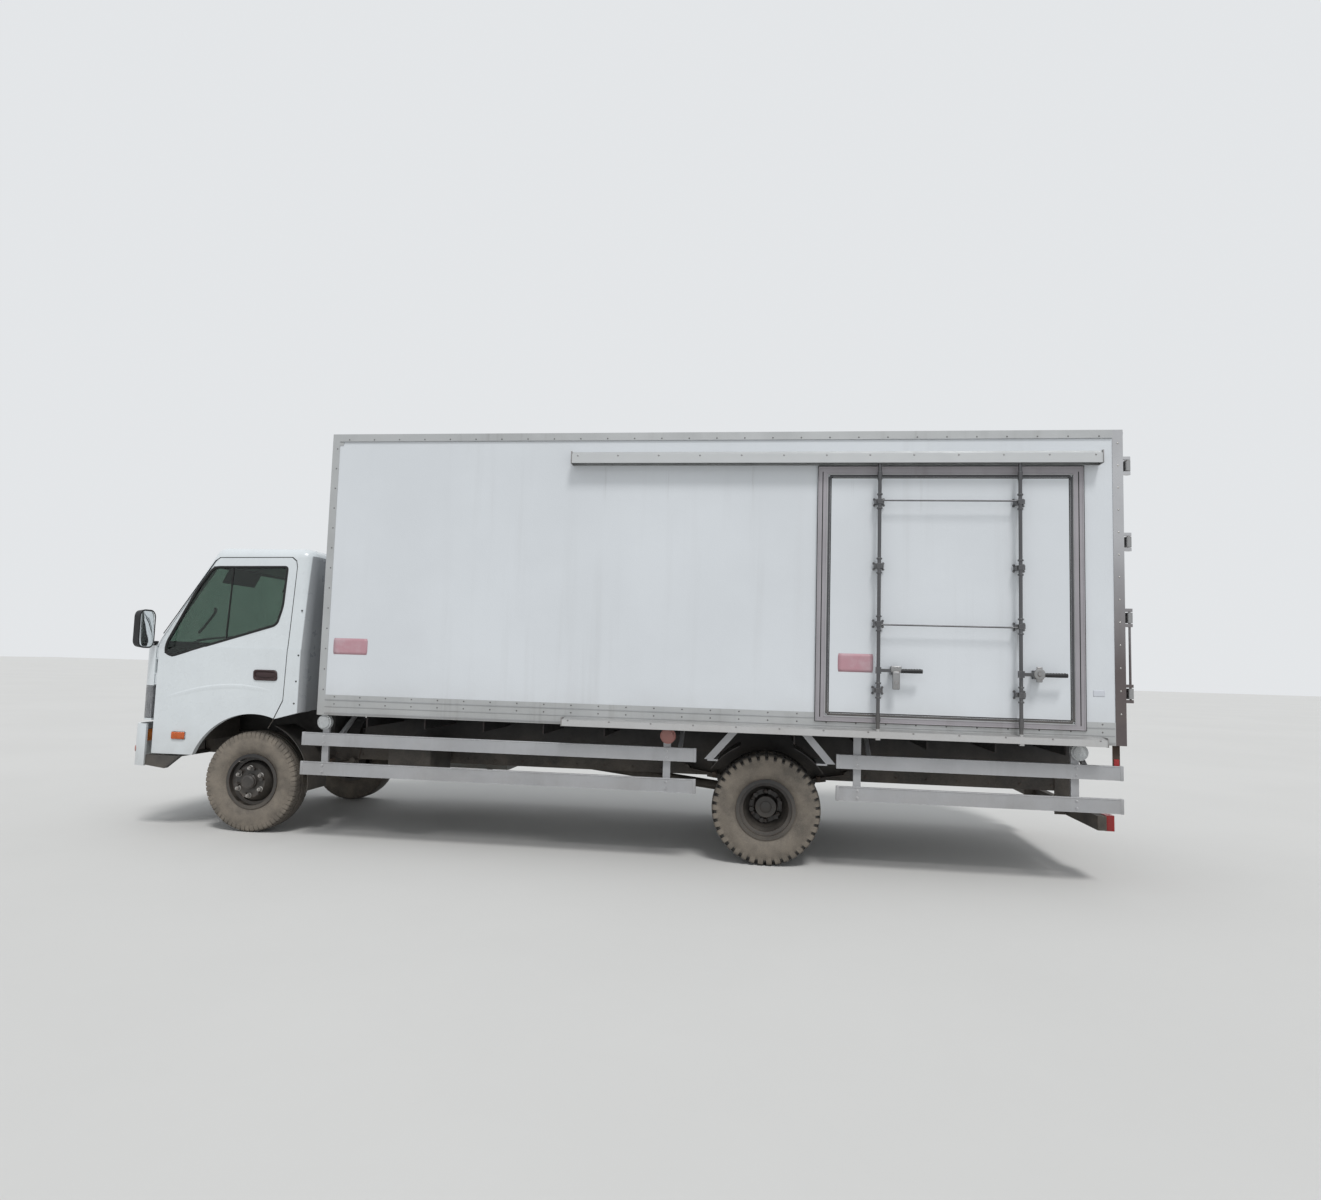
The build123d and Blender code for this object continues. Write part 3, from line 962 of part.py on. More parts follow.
with BuildPart() as front_panel:
    add(cab_skin.part)
    block(POST_LEAD, X_FRONT + FAR, -FAR, FAR, SKIRT_LOW, COWL_TOP, mode=Mode.INTERSECT)
    for side in (1, -1):
        block(POST_LEAD - 1, X_FRONT + FAR, *sorted((side * LAMP_INNER, side * FAR)),
              LAMP_LOW, LAMP_HIGH, mode=Mode.SUBTRACT)
    block(X_FRONT + 700, X_FRONT + FAR, -GRILLE_HALF, GRILLE_HALF, GRILLE_LOW, GRILLE_HIGH,
          mode=Mode.SUBTRACT)
    # Knuckle ends and pins of the door hinges, above and below the door's own
    for side in (1, -1):
        for low, high in DOOR_HINGE_LEVELS:
            rod((DOOR_HINGE_X, side * DOOR_HINGE_Y, low - 1), (DOOR_HINGE_X, side * DOOR_HINGE_Y, high + 1),
                DOOR_KNUCKLE + 3, mode=Mode.SUBTRACT)
            for z in (low - 14, high + 2):
                rod((DOOR_HINGE_X, side * DOOR_HINGE_Y, z), (DOOR_HINGE_X, side * DOOR_HINGE_Y, z + 12),
                    DOOR_KNUCKLE)
                block(DOOR_HINGE_X, POST_LEAD + 4,
                      *sorted((side * (DOOR_HINGE_Y - 5), side * (DOOR_HINGE_Y + 5))), z, z + 12)
            rod((DOOR_HINGE_X, side * DOOR_HINGE_Y, low - 10), (DOOR_HINGE_X, side * DOOR_HINGE_Y, high + 10),
                DOOR_PIN)
save(front_panel, "front_panel")

with BuildPart() as head_lamps:
    add(cab_skin.part)
    block(POST_LEAD, X_FRONT + FAR, -FAR, FAR, LAMP_LOW, LAMP_HIGH, mode=Mode.INTERSECT)
    block(POST_LEAD - 1, X_FRONT + FAR, -LAMP_INNER, LAMP_INNER, LAMP_LOW - 1, LAMP_HIGH + 1,
          mode=Mode.SUBTRACT)
save(head_lamps, "head_lamps")

# Grille: a frame with slats, in the front panel's opening
SLATS = 4
SLAT_HEIGHT = 18.0
with BuildPart() as grille:
    face = X_FRONT + CAB_FRONT
    block(face - CAB_WALL, face - 4, -GRILLE_HALF, GRILLE_HALF, GRILLE_LOW, GRILLE_HIGH)
    block(face - CAB_WALL - 1, face, -GRILLE_HALF + 22, GRILLE_HALF - 22, GRILLE_LOW + 22,
          GRILLE_HIGH - 22, mode=Mode.SUBTRACT)
    pitch = (GRILLE_HIGH - GRILLE_LOW - 44) / (SLATS + 1)
    for i in range(SLATS):
        z = GRILLE_LOW + 22 + (i + 1) * pitch
        side_prism([(face - 6, z + SLAT_HEIGHT / 2 - 6), (face - 12, z + SLAT_HEIGHT / 2),
                    (face - CAB_WALL + 4, z + SLAT_HEIGHT / 2 + 8), (face - CAB_WALL + 4, z),
                    (face - 12, z - SLAT_HEIGHT / 2)], -GRILLE_HALF + 20, GRILLE_HALF - 20)
    for y in (-180.0, 180.0):
        block(face - CAB_WALL, face - 20, y - 8, y + 8, GRILLE_LOW + 20, GRILLE_HIGH - 20)
save(grille, "grille")

with BuildPart() as cab_frame:
    add(cab_skin.part)
    block(X_FRONT - FAR, X_FRONT + FAR, -FAR, FAR, ROOF_SPLIT, CAB_TOP + 100, mode=Mode.SUBTRACT)
    block(POST_LEAD - DOOR_GAP, X_FRONT + FAR, -FAR, FAR, SKIRT_LOW - 10, COWL_TOP, mode=Mode.SUBTRACT)
    cross_prism(SCREEN_OUTLINE, X_FRONT + 200, X_FRONT + FAR, mode=Mode.SUBTRACT)
    for side in (1, -1):
        side_prism(at_cab(DOOR_OUTLINE, DOOR_GAP), *sorted((side * 700, side * FAR)), mode=Mode.SUBTRACT)
        # The strip of skin ahead of the arch and below the door goes with the door
        block(X_FRONT - 100, POST_LEAD, *sorted((side * 700, side * FAR)), SKIRT_LOW - 10, 1200,
              mode=Mode.SUBTRACT)
    block(X_CAB_BACK - 30, X_CAB_BACK + 120, -BACK_WINDOW[0], BACK_WINDOW[0], *BACK_WINDOW[1:],
          mode=Mode.SUBTRACT)
save(cab_frame, "cab_frame")

with BuildPart() as cab_windows:
    add(glass_skin.part)
    with BuildPart(mode=Mode.PRIVATE) as keep:
        cross_prism(SCREEN_OUTLINE, X_FRONT + 200, X_FRONT + FAR)
        block(X_CAB_BACK - 30, X_CAB_BACK + 120, -BACK_WINDOW[0], BACK_WINDOW[0], *BACK_WINDOW[1:])
    add(keep.part, mode=Mode.INTERSECT)
save(cab_windows, "cab_windows")

# Cab doors: skin, window and fittings on each side. The door covers the side
# down to the valance, and swings on knuckles hidden in the front shut line.
HANDLE = (-218.0, -4.0, 1238.0, 1326.0)
SIDE_LAMP = (565.0, 692.0, 730.0, 798.0)
with BuildPart() as door_zone:
    for side in (1, -1):
        side_prism(at_cab(DOOR_OUTLINE), *sorted((side * 700, side * FAR)))
        block(X_FRONT - 100, DOOR_LEAD, *sorted((side * 700, side * FAR)), SKIRT_LOW - 10, 1200)
with BuildPart() as window_zone:
    side_prism(at_cab(WINDOW_OUTLINE), 700, FAR)
    side_prism(at_cab(WINDOW_OUTLINE), -FAR, -700)
for side, label in ((1, "left"), (-1, "right")):
    near = sorted((side * 700, side * FAR))
    with BuildPart() as cab_door:
        add(cab_skin.part)
        add(door_zone.part, mode=Mode.INTERSECT)
        block(X_FRONT - FAR, X_FRONT + FAR, *near, 0, FAR * 2, mode=Mode.INTERSECT)
        add(window_zone.part, mode=Mode.SUBTRACT)
        # Chamfered leading edge, and room for the knuckles
        lead = [(DOOR_LEAD - 12, side * (CAB_OUT + 1)), (DOOR_LEAD + 1, side * (CAB_OUT + 1)),
                (DOOR_LEAD + 1, side * (CAB_OUT - 12))]
        plan_prism(lead, SKIRT_LOW - 1, 1540, mode=Mode.SUBTRACT)
        for low, high in DOOR_HINGE_LEVELS:
            rod((DOOR_HINGE_X, side * DOOR_HINGE_Y, low - 22), (DOOR_HINGE_X, side * DOOR_HINGE_Y, high + 22),
                DOOR_KNUCKLE + 5, mode=Mode.SUBTRACT)
            rod((DOOR_HINGE_X, side * DOOR_HINGE_Y, low), (DOOR_HINGE_X, side * DOOR_HINGE_Y, high),
                DOOR_KNUCKLE)
            block(DOOR_HINGE_X - 18, DOOR_HINGE_X,
                  *sorted((side * (DOOR_HINGE_Y - 5), side * (DOOR_HINGE_Y + 5))), low, high)
            rod((DOOR_HINGE_X, side * DOOR_HINGE_Y, low - 1), (DOOR_HINGE_X, side * DOOR_HINGE_Y, high + 1),
                DOOR_PIN + PIN_GAP, mode=Mode.SUBTRACT)
    save(cab_door, f"cab_door_{label}")
    with BuildPart() as door_window:
        add(glass_skin.part)
        add(window_zone.part, mode=Mode.INTERSECT)
        block(X_FRONT - FAR, X_FRONT + FAR, *near, 0, FAR * 2, mode=Mode.INTERSECT)
    save(door_window, f"door_window_{label}")
    with BuildPart() as door_fittings:
        x0, x1, z0, z1 = HANDLE
        with BuildSketch(Plane(origin=(0, side * (CAB_OUT + 12), 0), x_dir=(1, 0, 0),
                               z_dir=(0, -1, 0))) as pull:
            with Locations((X_FRONT + (x0 + x1) / 2, (z0 + z1) / 2)):
                RectangleRounded(x1 - x0, z1 - z0, 26)
        extrude(pull.sketch, amount=side * 12)
        x0, x1, z0, z1 = SIDE_LAMP
        block(X_FRONT + x0, X_FRONT + x1, *sorted((side * CAB_OUT, side * (CAB_OUT + 16))), z0, z1)
    save(door_fittings, f"door_fittings_{label}")

# Cab floor: deck over the wheels, hump over the engine, and a foot well on
# each side with a toe board, with the tilt lugs under its front ledge
DECK = 1000.0
DECK_PLATE = 40.0
HUMP_TOP = 1150.0
HUMP_HALF = 360.0
HUMP_PLATE = 30.0
DECK_REAR = X_CAB_BACK + CAB_WALL
DECK_HALF = CAB_OUT - CAB_WALL
WELL_REAR = X_FRONT + 520.0
WELL_INNER = RAIL_OUT + 14.0
PANEL_BACK = X_FRONT + CAB_FRONT - CAB_WALL
HUMP_FRONT = X_FRONT + 640.0
LUG_INNER = RAIL_OUT - RAIL_PLATE - TILT_EAR - 6.0
with BuildPart() as cab_floor:
    for side in (1, -1):
        outer = sorted((side * (HUMP_HALF - HUMP_PLATE), side * (DECK_HALF - 2)))
        block(DECK_REAR + 22, WELL_REAR, *outer, DECK, DECK + DECK_PLATE)
        outer = sorted((side * (HUMP_HALF - HUMP_PLATE), side * (DECK_HALF - 24)))
        block(DECK_REAR, DECK_REAR + 22, *outer, DECK, DECK + DECK_PLATE)
        # Hump side, down to the ledge beside the engine's front
        wall = sorted((side * (HUMP_HALF - HUMP_PLATE), side * HUMP_HALF))
        block(DECK_REAR, HUMP_FRONT, *wall, DECK, HUMP_TOP)
        block(WELL_REAR - 30, HUMP_FRONT, *wall, PANEL_BOTTOM, HUMP_TOP)
        # Foot well: riser, inner wall, floor and toe board
        well = sorted((side * WELL_INNER, side * (CAB_OUT - FRONT_CORNER)))
        block(WELL_REAR - 30, WELL_REAR, *sorted((side * HUMP_HALF, side * (DECK_HALF - 2))),
              PANEL_BOTTOM, DECK + DECK_PLATE)
        block(WELL_REAR - 30, WELL_REAR, *well, 720, DECK)
        block(WELL_REAR - 30, X_FRONT + 810, *well, 720, 750)
        side_prism([(X_FRONT + 795, 720), (X_FRONT + 800, 720), (X_FRONT + 950, 882),
                    (PANEL_BACK, 882), (PANEL_BACK, 915), (X_FRONT + 945, 915),
                    (X_FRONT + 790, 750)], *well)
        wall = sorted((side * WELL_INNER, side * (WELL_INNER + 20)))
        side_prism([(WELL_REAR - 30, 720), (X_FRONT + 800, 720), (X_FRONT + 950, 882),
                    (X_FRONT + 950, 915), (WELL_REAR - 30, 915)], *wall)
        block(WELL_REAR - 30, X_FRONT + 950, *sorted((side * (HUMP_HALF - HUMP_PLATE), side * (WELL_INNER + 20))),
              882, 915)
        # Tilt lug round the hinge pin
        lug = sorted((side * (LUG_INNER - 28), side * LUG_INNER))
        side_prism([(X_FRONT + 880, 890), (X_FRONT + 986, 890), (X_FRONT + 986, 880),
                    (X_FRONT + 1024, 880), (TILT_X + 18, TILT_Z + 4), (TILT_X - 18, TILT_Z),
                    (X_FRONT + 950, 866)], *lug)
        rod((TILT_X, lug[0], TILT_Z), (TILT_X, lug[1], TILT_Z), TILT_LUG)
        rod((TILT_X, lug[0] - 1, TILT_Z), (TILT_X, lug[1] + 1, TILT_Z), TILT_PIN + PIN_GAP,
            mode=Mode.SUBTRACT)
    block(DECK_REAR, HUMP_FRONT, -HUMP_HALF, HUMP_HALF, HUMP_TOP - HUMP_PLATE, HUMP_TOP)
    block(HUMP_FRONT - 30, HUMP_FRONT, -HUMP_HALF, HUMP_HALF, 882, HUMP_TOP)
    block(HUMP_FRONT - 30, PANEL_BACK, -WELL_INNER, WELL_INNER, 882, 915)
save(cab_floor, "cab_floor")

# Dashboard with the steering column, and a hood over the dials
DASH_HALF = DECK_HALF - 12.0
WHEEL_Y = -540.0
WHEEL_CENTRE = (X_FRONT + 415.0, WHEEL_Y, 1455.0)
COLUMN_FOOT = (X_FRONT + 720.0, WHEEL_Y, 1060.0)
COLUMN_RUN = (Vector(*COLUMN_FOOT) - Vector(*WHEEL_CENTRE)).normalized()
HUB_GAP = SEAT_GAP
with BuildPart() as dashboard:
    side_prism([(X_FRONT + 640, 1200), (X_FRONT + 610, 1330), (X_FRONT + 680, 1450),
                (X_FRONT + 800, 1492), (X_FRONT + 900, 1480), (X_FRONT + 940, 1452),
                (X_FRONT + 940, 1080), (X_FRONT + 800, 1080)], -DASH_HALF, DASH_HALF)
    add(cab_form(CAB_WALL + SEAT_GAP), mode=Mode.INTERSECT)
    start = Vector(*WHEEL_CENTRE) + COLUMN_RUN * 62
    end = Vector(*WHEEL_CENTRE) + COLUMN_RUN * 330
    rod(tuple(start), tuple(end), 42)
save(dashboard, "dashboard")

WHEEL_RADIUS = 205.0
WHEEL_GRIP = 14.0
with BuildPart() as steering_wheel:
    hub_plane = Plane(origin=WHEEL_CENTRE, x_dir=(0, 1, 0), z_dir=COLUMN_RUN)
    with BuildSketch(Plane(origin=WHEEL_CENTRE, x_dir=(0, 1, 0), z_dir=COLUMN_RUN.cross(Vector(0, 1, 0)))) as grip:
        with Locations((WHEEL_RADIUS, 0)):
            Circle(WHEEL_GRIP)
    revolve(grip.sketch, axis=Axis(WHEEL_CENTRE, tuple(COLUMN_RUN)))
    with BuildSketch(hub_plane.offset(6)) as spokes:
        Circle(52)
        for angle in (90, 210, 330):
            with Locations(Rotation(0, 0, angle)):
                with Locations((WHEEL_RADIUS / 2, 0)):
                    Rectangle(WHEEL_RADIUS, 34)
    extrude(spokes.sketch, amount=14)
    with BuildSketch(hub_plane.offset(18)) as boss:
        Circle(34)
    extrude(boss.sketch, amount=62 - 18 - HUB_GAP)
save(steering_wheel, "steering_wheel")

# Seats: driver's seat on the right, a double bench on the left; each has a
# base, a cushion and a back with head rests
SEATS = [(-800.0, -300.0, (-550.0,)), (-250.0, 800.0, (20.0, 530.0))]
SEAT_FRONT = X_FRONT + 150.0
SEAT_REAR = X_FRONT - 330.0
CUSHION_LOW = 1200.0
CUSHION_TOP = 1330.0
BACK_TOP = 1860.0
with BuildPart() as seats:
    for y_low, y_high, rests in SEATS:
        base_low = HUMP_TOP
        block(SEAT_REAR + 40, SEAT_FRONT - 50, y_low + 30, y_high - 30, base_low, CUSHION_LOW + 5)
        side_prism([(SEAT_REAR + 110, CUSHION_LOW), (SEAT_FRONT - 30, CUSHION_LOW),
                    (SEAT_FRONT, CUSHION_LOW + 40), (SEAT_FRONT - 10, CUSHION_TOP),
                    (SEAT_FRONT - 60, CUSHION_TOP + 15), (SEAT_REAR + 100, CUSHION_TOP - 15)],
                   y_low, y_high)
        side_prism([(SEAT_REAR + 115, CUSHION_LOW), (SEAT_REAR + 125, CUSHION_TOP + 20),
                    (SEAT_REAR + 75, BACK_TOP - 30), (SEAT_REAR + 55, BACK_TOP),
                    (SEAT_REAR - 15, BACK_TOP), (SEAT_REAR - 30, BACK_TOP - 40),
                    (SEAT_REAR + 15, CUSHION_LOW)], y_low, y_high)
        for y in rests:
            block(SEAT_REAR - 25, SEAT_REAR + 50, y - 125, y + 125, BACK_TOP + 30, BACK_TOP + 190)
            for post in (-50, 50):
                rod((SEAT_REAR + 12, y + post, BACK_TOP - 20), (SEAT_REAR + 12, y + post, BACK_TOP + 40), 7)
save(seats, "seats")

# Mirrors on tube arms from the cab's front corners
MIRROR_X = X_FRONT + 918.0
MIRROR_Y = 1104.0
MIRROR_Z = 1635.0
MIRROR_SIZE = (56.0, 180.0, 318.0)
ARM_Z = COWL_TOP + 28.0
FOOT_X = X_FRONT + 1000.0
FOOT_Y = 850.0
with BuildPart() as mirrors:
    for side in (1, -1):
        with BuildSketch(Plane.YZ.offset(MIRROR_X - MIRROR_SIZE[0] / 2)) as glass_face:
            with Locations((side * MIRROR_Y, MIRROR_Z)):
                RectangleRounded(MIRROR_SIZE[1], MIRROR_SIZE[2], 62)
        extrude(glass_face.sketch, amount=MIRROR_SIZE[0], taper=9)
        stem = (MIRROR_X + 64, side * (MIRROR_Y - 138))
        for z in (1556.0, 1716.0):
            rod((MIRROR_X + 6, side * (MIRROR_Y - 52), z), (*stem, z), 8)
        rod((*stem, 1730), (*stem, ARM_Z - 12), 12)
        rod((*stem, ARM_Z), (FOOT_X, side * FOOT_Y, ARM_Z), 11)
        rod((FOOT_X, side * FOOT_Y, COWL_TOP + SEAT_GAP), (FOOT_X, side * FOOT_Y, ARM_Z + 11), 17)
save(mirrors, "mirrors")
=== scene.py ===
import math
import random

import bmesh
import bpy
from bpy.props import (
    BoolProperty,
    FloatProperty,
    FloatVectorProperty,
    IntProperty,
    PointerProperty,
)
from mathutils import Matrix, Vector


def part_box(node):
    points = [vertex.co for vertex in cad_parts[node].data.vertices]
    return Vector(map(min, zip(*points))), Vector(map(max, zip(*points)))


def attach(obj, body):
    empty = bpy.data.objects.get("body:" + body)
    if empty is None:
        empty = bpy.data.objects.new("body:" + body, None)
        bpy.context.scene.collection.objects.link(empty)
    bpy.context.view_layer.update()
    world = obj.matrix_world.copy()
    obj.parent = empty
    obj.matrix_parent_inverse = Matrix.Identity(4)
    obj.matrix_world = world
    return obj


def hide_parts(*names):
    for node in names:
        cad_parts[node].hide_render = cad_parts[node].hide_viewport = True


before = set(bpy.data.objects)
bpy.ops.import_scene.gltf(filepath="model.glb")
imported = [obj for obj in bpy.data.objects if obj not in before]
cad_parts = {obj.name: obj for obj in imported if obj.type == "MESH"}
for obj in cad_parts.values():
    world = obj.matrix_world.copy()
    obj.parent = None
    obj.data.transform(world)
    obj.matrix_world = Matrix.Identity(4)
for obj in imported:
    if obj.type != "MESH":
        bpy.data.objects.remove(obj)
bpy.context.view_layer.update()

bl_info = {
    "name": "Refrigerated truck dressing",
    "version": (1, 0, 0),
    "blender": (4, 5, 0),
    "location": "View3D > Sidebar > Truck",
    "description": "Dresses a packed refrigerated truck with finishes, fittings and a studio",
    "category": "Object",
}

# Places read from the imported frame, in metres: X forward, Y left, Z up.


def middle(node):
    """The middle of a CAD node's box."""
    low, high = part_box(node)
    return (low + high) / 2


FRONT_AXLE = middle("tyre_front_left")
REAR_AXLE = middle("tyres_rear_left")
XF, XR, AXLE_Z = FRONT_AXLE.x, REAR_AXLE.x, FRONT_AXLE.z
TRIM_LOW, TRIM_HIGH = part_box("edge_trims")
BOX_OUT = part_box("rear_frame")[1].y
BOX_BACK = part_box("rear_door_left")[0].x
BOX_NOSE = TRIM_HIGH.x
BOX_FOOT, BOX_TOP = TRIM_LOW.z, TRIM_HIGH.z
LEAF_LOW, LEAF_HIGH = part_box("side_door_leaf")
CAB_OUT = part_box("cab_frame")[1].y
BUMPER_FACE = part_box("bumper")[1].x
SIDES = (("left", 1), ("right", -1))
FRONT_Y, REAR_Y = FRONT_AXLE.y, REAR_AXLE.y
LOCK_XS = (XR - 0.785, XR - 1.77)
LOCK_LEVELS = (2.706, 2.23, 1.808, 1.325)
LOCK_BAR_Y = BOX_OUT + 0.062
HANDLE_Z = 1.47
RAILS = ((XR - 2.328, XR + 1.533, 2.988, 3.078), (XR - 2.337, XR + 1.535, 0.985, 1.045))     # x and z from, to
REAR_HINGE_LEVELS = (2.987, 2.435, 1.892, 1.356)
STRAP_BACK = BOX_BACK - 0.0125
GUARD_TIERS = ((0.748, 0.848), (0.518, 0.62))
GUARD_RUNS = ((XR + 0.525, XR + 3.655), (XR - 2.475, XR - 0.506))
GUARD_POSTS = (XR + 0.745, XR + 3.472, XR - 2.164, XR - 0.655)
# The cab door's window and the gap round the door: millimetres ahead of the front axle and above the ground.
DOOR_WINDOW = [(811, 1440), (805, 1530), (585, 1985), (452, 2180), (-205, 2190), (-222, 2172), (-214, 1850),
               (-179, 1714), (-150, 1686), (740, 1410)]
DOOR_GAP_LINE = ((840.2, 1603.4), (443.5, 2228.5), (403.5, 2255.5), (-249.5, 2265.5), (-288.5, 2235.5),
                 (-300.5, 2183.5), (-290.5, 1675.5), (-273.5, 1082.5), (-199.5, 924.5), (-156.0, 850.0))
# The cab's sides lean in by CAB_LEAN over CAB_LEAN_RISE above the belt; the screen falls back by its slope.
BELT_Z, CAB_LEAN, CAB_LEAN_RISE = 1.5, 0.056, 0.845
SCREEN_FOOT_X, SCREEN_SLOPE, SCREEN_CORNER = 0.968, 0.5915, 0.15
SCREEN_OUT, SCREEN_UP = (0.861, 0, 0.509), (-0.509, 0, 0.861)
MIRROR_X, MIRROR_Y, MIRROR_Z = XF + 0.918, 1.104, 1.635
SKIN_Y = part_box("box_left_wall")[1].y
LABELS = ((1.784, 2.069, 1.472, 1.599, 0.0008), (-2.116, -1.862, 1.452, 1.586, 0.0008),
          (-3.713, -3.634, 1.329, 1.375, 0.0004))                # x from, to, z from, to, lift of the corners


def dirt_runs():
    """Runs of dirt below the side door's keepers and rail: x, top, length, half width, amount."""
    dice = random.Random(7)
    runs = []
    for x in LOCK_XS:
        for z in LOCK_LEVELS:
            runs.append((x + dice.uniform(-0.02, 0.02), z - 0.03, dice.uniform(0.25, 0.55), 0.022,
                         dice.uniform(0.25, 0.5)))
    for k in range(6):
        runs.append((XR + 1.35 - 0.62 * k + dice.uniform(-0.1, 0.1), 2.985, dice.uniform(0.3, 0.9), 0.018,
                     dice.uniform(0.12, 0.3)))
    return runs


# Settings that a user would change

COLOUR = {"subtype": "COLOR", "size": 4, "min": 0, "max": 1}


class TruckColours(bpy.types.PropertyGroup):
    """Colours of the truck's paints, metals and dirt."""

    cab_paint: FloatVectorProperty(
        name="Cab paint", description="White of the cab, the bumper and the doors",
        **COLOUR, default=(0.7, 0.735, 0.75, 1))
    box_panel: FloatVectorProperty(
        name="Box panel", description="White of the box body's gel coat",
        **COLOUR, default=(0.7, 0.725, 0.75, 1))
    aluminium: FloatVectorProperty(
        name="Aluminium", description="Colour of the edge trims and side guards",
        **COLOUR, default=(0.52, 0.53, 0.53, 1))
    stainless: FloatVectorProperty(
        name="Stainless steel", description="Colour of the rear portal and the lock gear",
        **COLOUR, default=(0.55, 0.55, 0.56, 1))
    rubber: FloatVectorProperty(
        name="Rubber", description="Colour of clean tyre rubber",
        **COLOUR, default=(0.022, 0.021, 0.02, 1))
    dust: FloatVectorProperty(
        name="Road dust", description="Colour of the dried dust on the lower parts",
        **COLOUR, default=(0.24, 0.205, 0.165, 1))
    rust: FloatVectorProperty(
        name="Rust", description="Colour of rust on chips and seams",
        **COLOUR, default=(0.16, 0.055, 0.022, 1))
    label: FloatVectorProperty(
        name="Faded label", description="Colour of the blank stickers on the box",
        **COLOUR, default=(0.48, 0.265, 0.3, 1))
    glass: FloatVectorProperty(
        name="Window glass", description="Tint of the cab's windows",
        **COLOUR, default=(0.235, 0.325, 0.275, 1))
    fabric: FloatVectorProperty(
        name="Seat fabric", description="Colour of the seats' woven cloth",
        **COLOUR, default=(0.075, 0.08, 0.095, 1))


class TruckSizes(bpy.types.PropertyGroup):
    """Sizes and counts of the small fittings."""

    rivet_radius: FloatProperty(
        name="Rivet radius", description="Radius of a trim rivet's head",
        default=0.0062, min=0.002, max=0.02, unit="LENGTH")
    rivet_pitch: FloatProperty(
        name="Rivet pitch", description="Distance between rivets on the upright trims",
        default=0.15, min=0.05, max=0.5, unit="LENGTH")
    lug_count: IntProperty(
        name="Rear tyre lugs", description="Shoulder lugs round one rear tyre",
        default=38, min=12, max=60)
    seal_width: FloatProperty(
        name="Window seal", description="Width of the rubber round the cab's windows",
        default=0.022, min=0.005, max=0.06, unit="LENGTH")
    rail_bolts: BoolProperty(
        name="Guard bolts", description="Put bolts on the side guards' posts", default=True)


class TruckStudio(bpy.types.PropertyGroup):
    """Floor, light and camera."""

    sun: FloatProperty(
        name="Key light", description="Strength of the soft key light", default=1.55, min=0, max=10)
    sky: FloatProperty(
        name="Sky light", description="Strength of the even light from all round", default=0.7, min=0, max=10)
    floor: FloatVectorProperty(
        name="Floor", description="Colour of the studio floor",
        **COLOUR, default=(0.62, 0.61, 0.59, 1))
    lens: FloatProperty(
        name="Lens", description="Focal length of the camera, on a 36 mm sensor",
        default=22.42, min=5, max=200)


# Shader helpers


def add_node(tree, kind, **settings):
    """Make a node and set its own properties."""
    made = tree.nodes.new(kind)
    for key, value in settings.items():
        setattr(made, key, value)
    return made


def feed(tree, value, socket):
    """Link a socket to value, or write value on it."""
    if isinstance(value, bpy.types.NodeSocket):
        tree.links.new(value, socket)
    else:
        socket.default_value = value


def calc(tree, operation, first, second=0.0, clamp=False):
    """One Math node."""
    made = add_node(tree, "ShaderNodeMath", operation=operation, use_clamp=clamp)
    feed(tree, first, made.inputs[0])
    feed(tree, second, made.inputs[1])
    return made.outputs[0]


def times(tree, first, second, clamp=False):
    """The product of two values."""
    return calc(tree, "MULTIPLY", first, second, clamp)


def plus(tree, first, second):
    """The sum of two values."""
    return calc(tree, "ADD", first, second)


def ramp(tree, value, low, high, smooth=True):
    """0 at low and 1 at high, clamped; low may be the larger."""
    made = add_node(tree, "ShaderNodeMapRange",
                    interpolation_type="SMOOTHSTEP" if smooth else "LINEAR")
    feed(tree, value, made.inputs["Value"])
    feed(tree, low, made.inputs["From Min"])
    feed(tree, high, made.inputs["From Max"])
    return made.outputs["Result"]


def blend_colour(tree, share, first, second):
    """Mix two colours by share."""
    made = add_node(tree, "ShaderNodeMix", data_type="RGBA")
    feed(tree, share, made.inputs[0])
    feed(tree, first, made.inputs[6])
    feed(tree, second, made.inputs[7])
    return made.outputs[2]


def blend_value(tree, share, first, second):
    """Mix two values by share."""
    made = add_node(tree, "ShaderNodeMix", data_type="FLOAT")
    feed(tree, share, made.inputs[0])
    feed(tree, first, made.inputs[2])
    feed(tree, second, made.inputs[3])
    return made.outputs[0]


def stretched(tree, factors):
    """Object coordinates, each axis times its factor."""
    made = add_node(tree, "ShaderNodeVectorMath", operation="MULTIPLY")
    feed(tree, add_node(tree, "ShaderNodeTexCoord").outputs["Object"], made.inputs[0])
    feed(tree, factors, made.inputs[1])
    return made.outputs[0]


def noise(tree, scale, detail=4.0, roughness=0.55, stretch=(1, 1, 1)):
    """A noise texture's value over stretched object coordinates."""
    made = add_node(tree, "ShaderNodeTexNoise")
    feed(tree, stretched(tree, stretch), made.inputs["Vector"])
    feed(tree, scale, made.inputs["Scale"])
    made.inputs["Detail"].default_value = detail
    made.inputs["Roughness"].default_value = roughness
    return made.outputs["Fac"]


def patches(tree, scale, detail, roughness, low, high, stretch=(1, 1, 1)):
    """Patches of noise: 0 where it is below low and 1 where it is above high."""
    return ramp(tree, noise(tree, scale, detail, roughness, stretch), low, high)


def dimmed(colour, by):
    """A colour made darker."""
    return tuple(c * by for c in colour[:3]) + (1,)


def axes(tree):
    """The three object coordinates."""
    made = add_node(tree, "ShaderNodeSeparateXYZ")
    feed(tree, add_node(tree, "ShaderNodeTexCoord").outputs["Object"], made.inputs[0])
    return tuple(made.outputs)


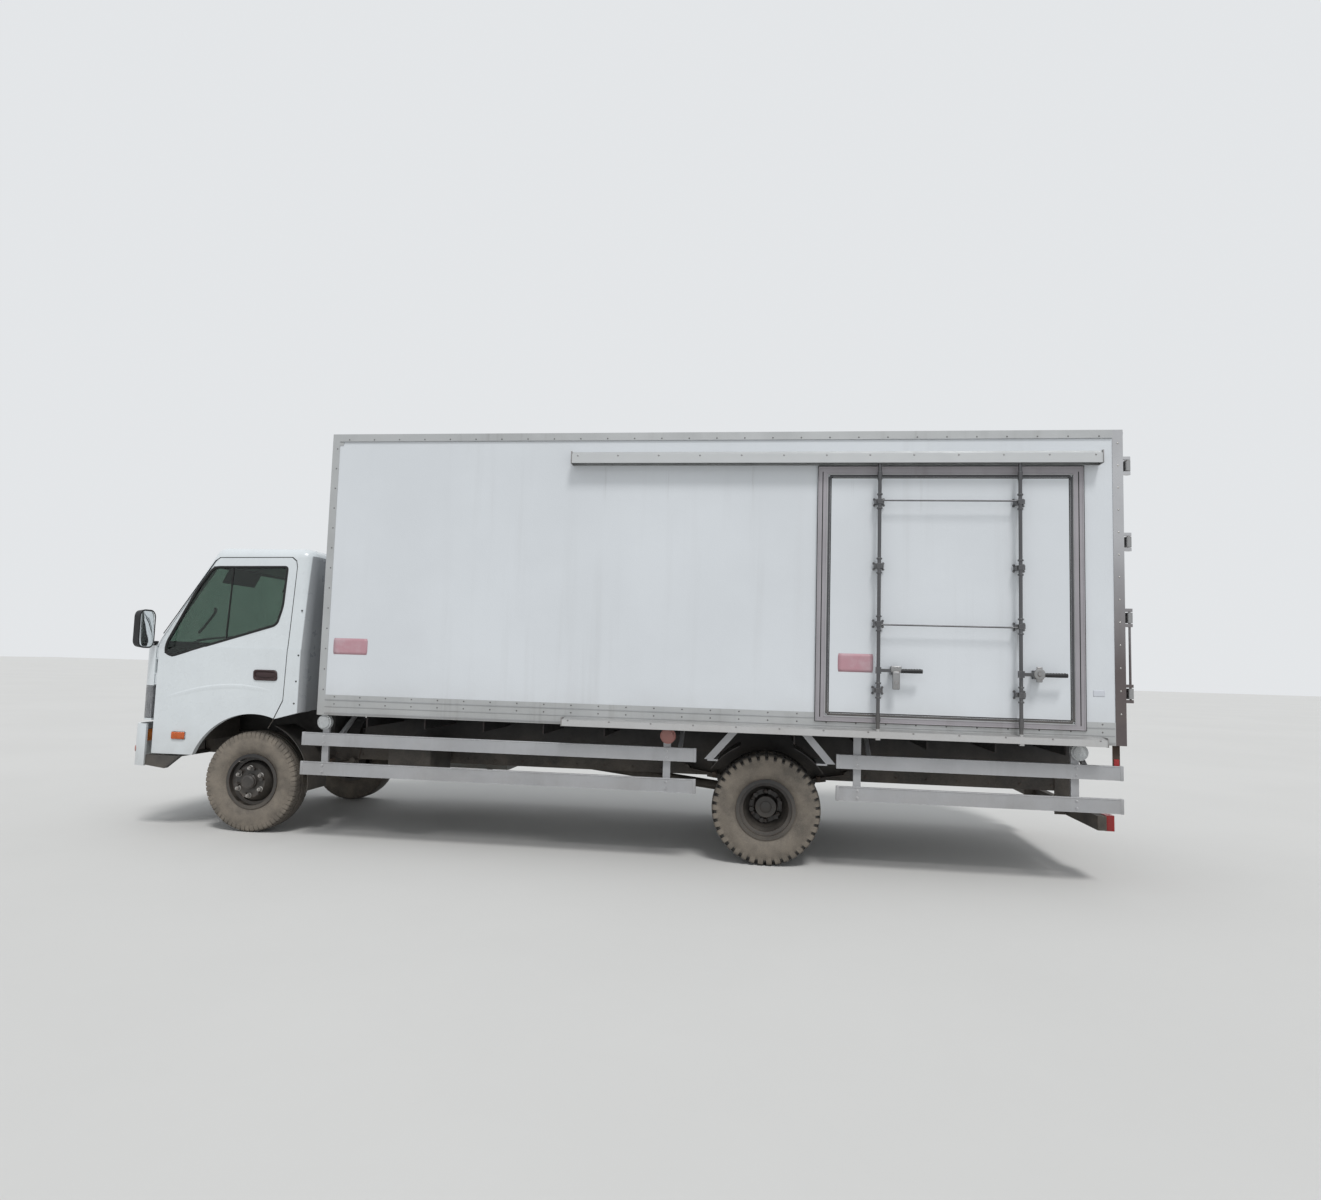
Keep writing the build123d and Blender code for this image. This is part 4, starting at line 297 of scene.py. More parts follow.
def new_group(name, inputs, outputs):
    """A shader node group; inputs are (name, default) and outputs are names."""
    tree = bpy.data.node_groups.new(name, "ShaderNodeTree")
    for label, default in inputs:
        socket = tree.interface.new_socket(label, in_out="INPUT", socket_type="NodeSocketFloat")
        socket.default_value = default
    for label in outputs:
        tree.interface.new_socket(label, in_out="OUTPUT", socket_type="NodeSocketFloat")
    source = add_node(tree, "NodeGroupInput")
    target = add_node(tree, "NodeGroupOutput")
    return tree, source.outputs, target.inputs


def build_road_film():
    """Dried dust that is thick low down and thins out upwards in patches."""
    tree, given, result = new_group(
        "Road film", [("Thick below", 0.4), ("None above", 1.2), ("Amount", 0.7), ("Patch scale", 3.0)], ["Dust"])
    fade = ramp(tree, axes(tree)[2], given["None above"], given["Thick below"])
    cover = plus(tree, times(tree, patches(tree, given["Patch scale"], 6.0, 0.62, 0.32, 0.68), 0.55),
                 times(tree, noise(tree, 95.0, 3.0, 0.6), 0.65))
    feed(tree, times(tree, times(tree, fade, cover), given["Amount"], True), result["Dust"])
    return tree


def build_rain_marks():
    """Faint streaks that water leaves as it runs down."""
    tree, given, result = new_group("Rain marks", [("Scale", 14.0), ("Amount", 0.3)], ["Streaks"])
    streaks = times(tree, patches(tree, given["Scale"], 5.0, 0.6, 0.48, 0.8, (1, 1, 0.045)),
                    patches(tree, 1.7, 3.0, 0.5, 0.38, 0.7, (0.6, 0.6, 0.3)))
    feed(tree, times(tree, streaks, given["Amount"], True), result["Streaks"])
    return tree


def build_worn_and_glinting_edges():
    """Wear where a surface turns a corner, broken up by noise; on the side guards its bright colour is partly a
    painted highlight.
    """
    tree, given, result = new_group("Worn edges", [("Width", 0.006), ("Amount", 0.8)], ["Wear"])
    rounded = add_node(tree, "ShaderNodeBevel", samples=4)
    feed(tree, given["Width"], rounded.inputs["Radius"])
    turn = add_node(tree, "ShaderNodeVectorMath", operation="DOT_PRODUCT")
    feed(tree, rounded.outputs[0], turn.inputs[0])
    feed(tree, add_node(tree, "ShaderNodeNewGeometry").outputs["Normal"], turn.inputs[1])
    edge = ramp(tree, turn.outputs["Value"], 0.995, 0.86)
    breaks = patches(tree, 38.0, 5.0, 0.65, 0.38, 0.62)
    feed(tree, times(tree, times(tree, edge, breaks), given["Amount"], True), result["Wear"])
    return tree


def build_fine_grain():
    """Small even unevenness of a moulded or rolled surface."""
    tree, given, result = new_group("Fine grain", [("Scale", 250.0), ("Long waves", 0.35)], ["Height"])
    waves = times(tree, noise(tree, 2.2, 2.0, 0.4), given["Long waves"])
    feed(tree, plus(tree, noise(tree, given["Scale"], 4.0, 0.6), waves), result["Height"])
    return tree


def build_drawn_lines():
    """Lines along X that rolling or brushing leaves in a metal."""
    tree, given, result = new_group("Drawn lines", [("Fineness", 420.0)], ["Lines"])
    feed(tree, noise(tree, given["Fineness"], 3.0, 0.7, (0.01, 1, 1)), result["Lines"])
    return tree


def build_run_down():
    """A streak of dirt that runs down the wall from a fitting at X, Top."""
    tree, given, result = new_group(
        "Run down", [("X", 0.0), ("Top", 2.0), ("Length", 0.5), ("Half width", 0.02)], ["Run"])
    along, _, height = axes(tree)
    wobble = times(tree, calc(tree, "SUBTRACT", noise(tree, 3.0, 2.0, 0.5, (0.2, 0.2, 1)), 0.5), 0.03)
    away = calc(tree, "ABSOLUTE", plus(tree, calc(tree, "SUBTRACT", along, given["X"]), wobble))
    narrow = ramp(tree, away, given["Half width"], 0.0)
    drop = calc(tree, "DIVIDE", calc(tree, "SUBTRACT", given["Top"], height), given["Length"])
    below = times(tree, ramp(tree, drop, 0.0, 0.03), ramp(tree, drop, 1.0, 0.15))
    lines = patches(tree, 120.0, 3.0, 0.6, 0.36, 0.66, (1, 1, 0.03))
    feed(tree, times(tree, times(tree, narrow, below), lines, True), result["Run"])
    return tree


def build_cloth_weave():
    """Crossing threads of a woven cloth."""
    tree, given, result = new_group("Cloth weave", [("Threads", 900.0)], ["Height", "Shade"])
    along, across, height = axes(tree)
    run = calc(tree, "SINE", times(tree, plus(tree, along, height), given["Threads"]))
    cross = calc(tree, "SINE", times(tree, across, given["Threads"]))
    thread = times(tree, run, cross)
    feed(tree, thread, result["Height"])
    shade = plus(tree, times(tree, thread, 0.25), noise(tree, 60.0, 3.0, 0.6))
    feed(tree, times(tree, shade, 1.0, True), result["Shade"])
    return tree


GROUPS = {}


def build_groups():
    """Make every shared node group once."""
    GROUPS.update(road_film=build_road_film(), rain_marks=build_rain_marks(), worn_edges=build_worn_and_glinting_edges(),
                  fine_grain=build_fine_grain(), drawn_lines=build_drawn_lines(), run_down=build_run_down(),
                  cloth_weave=build_cloth_weave())


def effect(tree, name, output, **values):
    """Place a shared group with its own values and give one output."""
    made = add_node(tree, "ShaderNodeGroup")
    made.node_tree = GROUPS[name]
    for key, value in values.items():
        feed(tree, value, made.inputs[key.replace("_", " ").capitalize() if key != "x" else "X"])
    return made.outputs[output]


def new_material(name):
    """A node material with a Principled BSDF; gives material, tree and shader."""
    made = bpy.data.materials.new(name)
    made.use_nodes = True
    tree = made.node_tree
    tree.nodes.clear()
    shader = add_node(tree, "ShaderNodeBsdfPrincipled")
    out = add_node(tree, "ShaderNodeOutputMaterial")
    tree.links.new(shader.outputs[0], out.inputs["Surface"])
    return made, tree, shader


def bump(tree, shader, height, distance, strength=1.0):
    """Feed height through a Bump node to the shader's normal."""
    made = add_node(tree, "ShaderNodeBump")
    made.inputs["Strength"].default_value = strength
    made.inputs["Distance"].default_value = distance
    feed(tree, height, made.inputs["Height"])
    feed(tree, made.outputs[0], shader.inputs["Normal"])


def lay(tree, shader, colour, roughness):
    """Feed a shader's base colour and roughness."""
    feed(tree, colour, shader.inputs["Base Color"])
    feed(tree, roughness, shader.inputs["Roughness"])


def finish_coat(name, colour, roughness, metallic=0.0, coat=0.0, film=(0.35, 1.1, 0.5), streaks=0.0,
                wear=0.0, wear_colour=None, grain=(250.0, 0.00015), lines=0.0, shade=0.06, other=()):
    """A painted, plated or moulded surface with grain, dust, streaks and worn edges; on the side guards the bright
    edge colour is partly a painted highlight.

    film holds the heights below which dust lies thick and above which there is none, and its amount.
    grain holds the grain's fineness and depth. other holds (axis, from, to, colour): colours that take
    over along an axis.
    """
    colours = bpy.context.scene.truck_colours
    made, tree, shader = new_material(name)
    base = blend_colour(tree, patches(tree, 2.6, 4.0, 0.55, 0.3, 0.7), dimmed(colour, 1 - 2 * shade), tuple(colour))
    for axis, start, end, second in other:
        base = blend_colour(tree, ramp(tree, axes(tree)[axis], start, end, False), base, second)
    rough = blend_value(tree, patches(tree, 9.0, 5.0, 0.6, 0.3, 0.7), roughness, min(1.0, roughness * 1.35))
    if streaks:
        marks = effect(tree, "rain_marks", "Streaks", scale=13.0, amount=streaks)
        base = blend_colour(tree, marks, base, dimmed(colours.dust, 0.55))
        rough = blend_value(tree, marks, rough, 0.75)
    if wear:
        worn = effect(tree, "worn_edges", "Wear", width=0.006, amount=wear)
        base = blend_colour(tree, worn, base, tuple(wear_colour or colours.rust))
        rough = blend_value(tree, worn, rough, 0.7)
    low, high, amount = film
    dust = effect(tree, "road_film", "Dust", thick_below=low, none_above=high, amount=amount, patch_scale=3.2)
    lay(tree, shader, blend_colour(tree, dust, base, tuple(colours.dust)), blend_value(tree, dust, rough, 0.92))
    if metallic:
        feed(tree, blend_value(tree, dust, metallic, 0.0), shader.inputs["Metallic"])
    if coat:
        feed(tree, blend_value(tree, dust, coat, 0.0), shader.inputs["Coat Weight"])
        shader.inputs["Coat Roughness"].default_value = 0.06
    fineness, depth = grain
    height = effect(tree, "fine_grain", "Height", scale=fineness, long_waves=0.6)
    if lines:
        height = plus(tree, height, times(tree, effect(tree, "drawn_lines", "Lines", fineness=420.0), lines))
    bump(tree, shader, height, depth)
    return made


# Finishes of the truck's own materials

FINISH = {}


def box_panel_finish(colours):
    """White gel coat with runs of dirt under the lock gear and along the rails."""
    made, tree, shader = new_material("box_gel_coat")
    base = blend_colour(tree, patches(tree, 0.9, 4.0, 0.5, 0.3, 0.7), dimmed(colours.box_panel, 0.94),
                        tuple(colours.box_panel))
    marks = None
    for x, top, length, half_width, amount in dirt_runs():
        run = times(tree, effect(tree, "run_down", "Run", x=x, top=top, length=length, half_width=half_width), amount)
        marks = calc(tree, "MAXIMUM", marks, run) if marks else run
    marks = calc(tree, "MAXIMUM", marks, effect(tree, "rain_marks", "Streaks", scale=9.0, amount=0.1))
    base = blend_colour(tree, marks, base, dimmed(colours.dust, 0.62))
    film = effect(tree, "road_film", "Dust", thick_below=0.95, none_above=1.35, amount=0.28, patch_scale=4.0)
    rough = blend_value(tree, patches(tree, 5.0, 5.0, 0.6, 0.3, 0.7), 0.34, 0.46)
    lay(tree, shader, blend_colour(tree, film, base, tuple(colours.dust)),
        blend_value(tree, calc(tree, "MAXIMUM", marks, film), rough, 0.8))
    bump(tree, shader, effect(tree, "fine_grain", "Height", scale=140.0, long_waves=3.0), 0.0006)
    return made


def tyre_finish(colours, name, axle_x, dusty, bare_tread=0.55, bare=(0.384, 0.404)):
    """Black rubber under grey brown dust, barer where the tread meets the road."""
    made, tree, shader = new_material(name)
    along, _, height = axes(tree)
    away = calc(tree, "SQRT", plus(tree, calc(tree, "POWER", calc(tree, "SUBTRACT", along, axle_x), 2.0),
                                   calc(tree, "POWER", calc(tree, "SUBTRACT", height, AXLE_Z), 2.0)))
    cover = plus(tree, times(tree, patches(tree, 7.0, 6.0, 0.6, 0.25, 0.72), 0.45),
                 times(tree, noise(tree, 160.0, 3.0, 0.7), 0.75))
    dust = times(tree, cover, blend_value(tree, ramp(tree, away, *bare), dusty, dusty * bare_tread), True)
    lay(tree, shader,
        blend_colour(tree, dust, tuple(colours.rubber), tuple(min(1.0, c * 1.3) for c in colours.dust)),
        blend_value(tree, dust, 0.62, 0.95))
    rings = times(tree, calc(tree, "SINE", times(tree, away, 900.0)), 0.12)
    bump(tree, shader, plus(tree, effect(tree, "fine_grain", "Height", scale=380.0, long_waves=0.2), rings), 0.0005)
    return made


def glass_finish(name, tint):
    """Tinted window glass with a little dust on it."""
    made, tree, shader = new_material(name)
    smear = patches(tree, 6.0, 5.0, 0.6, 0.42, 0.8, (1, 1, 0.6))
    lay(tree, shader, blend_colour(tree, times(tree, smear, 0.1), tuple(tint), (0.6, 0.58, 0.54, 1)),
        blend_value(tree, smear, 0.015, 0.065))
    shader.inputs["Transmission Weight"].default_value = 1.0
    shader.inputs["IOR"].default_value = 1.45
    return made


def lens_finish(name, tint, clear, other=()):
    """Ribbed plastic lens of a lamp; other holds colours that take over along an axis."""
    made, tree, shader = new_material(name)
    place = axes(tree)
    spots = patches(tree, 24.0, 4.0, 0.6, 0.45, 0.75)
    base = blend_colour(tree, spots, tuple(tint), dimmed(tint, 0.6))
    for axis, start, end, second in other:
        base = blend_colour(tree, ramp(tree, place[axis], start, end), base, second)
    lay(tree, shader, base, blend_value(tree, spots, 0.12, 0.3))
    shader.inputs["Transmission Weight"].default_value = clear
    shader.inputs["IOR"].default_value = 1.5
    flutes = calc(tree, "SINE", times(tree, plus(tree, place[0], place[1]), 900.0))
    bump(tree, shader, flutes, 0.0012, 0.6)
    return made


def cloth_finish(colours):
    """Woven seat cloth with a worn, slightly darker seat."""
    made, tree, shader = new_material("seat_cloth")
    base = blend_colour(tree, effect(tree, "cloth_weave", "Shade", threads=1500.0), dimmed(colours.fabric, 0.45),
                        tuple(colours.fabric))
    worn = patches(tree, 5.0, 4.0, 0.6, 0.45, 0.75)
    lay(tree, shader, blend_colour(tree, times(tree, worn, 0.3), base, tuple(colours.dust)),
        blend_value(tree, worn, 0.86, 0.95))
    shader.inputs["Sheen Weight"].default_value = 0.35
    shader.inputs["Sheen Roughness"].default_value = 0.5
    bump(tree, shader, effect(tree, "cloth_weave", "Height", threads=1500.0), 0.0006)
    return made


def label_finish(colours):
    """Blank sticker whose red has faded in patches."""
    made, tree, shader = new_material("faded_label")
    faded = patches(tree, 9.0, 5.0, 0.6, 0.35, 0.68)
    lay(tree, shader, blend_colour(tree, faded, tuple(colours.label), (0.52, 0.37, 0.4, 1)),
        blend_value(tree, faded, 0.45, 0.6))
    bump(tree, shader, effect(tree, "fine_grain", "Height", scale=200.0, long_waves=0.5), 0.0004)
    return made


def mirror_finish():
    """Silvered glass with faint dust."""
    made, tree, shader = new_material("mirror_glass")
    smear = patches(tree, 20.0, 4.0, 0.6, 0.5, 0.85)
    lay(tree, shader, blend_colour(tree, times(tree, smear, 0.3), (0.82, 0.85, 0.86, 1), (0.4, 0.38, 0.34, 1)),
        blend_value(tree, smear, 0.02, 0.2))
    shader.inputs["Metallic"].default_value = 1.0
    return made


def grey(level):
    """A grey."""
    return (level, level, level, 1)


# Films of dust (thick below, none above, amount) and grains (fineness, depth) that several finishes share.
LOW_FILM, BOX_FILM, INNER_FILM = (0.3, 1.05, 0.75), (0.8, 1.2, 0.5), (0.9, 2.0, 0.15)
PAINT_GRAIN, STEEL_GRAIN = (90.0, 0.00015), (300.0, 0.00015)
# finish: material's name, colour or the name of its setting, roughness, and finish_coat's other values
COATS = {
    "cab_paint": ("cab_paint", "cab_paint", 0.24, dict(
        coat=0.6, film=(0.45, 0.95, 0.4), streaks=0.1, grain=PAINT_GRAIN, shade=0.025)),
    # cab_shell: the grey (0.27, 0.28, 0.29) behind x = XF - 0.404 is painted shade on the white back of the cab.
    "cab_shell": ("cab_shell_paint", "cab_paint", 0.26, dict(
        coat=0.6, film=(0.5, 1.1, 0.4), streaks=0.15, grain=PAINT_GRAIN, shade=0.025,
        other=((0, XF - 0.398, XF - 0.404, (0.27, 0.28, 0.29, 1)),))),
    "bumper": ("bumper_paint", "cab_paint", 0.3, dict(
        coat=0.4, film=(0.45, 0.8, 0.45), streaks=0.1, grain=PAINT_GRAIN, shade=0.025,
        other=((0, XF + 0.906, XF + 0.902, (0.016, 0.016, 0.017, 1)),))),
    "rivet": ("rivet_steel", grey(0.2), 0.45, dict(metallic=0.7, film=BOX_FILM, wear=0.3)),
    "faint": ("faint_patch", (0.6, 0.62, 0.66, 1), 0.5, dict(shade=0.03, streaks=0.1)),
    "leaf_edge": ("leaf_edge_white", (0.8, 0.82, 0.84, 1), 0.35, dict(streaks=0.15, shade=0.03)),
    "door_frame": ("door_frame_alloy", (0.38, 0.36, 0.38, 1), 0.42, dict(
        metallic=0.4, film=BOX_FILM, streaks=0.3, wear=0.35, wear_colour=(0.55, 0.55, 0.56, 1), lines=0.8)),
    "trim": ("satin_aluminium", "aluminium", 0.42, dict(
        metallic=0.75, film=BOX_FILM, streaks=0.3, wear=0.25, wear_colour=grey(0.66), lines=0.8)),
    "lower_trim": ("dull_aluminium", (0.4, 0.41, 0.42, 1), 0.5, dict(
        metallic=0.6, film=(0.85, 1.25, 0.5), streaks=0.35, wear=0.3, wear_colour=grey(0.62), lines=0.8)),
    # guard_aluminium: the near-white worn-edge colour, strongest on the thin lips along the rails' tops, is partly
    # edge wear and partly a painted highlight of sunlight on the top edges.
    "guard": ("guard_aluminium", (0.45, 0.455, 0.47, 1), 0.44, dict(
        metallic=0.5, film=(0.45, 1.2, 0.25), streaks=0.15, wear=0.9, wear_colour=grey(0.8), lines=0.6)),
    # brushed_stainless: the dark colour below 2.5 m is a painted reflection of the dark surroundings; the dust film
    # reaching 2.3 m is partly real dust and partly that painted reflection.
    "stainless": ("brushed_stainless", "stainless", 0.26, dict(
        metallic=0.9, film=(0.9, 2.3, 0.3), streaks=0.4, lines=0.6, grain=(300.0, 0.00008),
        other=((2, 2.5, 1.5, (0.13, 0.11, 0.115, 1)),))),
    "gear": ("zinc_gear", grey(0.36), 0.38, dict(metallic=0.9, film=(0.7, 1.4, 0.4), wear=0.7, grain=STEEL_GRAIN)),
    "lock_steel": ("lock_bar_steel", (0.13, 0.13, 0.135, 1), 0.3, dict(
        metallic=0.85, film=(0.9, 1.5, 0.3), wear=0.5, wear_colour=grey(0.42), grain=STEEL_GRAIN,
        other=((2, 2.986, 2.99, (0.6, 0.61, 0.61, 1)), (2, 1.052, 1.046, grey(0.6))))),
    "rusty": ("rusted_steel", (0.14, 0.1, 0.08, 1), 0.8, dict(
        metallic=0.4, film=LOW_FILM, wear=0.9, grain=(120.0, 0.0008), shade=0.3)),
    "chassis": ("chassis_black", (0.02, 0.02, 0.022, 1), 0.5, dict(
        film=LOW_FILM, wear=0.45, streaks=0.1, grain=(120.0, 0.0004), shade=0.15)),
    "engine": ("cast_iron", grey(0.1), 0.7, dict(
        metallic=0.3, film=LOW_FILM, wear=0.3, grain=(90.0, 0.001), shade=0.2)),
    "tank": ("tank_grey", (0.3, 0.31, 0.31, 1), 0.42, dict(film=LOW_FILM, wear=0.4, streaks=0.15)),
    "exhaust": ("exhaust_steel", (0.2, 0.16, 0.13, 1), 0.65, dict(
        metallic=0.6, film=LOW_FILM, wear=0.8, grain=(150.0, 0.0006), shade=0.25)),
    "black_plastic": ("black_plastic", (0.012, 0.012, 0.013, 1), 0.45, dict(
        film=(0.45, 1.15, 0.4), grain=(900.0, 0.00025))),
    "seal": ("black_rubber_seal", grey(0.01), 0.65, dict(film=(0.7, 1.4, 0.4), grain=(500.0, 0.0002))),
    "grey_seal": ("grey_door_seal", (0.075, 0.075, 0.08, 1), 0.6, dict(
        film=(0.9, 1.5, 0.5), streaks=0.2, grain=(500.0, 0.0003))),
    "rim": ("rim_black", (0.012, 0.012, 0.013, 1), 0.34, dict(
        coat=0.2, film=(0.15, 0.75, 0.45), wear=0.35, grain=(200.0, 0.0002))),
    "nut": ("nut_steel", (0.5, 0.49, 0.47, 1), 0.32, dict(
        metallic=0.95, film=(0.2, 0.8, 0.35), wear=0.5, grain=(300.0, 0.0002))),
    "handle": ("handle_maroon", (0.03, 0.01, 0.012, 1), 0.35, dict(film=(0.8, 1.6, 0.15), grain=(900.0, 0.0002))),
    "dash": ("dash_plastic", (0.045, 0.046, 0.05, 1), 0.62, dict(film=INNER_FILM, grain=(1400.0, 0.0006))),
    "interior": ("door_trim_grey", (0.17, 0.17, 0.175, 1), 0.7, dict(film=INNER_FILM, grain=(1100.0, 0.0005))),
    "deck": ("load_deck", (0.34, 0.35, 0.35, 1), 0.5, dict(
        metallic=0.6, film=(1.0, 1.3, 0.35), wear=0.3, wear_colour=grey(0.6), lines=0.6)),
    "cab_deck": ("cab_mat", (0.03, 0.03, 0.032, 1), 0.8, dict(film=(0.7, 1.4, 0.45), grain=(700.0, 0.0008))),
    "reflector": ("lamp_reflector", grey(0.78), 0.12, dict(metallic=1.0, film=(0.3, 0.9, 0.1))),
}


# finish: material's name, tint, transmission and the colours along an axis
LENSES = {
    "lamp_cover": ("lamp_cover", (0.42, 0.43, 0.45, 1), 0.75, ()),
    "clear_lens": ("clear_lens", (0.86, 0.87, 0.86, 1), 0.82, ()),
    "marker_lens": ("marker_lens", (0.8, 0.82, 0.82, 1), 0.45, (
        (0, XF, XF + 0.02, (0.03, 0.03, 0.03, 1)),
        (0, BUMPER_FACE - 0.054, BUMPER_FACE - 0.05, (0.8, 0.26, 0.04, 1)),
        (0, XR + 0.92, XR + 0.9, (0.62, 0.28, 0.24, 1)), (0, XR + 0.6, XR + 0.58, (0.8, 0.82, 0.82, 1)),
        (0, XR - 2.27, XR - 2.29, (0.5, 0.02, 0.02, 1)))),
    "amber_lens": ("amber_lens", (0.85, 0.16, 0.02, 1), 0.35, ()),
    "red_lens": ("red_lens", (0.55, 0.02, 0.02, 1), 0.35, ()),
    "pink_lens": ("faded_red_lens", (0.62, 0.28, 0.24, 1), 0.3, ()),
}


def build_finishes():
    """Make every finish from the scene's colours."""
    colours = bpy.context.scene.truck_colours
    for key, (name, colour, roughness, rest) in COATS.items():
        tone = getattr(colours, colour) if isinstance(colour, str) else colour
        FINISH[key] = finish_coat(name, tone, roughness, **rest)
    for key, values in LENSES.items():
        FINISH[key] = lens_finish(*values)
    FINISH.update(
        box_panel=box_panel_finish(colours),
        front_rubber=tyre_finish(colours, "front_tyre_rubber", XF, 0.85),
        rear_rubber=tyre_finish(colours, "rear_tyre_rubber", XR, 0.75, 0.12, (0.36, 0.372)),
        lug_rubber=tyre_finish(colours, "lug_rubber", XR, 0.8),
        glass=glass_finish("green_glass", colours.glass),
        cloth=cloth_finish(colours), label=label_finish(colours), mirror=mirror_finish())


def both(name):
    """A node's name with its left and its right ending."""
    return [f"{name}_{side}" for side, _ in SIDES]


NODE_FINISH = {
    "cab_paint": ["cab_roof", "front_panel", *both("cab_door")],
    "cab_shell": ["cab_frame"],
    "bumper": ["bumper"],
    "box_panel": ["box_left_wall", "box_right_wall", "box_front_wall", "box_roof", "side_door_leaf", "evaporator",
                  *both("rear_door")],
    "trim": ["edge_trims"],
    "guard": both("side_guard"),
    "stainless": ["rear_frame"],
    "lock_steel": ["side_door_gear"],
    "gear": both("rear_door_gear"),
    "chassis": ["ladder_frame", "box_bearers", "front_axle_beam", "rear_axle", "leaf_springs", "drive_line",
                "battery_box", *both("knuckle")],
    "engine": ["engine_block"],
    "tank": ["fuel_tank"],
    "exhaust": ["exhaust"],
    "black_plastic": ["grille", "mirrors", "mudguards", *both("door_fittings")],
    "rim": both("wheel_front") + both("wheels_rear"),
    "front_rubber": both("tyre_front"),
    "rear_rubber": both("tyres_rear"),
    "glass": ["cab_windows", *both("door_window")],
    "lamp_cover": ["head_lamps"],
    "marker_lens": ["chassis_lamps"],
    "dash": ["dashboard", "steering_wheel"],
    "deck": ["box_floor"],
    "cab_deck": ["cab_floor"],
    "cloth": ["seats"],
}


# Mesh helpers


def turns(count, start=0.0):
    """Angles that share out a full turn evenly."""
    return [2 * math.pi * (k + start) / count for k in range(count)]


def spread(start, run, parts):
    """Values from start to start + run in even parts."""
    return [start + run * k / parts for k in range(parts + 1)]


def join_rings(mesh, rings, ends=(), closed=False):
    """Faces between neighbouring rings; ends names the rings, 0 and -1, that a face closes."""
    for first, second in list(zip(rings, rings[1:])) + ([(rings[-1], rings[0])] if closed else []):
        for k in range(len(first)):
            j = (k + 1) % len(first)
            mesh.faces.new([first[k], first[j], second[j], second[k]])
    for end in ends:
        mesh.faces.new(rings[end][::-1] if end == 0 else rings[end])


def sweep_box(mesh, low, high, edge=0.0, segments=2):
    """Add a box between two corners, with rounded edges."""
    low, high = Vector(map(min, low, high)), Vector(map(max, low, high))
    made = bmesh.ops.create_cube(mesh, size=1.0)["verts"]
    size, centre = high - low, (high + low) / 2
    for vertex in made:
        vertex.co = Vector(vertex.co[i] * size[i] for i in range(3)) + centre
    if edge:
        edges = list({e for v in made for e in v.link_edges})
        bmesh.ops.bevel(mesh, geom=edges, offset=min(edge, 0.45 * min(size)), segments=segments,
                        affect="EDGES", profile=0.5)


def axis_frame(direction):
    """Two unit vectors square to direction."""
    along = Vector(direction).normalized()
    side = along.orthogonal().normalized()
    return along, side, along.cross(side)


def lathe(mesh, centre, direction, profile, sides=24, start=None):
    """Add a turned form: profile rows are (distance along, radius)."""
    along, across, over = axis_frame(direction)
    if start is not None:
        across = Vector(start).normalized()
        over = along.cross(across)
    centre = Vector(centre)
    rings = []
    for reach, radius in profile:
        foot = centre + along * reach
        rings.append([mesh.verts.new(foot + across * math.cos(a) * radius + over * math.sin(a) * radius)
                      for a in turns(sides)] if radius > 1e-6 else [mesh.verts.new(foot)])
    for first, second in zip(rings, rings[1:]):
        for i in range(sides):
            j = (i + 1) % sides
            corners = dict.fromkeys([first[i % len(first)], first[j % len(first)], second[j % len(second)],
                                     second[i % len(second)]])
            if len(corners) > 2:
                mesh.faces.new(list(corners))


def tube(mesh, points, radius, sides=10, closed=False):
    """Add a round tube through points, with its ends closed."""
    points = [Vector(p) for p in points]
    last = len(points) - 1
    rings = []
    reference = None
    for i, point in enumerate(points):
        before = points[i - 1] if i or closed else point
        after = points[(i + 1) % len(points)] if i < last or closed else point
        run = (after - before).normalized()
        if reference is None or abs(reference.dot(run)) > 0.98:
            reference = run.orthogonal().normalized()
        reference = (reference - run * reference.dot(run)).normalized()
        over = run.cross(reference)
        rings.append([mesh.verts.new(point + (reference * math.cos(a) + over * math.sin(a)) * radius)
                      for a in turns(sides)])
    join_rings(mesh, rings, () if closed else (0, -1), closed)


def strip(mesh, section, path, closed=False):
    """Sweep a closed section along path: each path row is (point, u, v) axes."""
    rings = [[mesh.verts.new(Vector(point) + Vector(u) * a + Vector(v) * b) for a, b in section]
             for point, u, v in path]
    join_rings(mesh, rings, () if closed else (0, -1), closed)


def border(mesh, corners, near, far, low, high, edge, segments=2):
    """Four bars round an upright rectangle, from near to far inside it and from low to high across Y."""
    x0, x1, z0, z1 = corners
    for xa, xb, za, zb in ((x0 + near, x0 + far, z0 + near, z1 - near), (x1 - far, x1 - near, z0 + near, z1 - near),
                           (x0 + far, x1 - far, z0 + near, z0 + far), (x0 + far, x1 - far, z1 - far, z1 - near)):
        sweep_box(mesh, (xa, low, za), (xb, high, zb), edge, segments)


def corner_loop(corners, radius, place, parts=4, step=22.5):
    """Arc centres and outward directions round a rectangle's corners, from its far upper corner on."""
    middle_across = (corners[0][0] + corners[1][0]) / 2
    middle_up = (corners[1][1] + corners[2][1]) / 2
    for k, (across, up) in enumerate(corners):
        centre = (across - radius if across > middle_across else across + radius,
                  up - radius if up > middle_up else up + radius)
        for degrees in spread(90 * k, parts * step, parts):
            yield centre, place(math.cos(math.radians(degrees)), math.sin(math.radians(degrees)))


def rivet(mesh, place, way, radius):
    """Add one domed rivet head."""
    lathe(mesh, Vector(place) - Vector(way) * 0.001, way,
          [(0.0, radius), (0.0015, radius), (0.001 + radius * 0.55 * 0.7, radius * 0.72),
           (0.001 + radius * 0.55, 0.0)], 8)


def hex_bolt(mesh, place, way, across, rise):
    """Add a hexagon head on a washer, chamfered on top."""
    half = across * 0.5
    lathe(mesh, place, way, [(-0.001, half), (-0.001, half * 1.45), (0.002, half * 1.45), (0.002, half)], 14)
    lathe(mesh, place, way, [(0.0, half), (rise * 0.8, half), (rise, across * 0.4), (rise, 0.0)], 6)


def mesh_data(mesh, name):
    """Turn a bmesh into mesh data and free it."""
    data = bpy.data.meshes.new(name)
    mesh.to_mesh(data)
    mesh.free()
    return data


def linked(name, data):
    """A new object in the scene."""
    made = bpy.data.objects.new(name, data)
    bpy.context.scene.collection.objects.link(made)
    return made


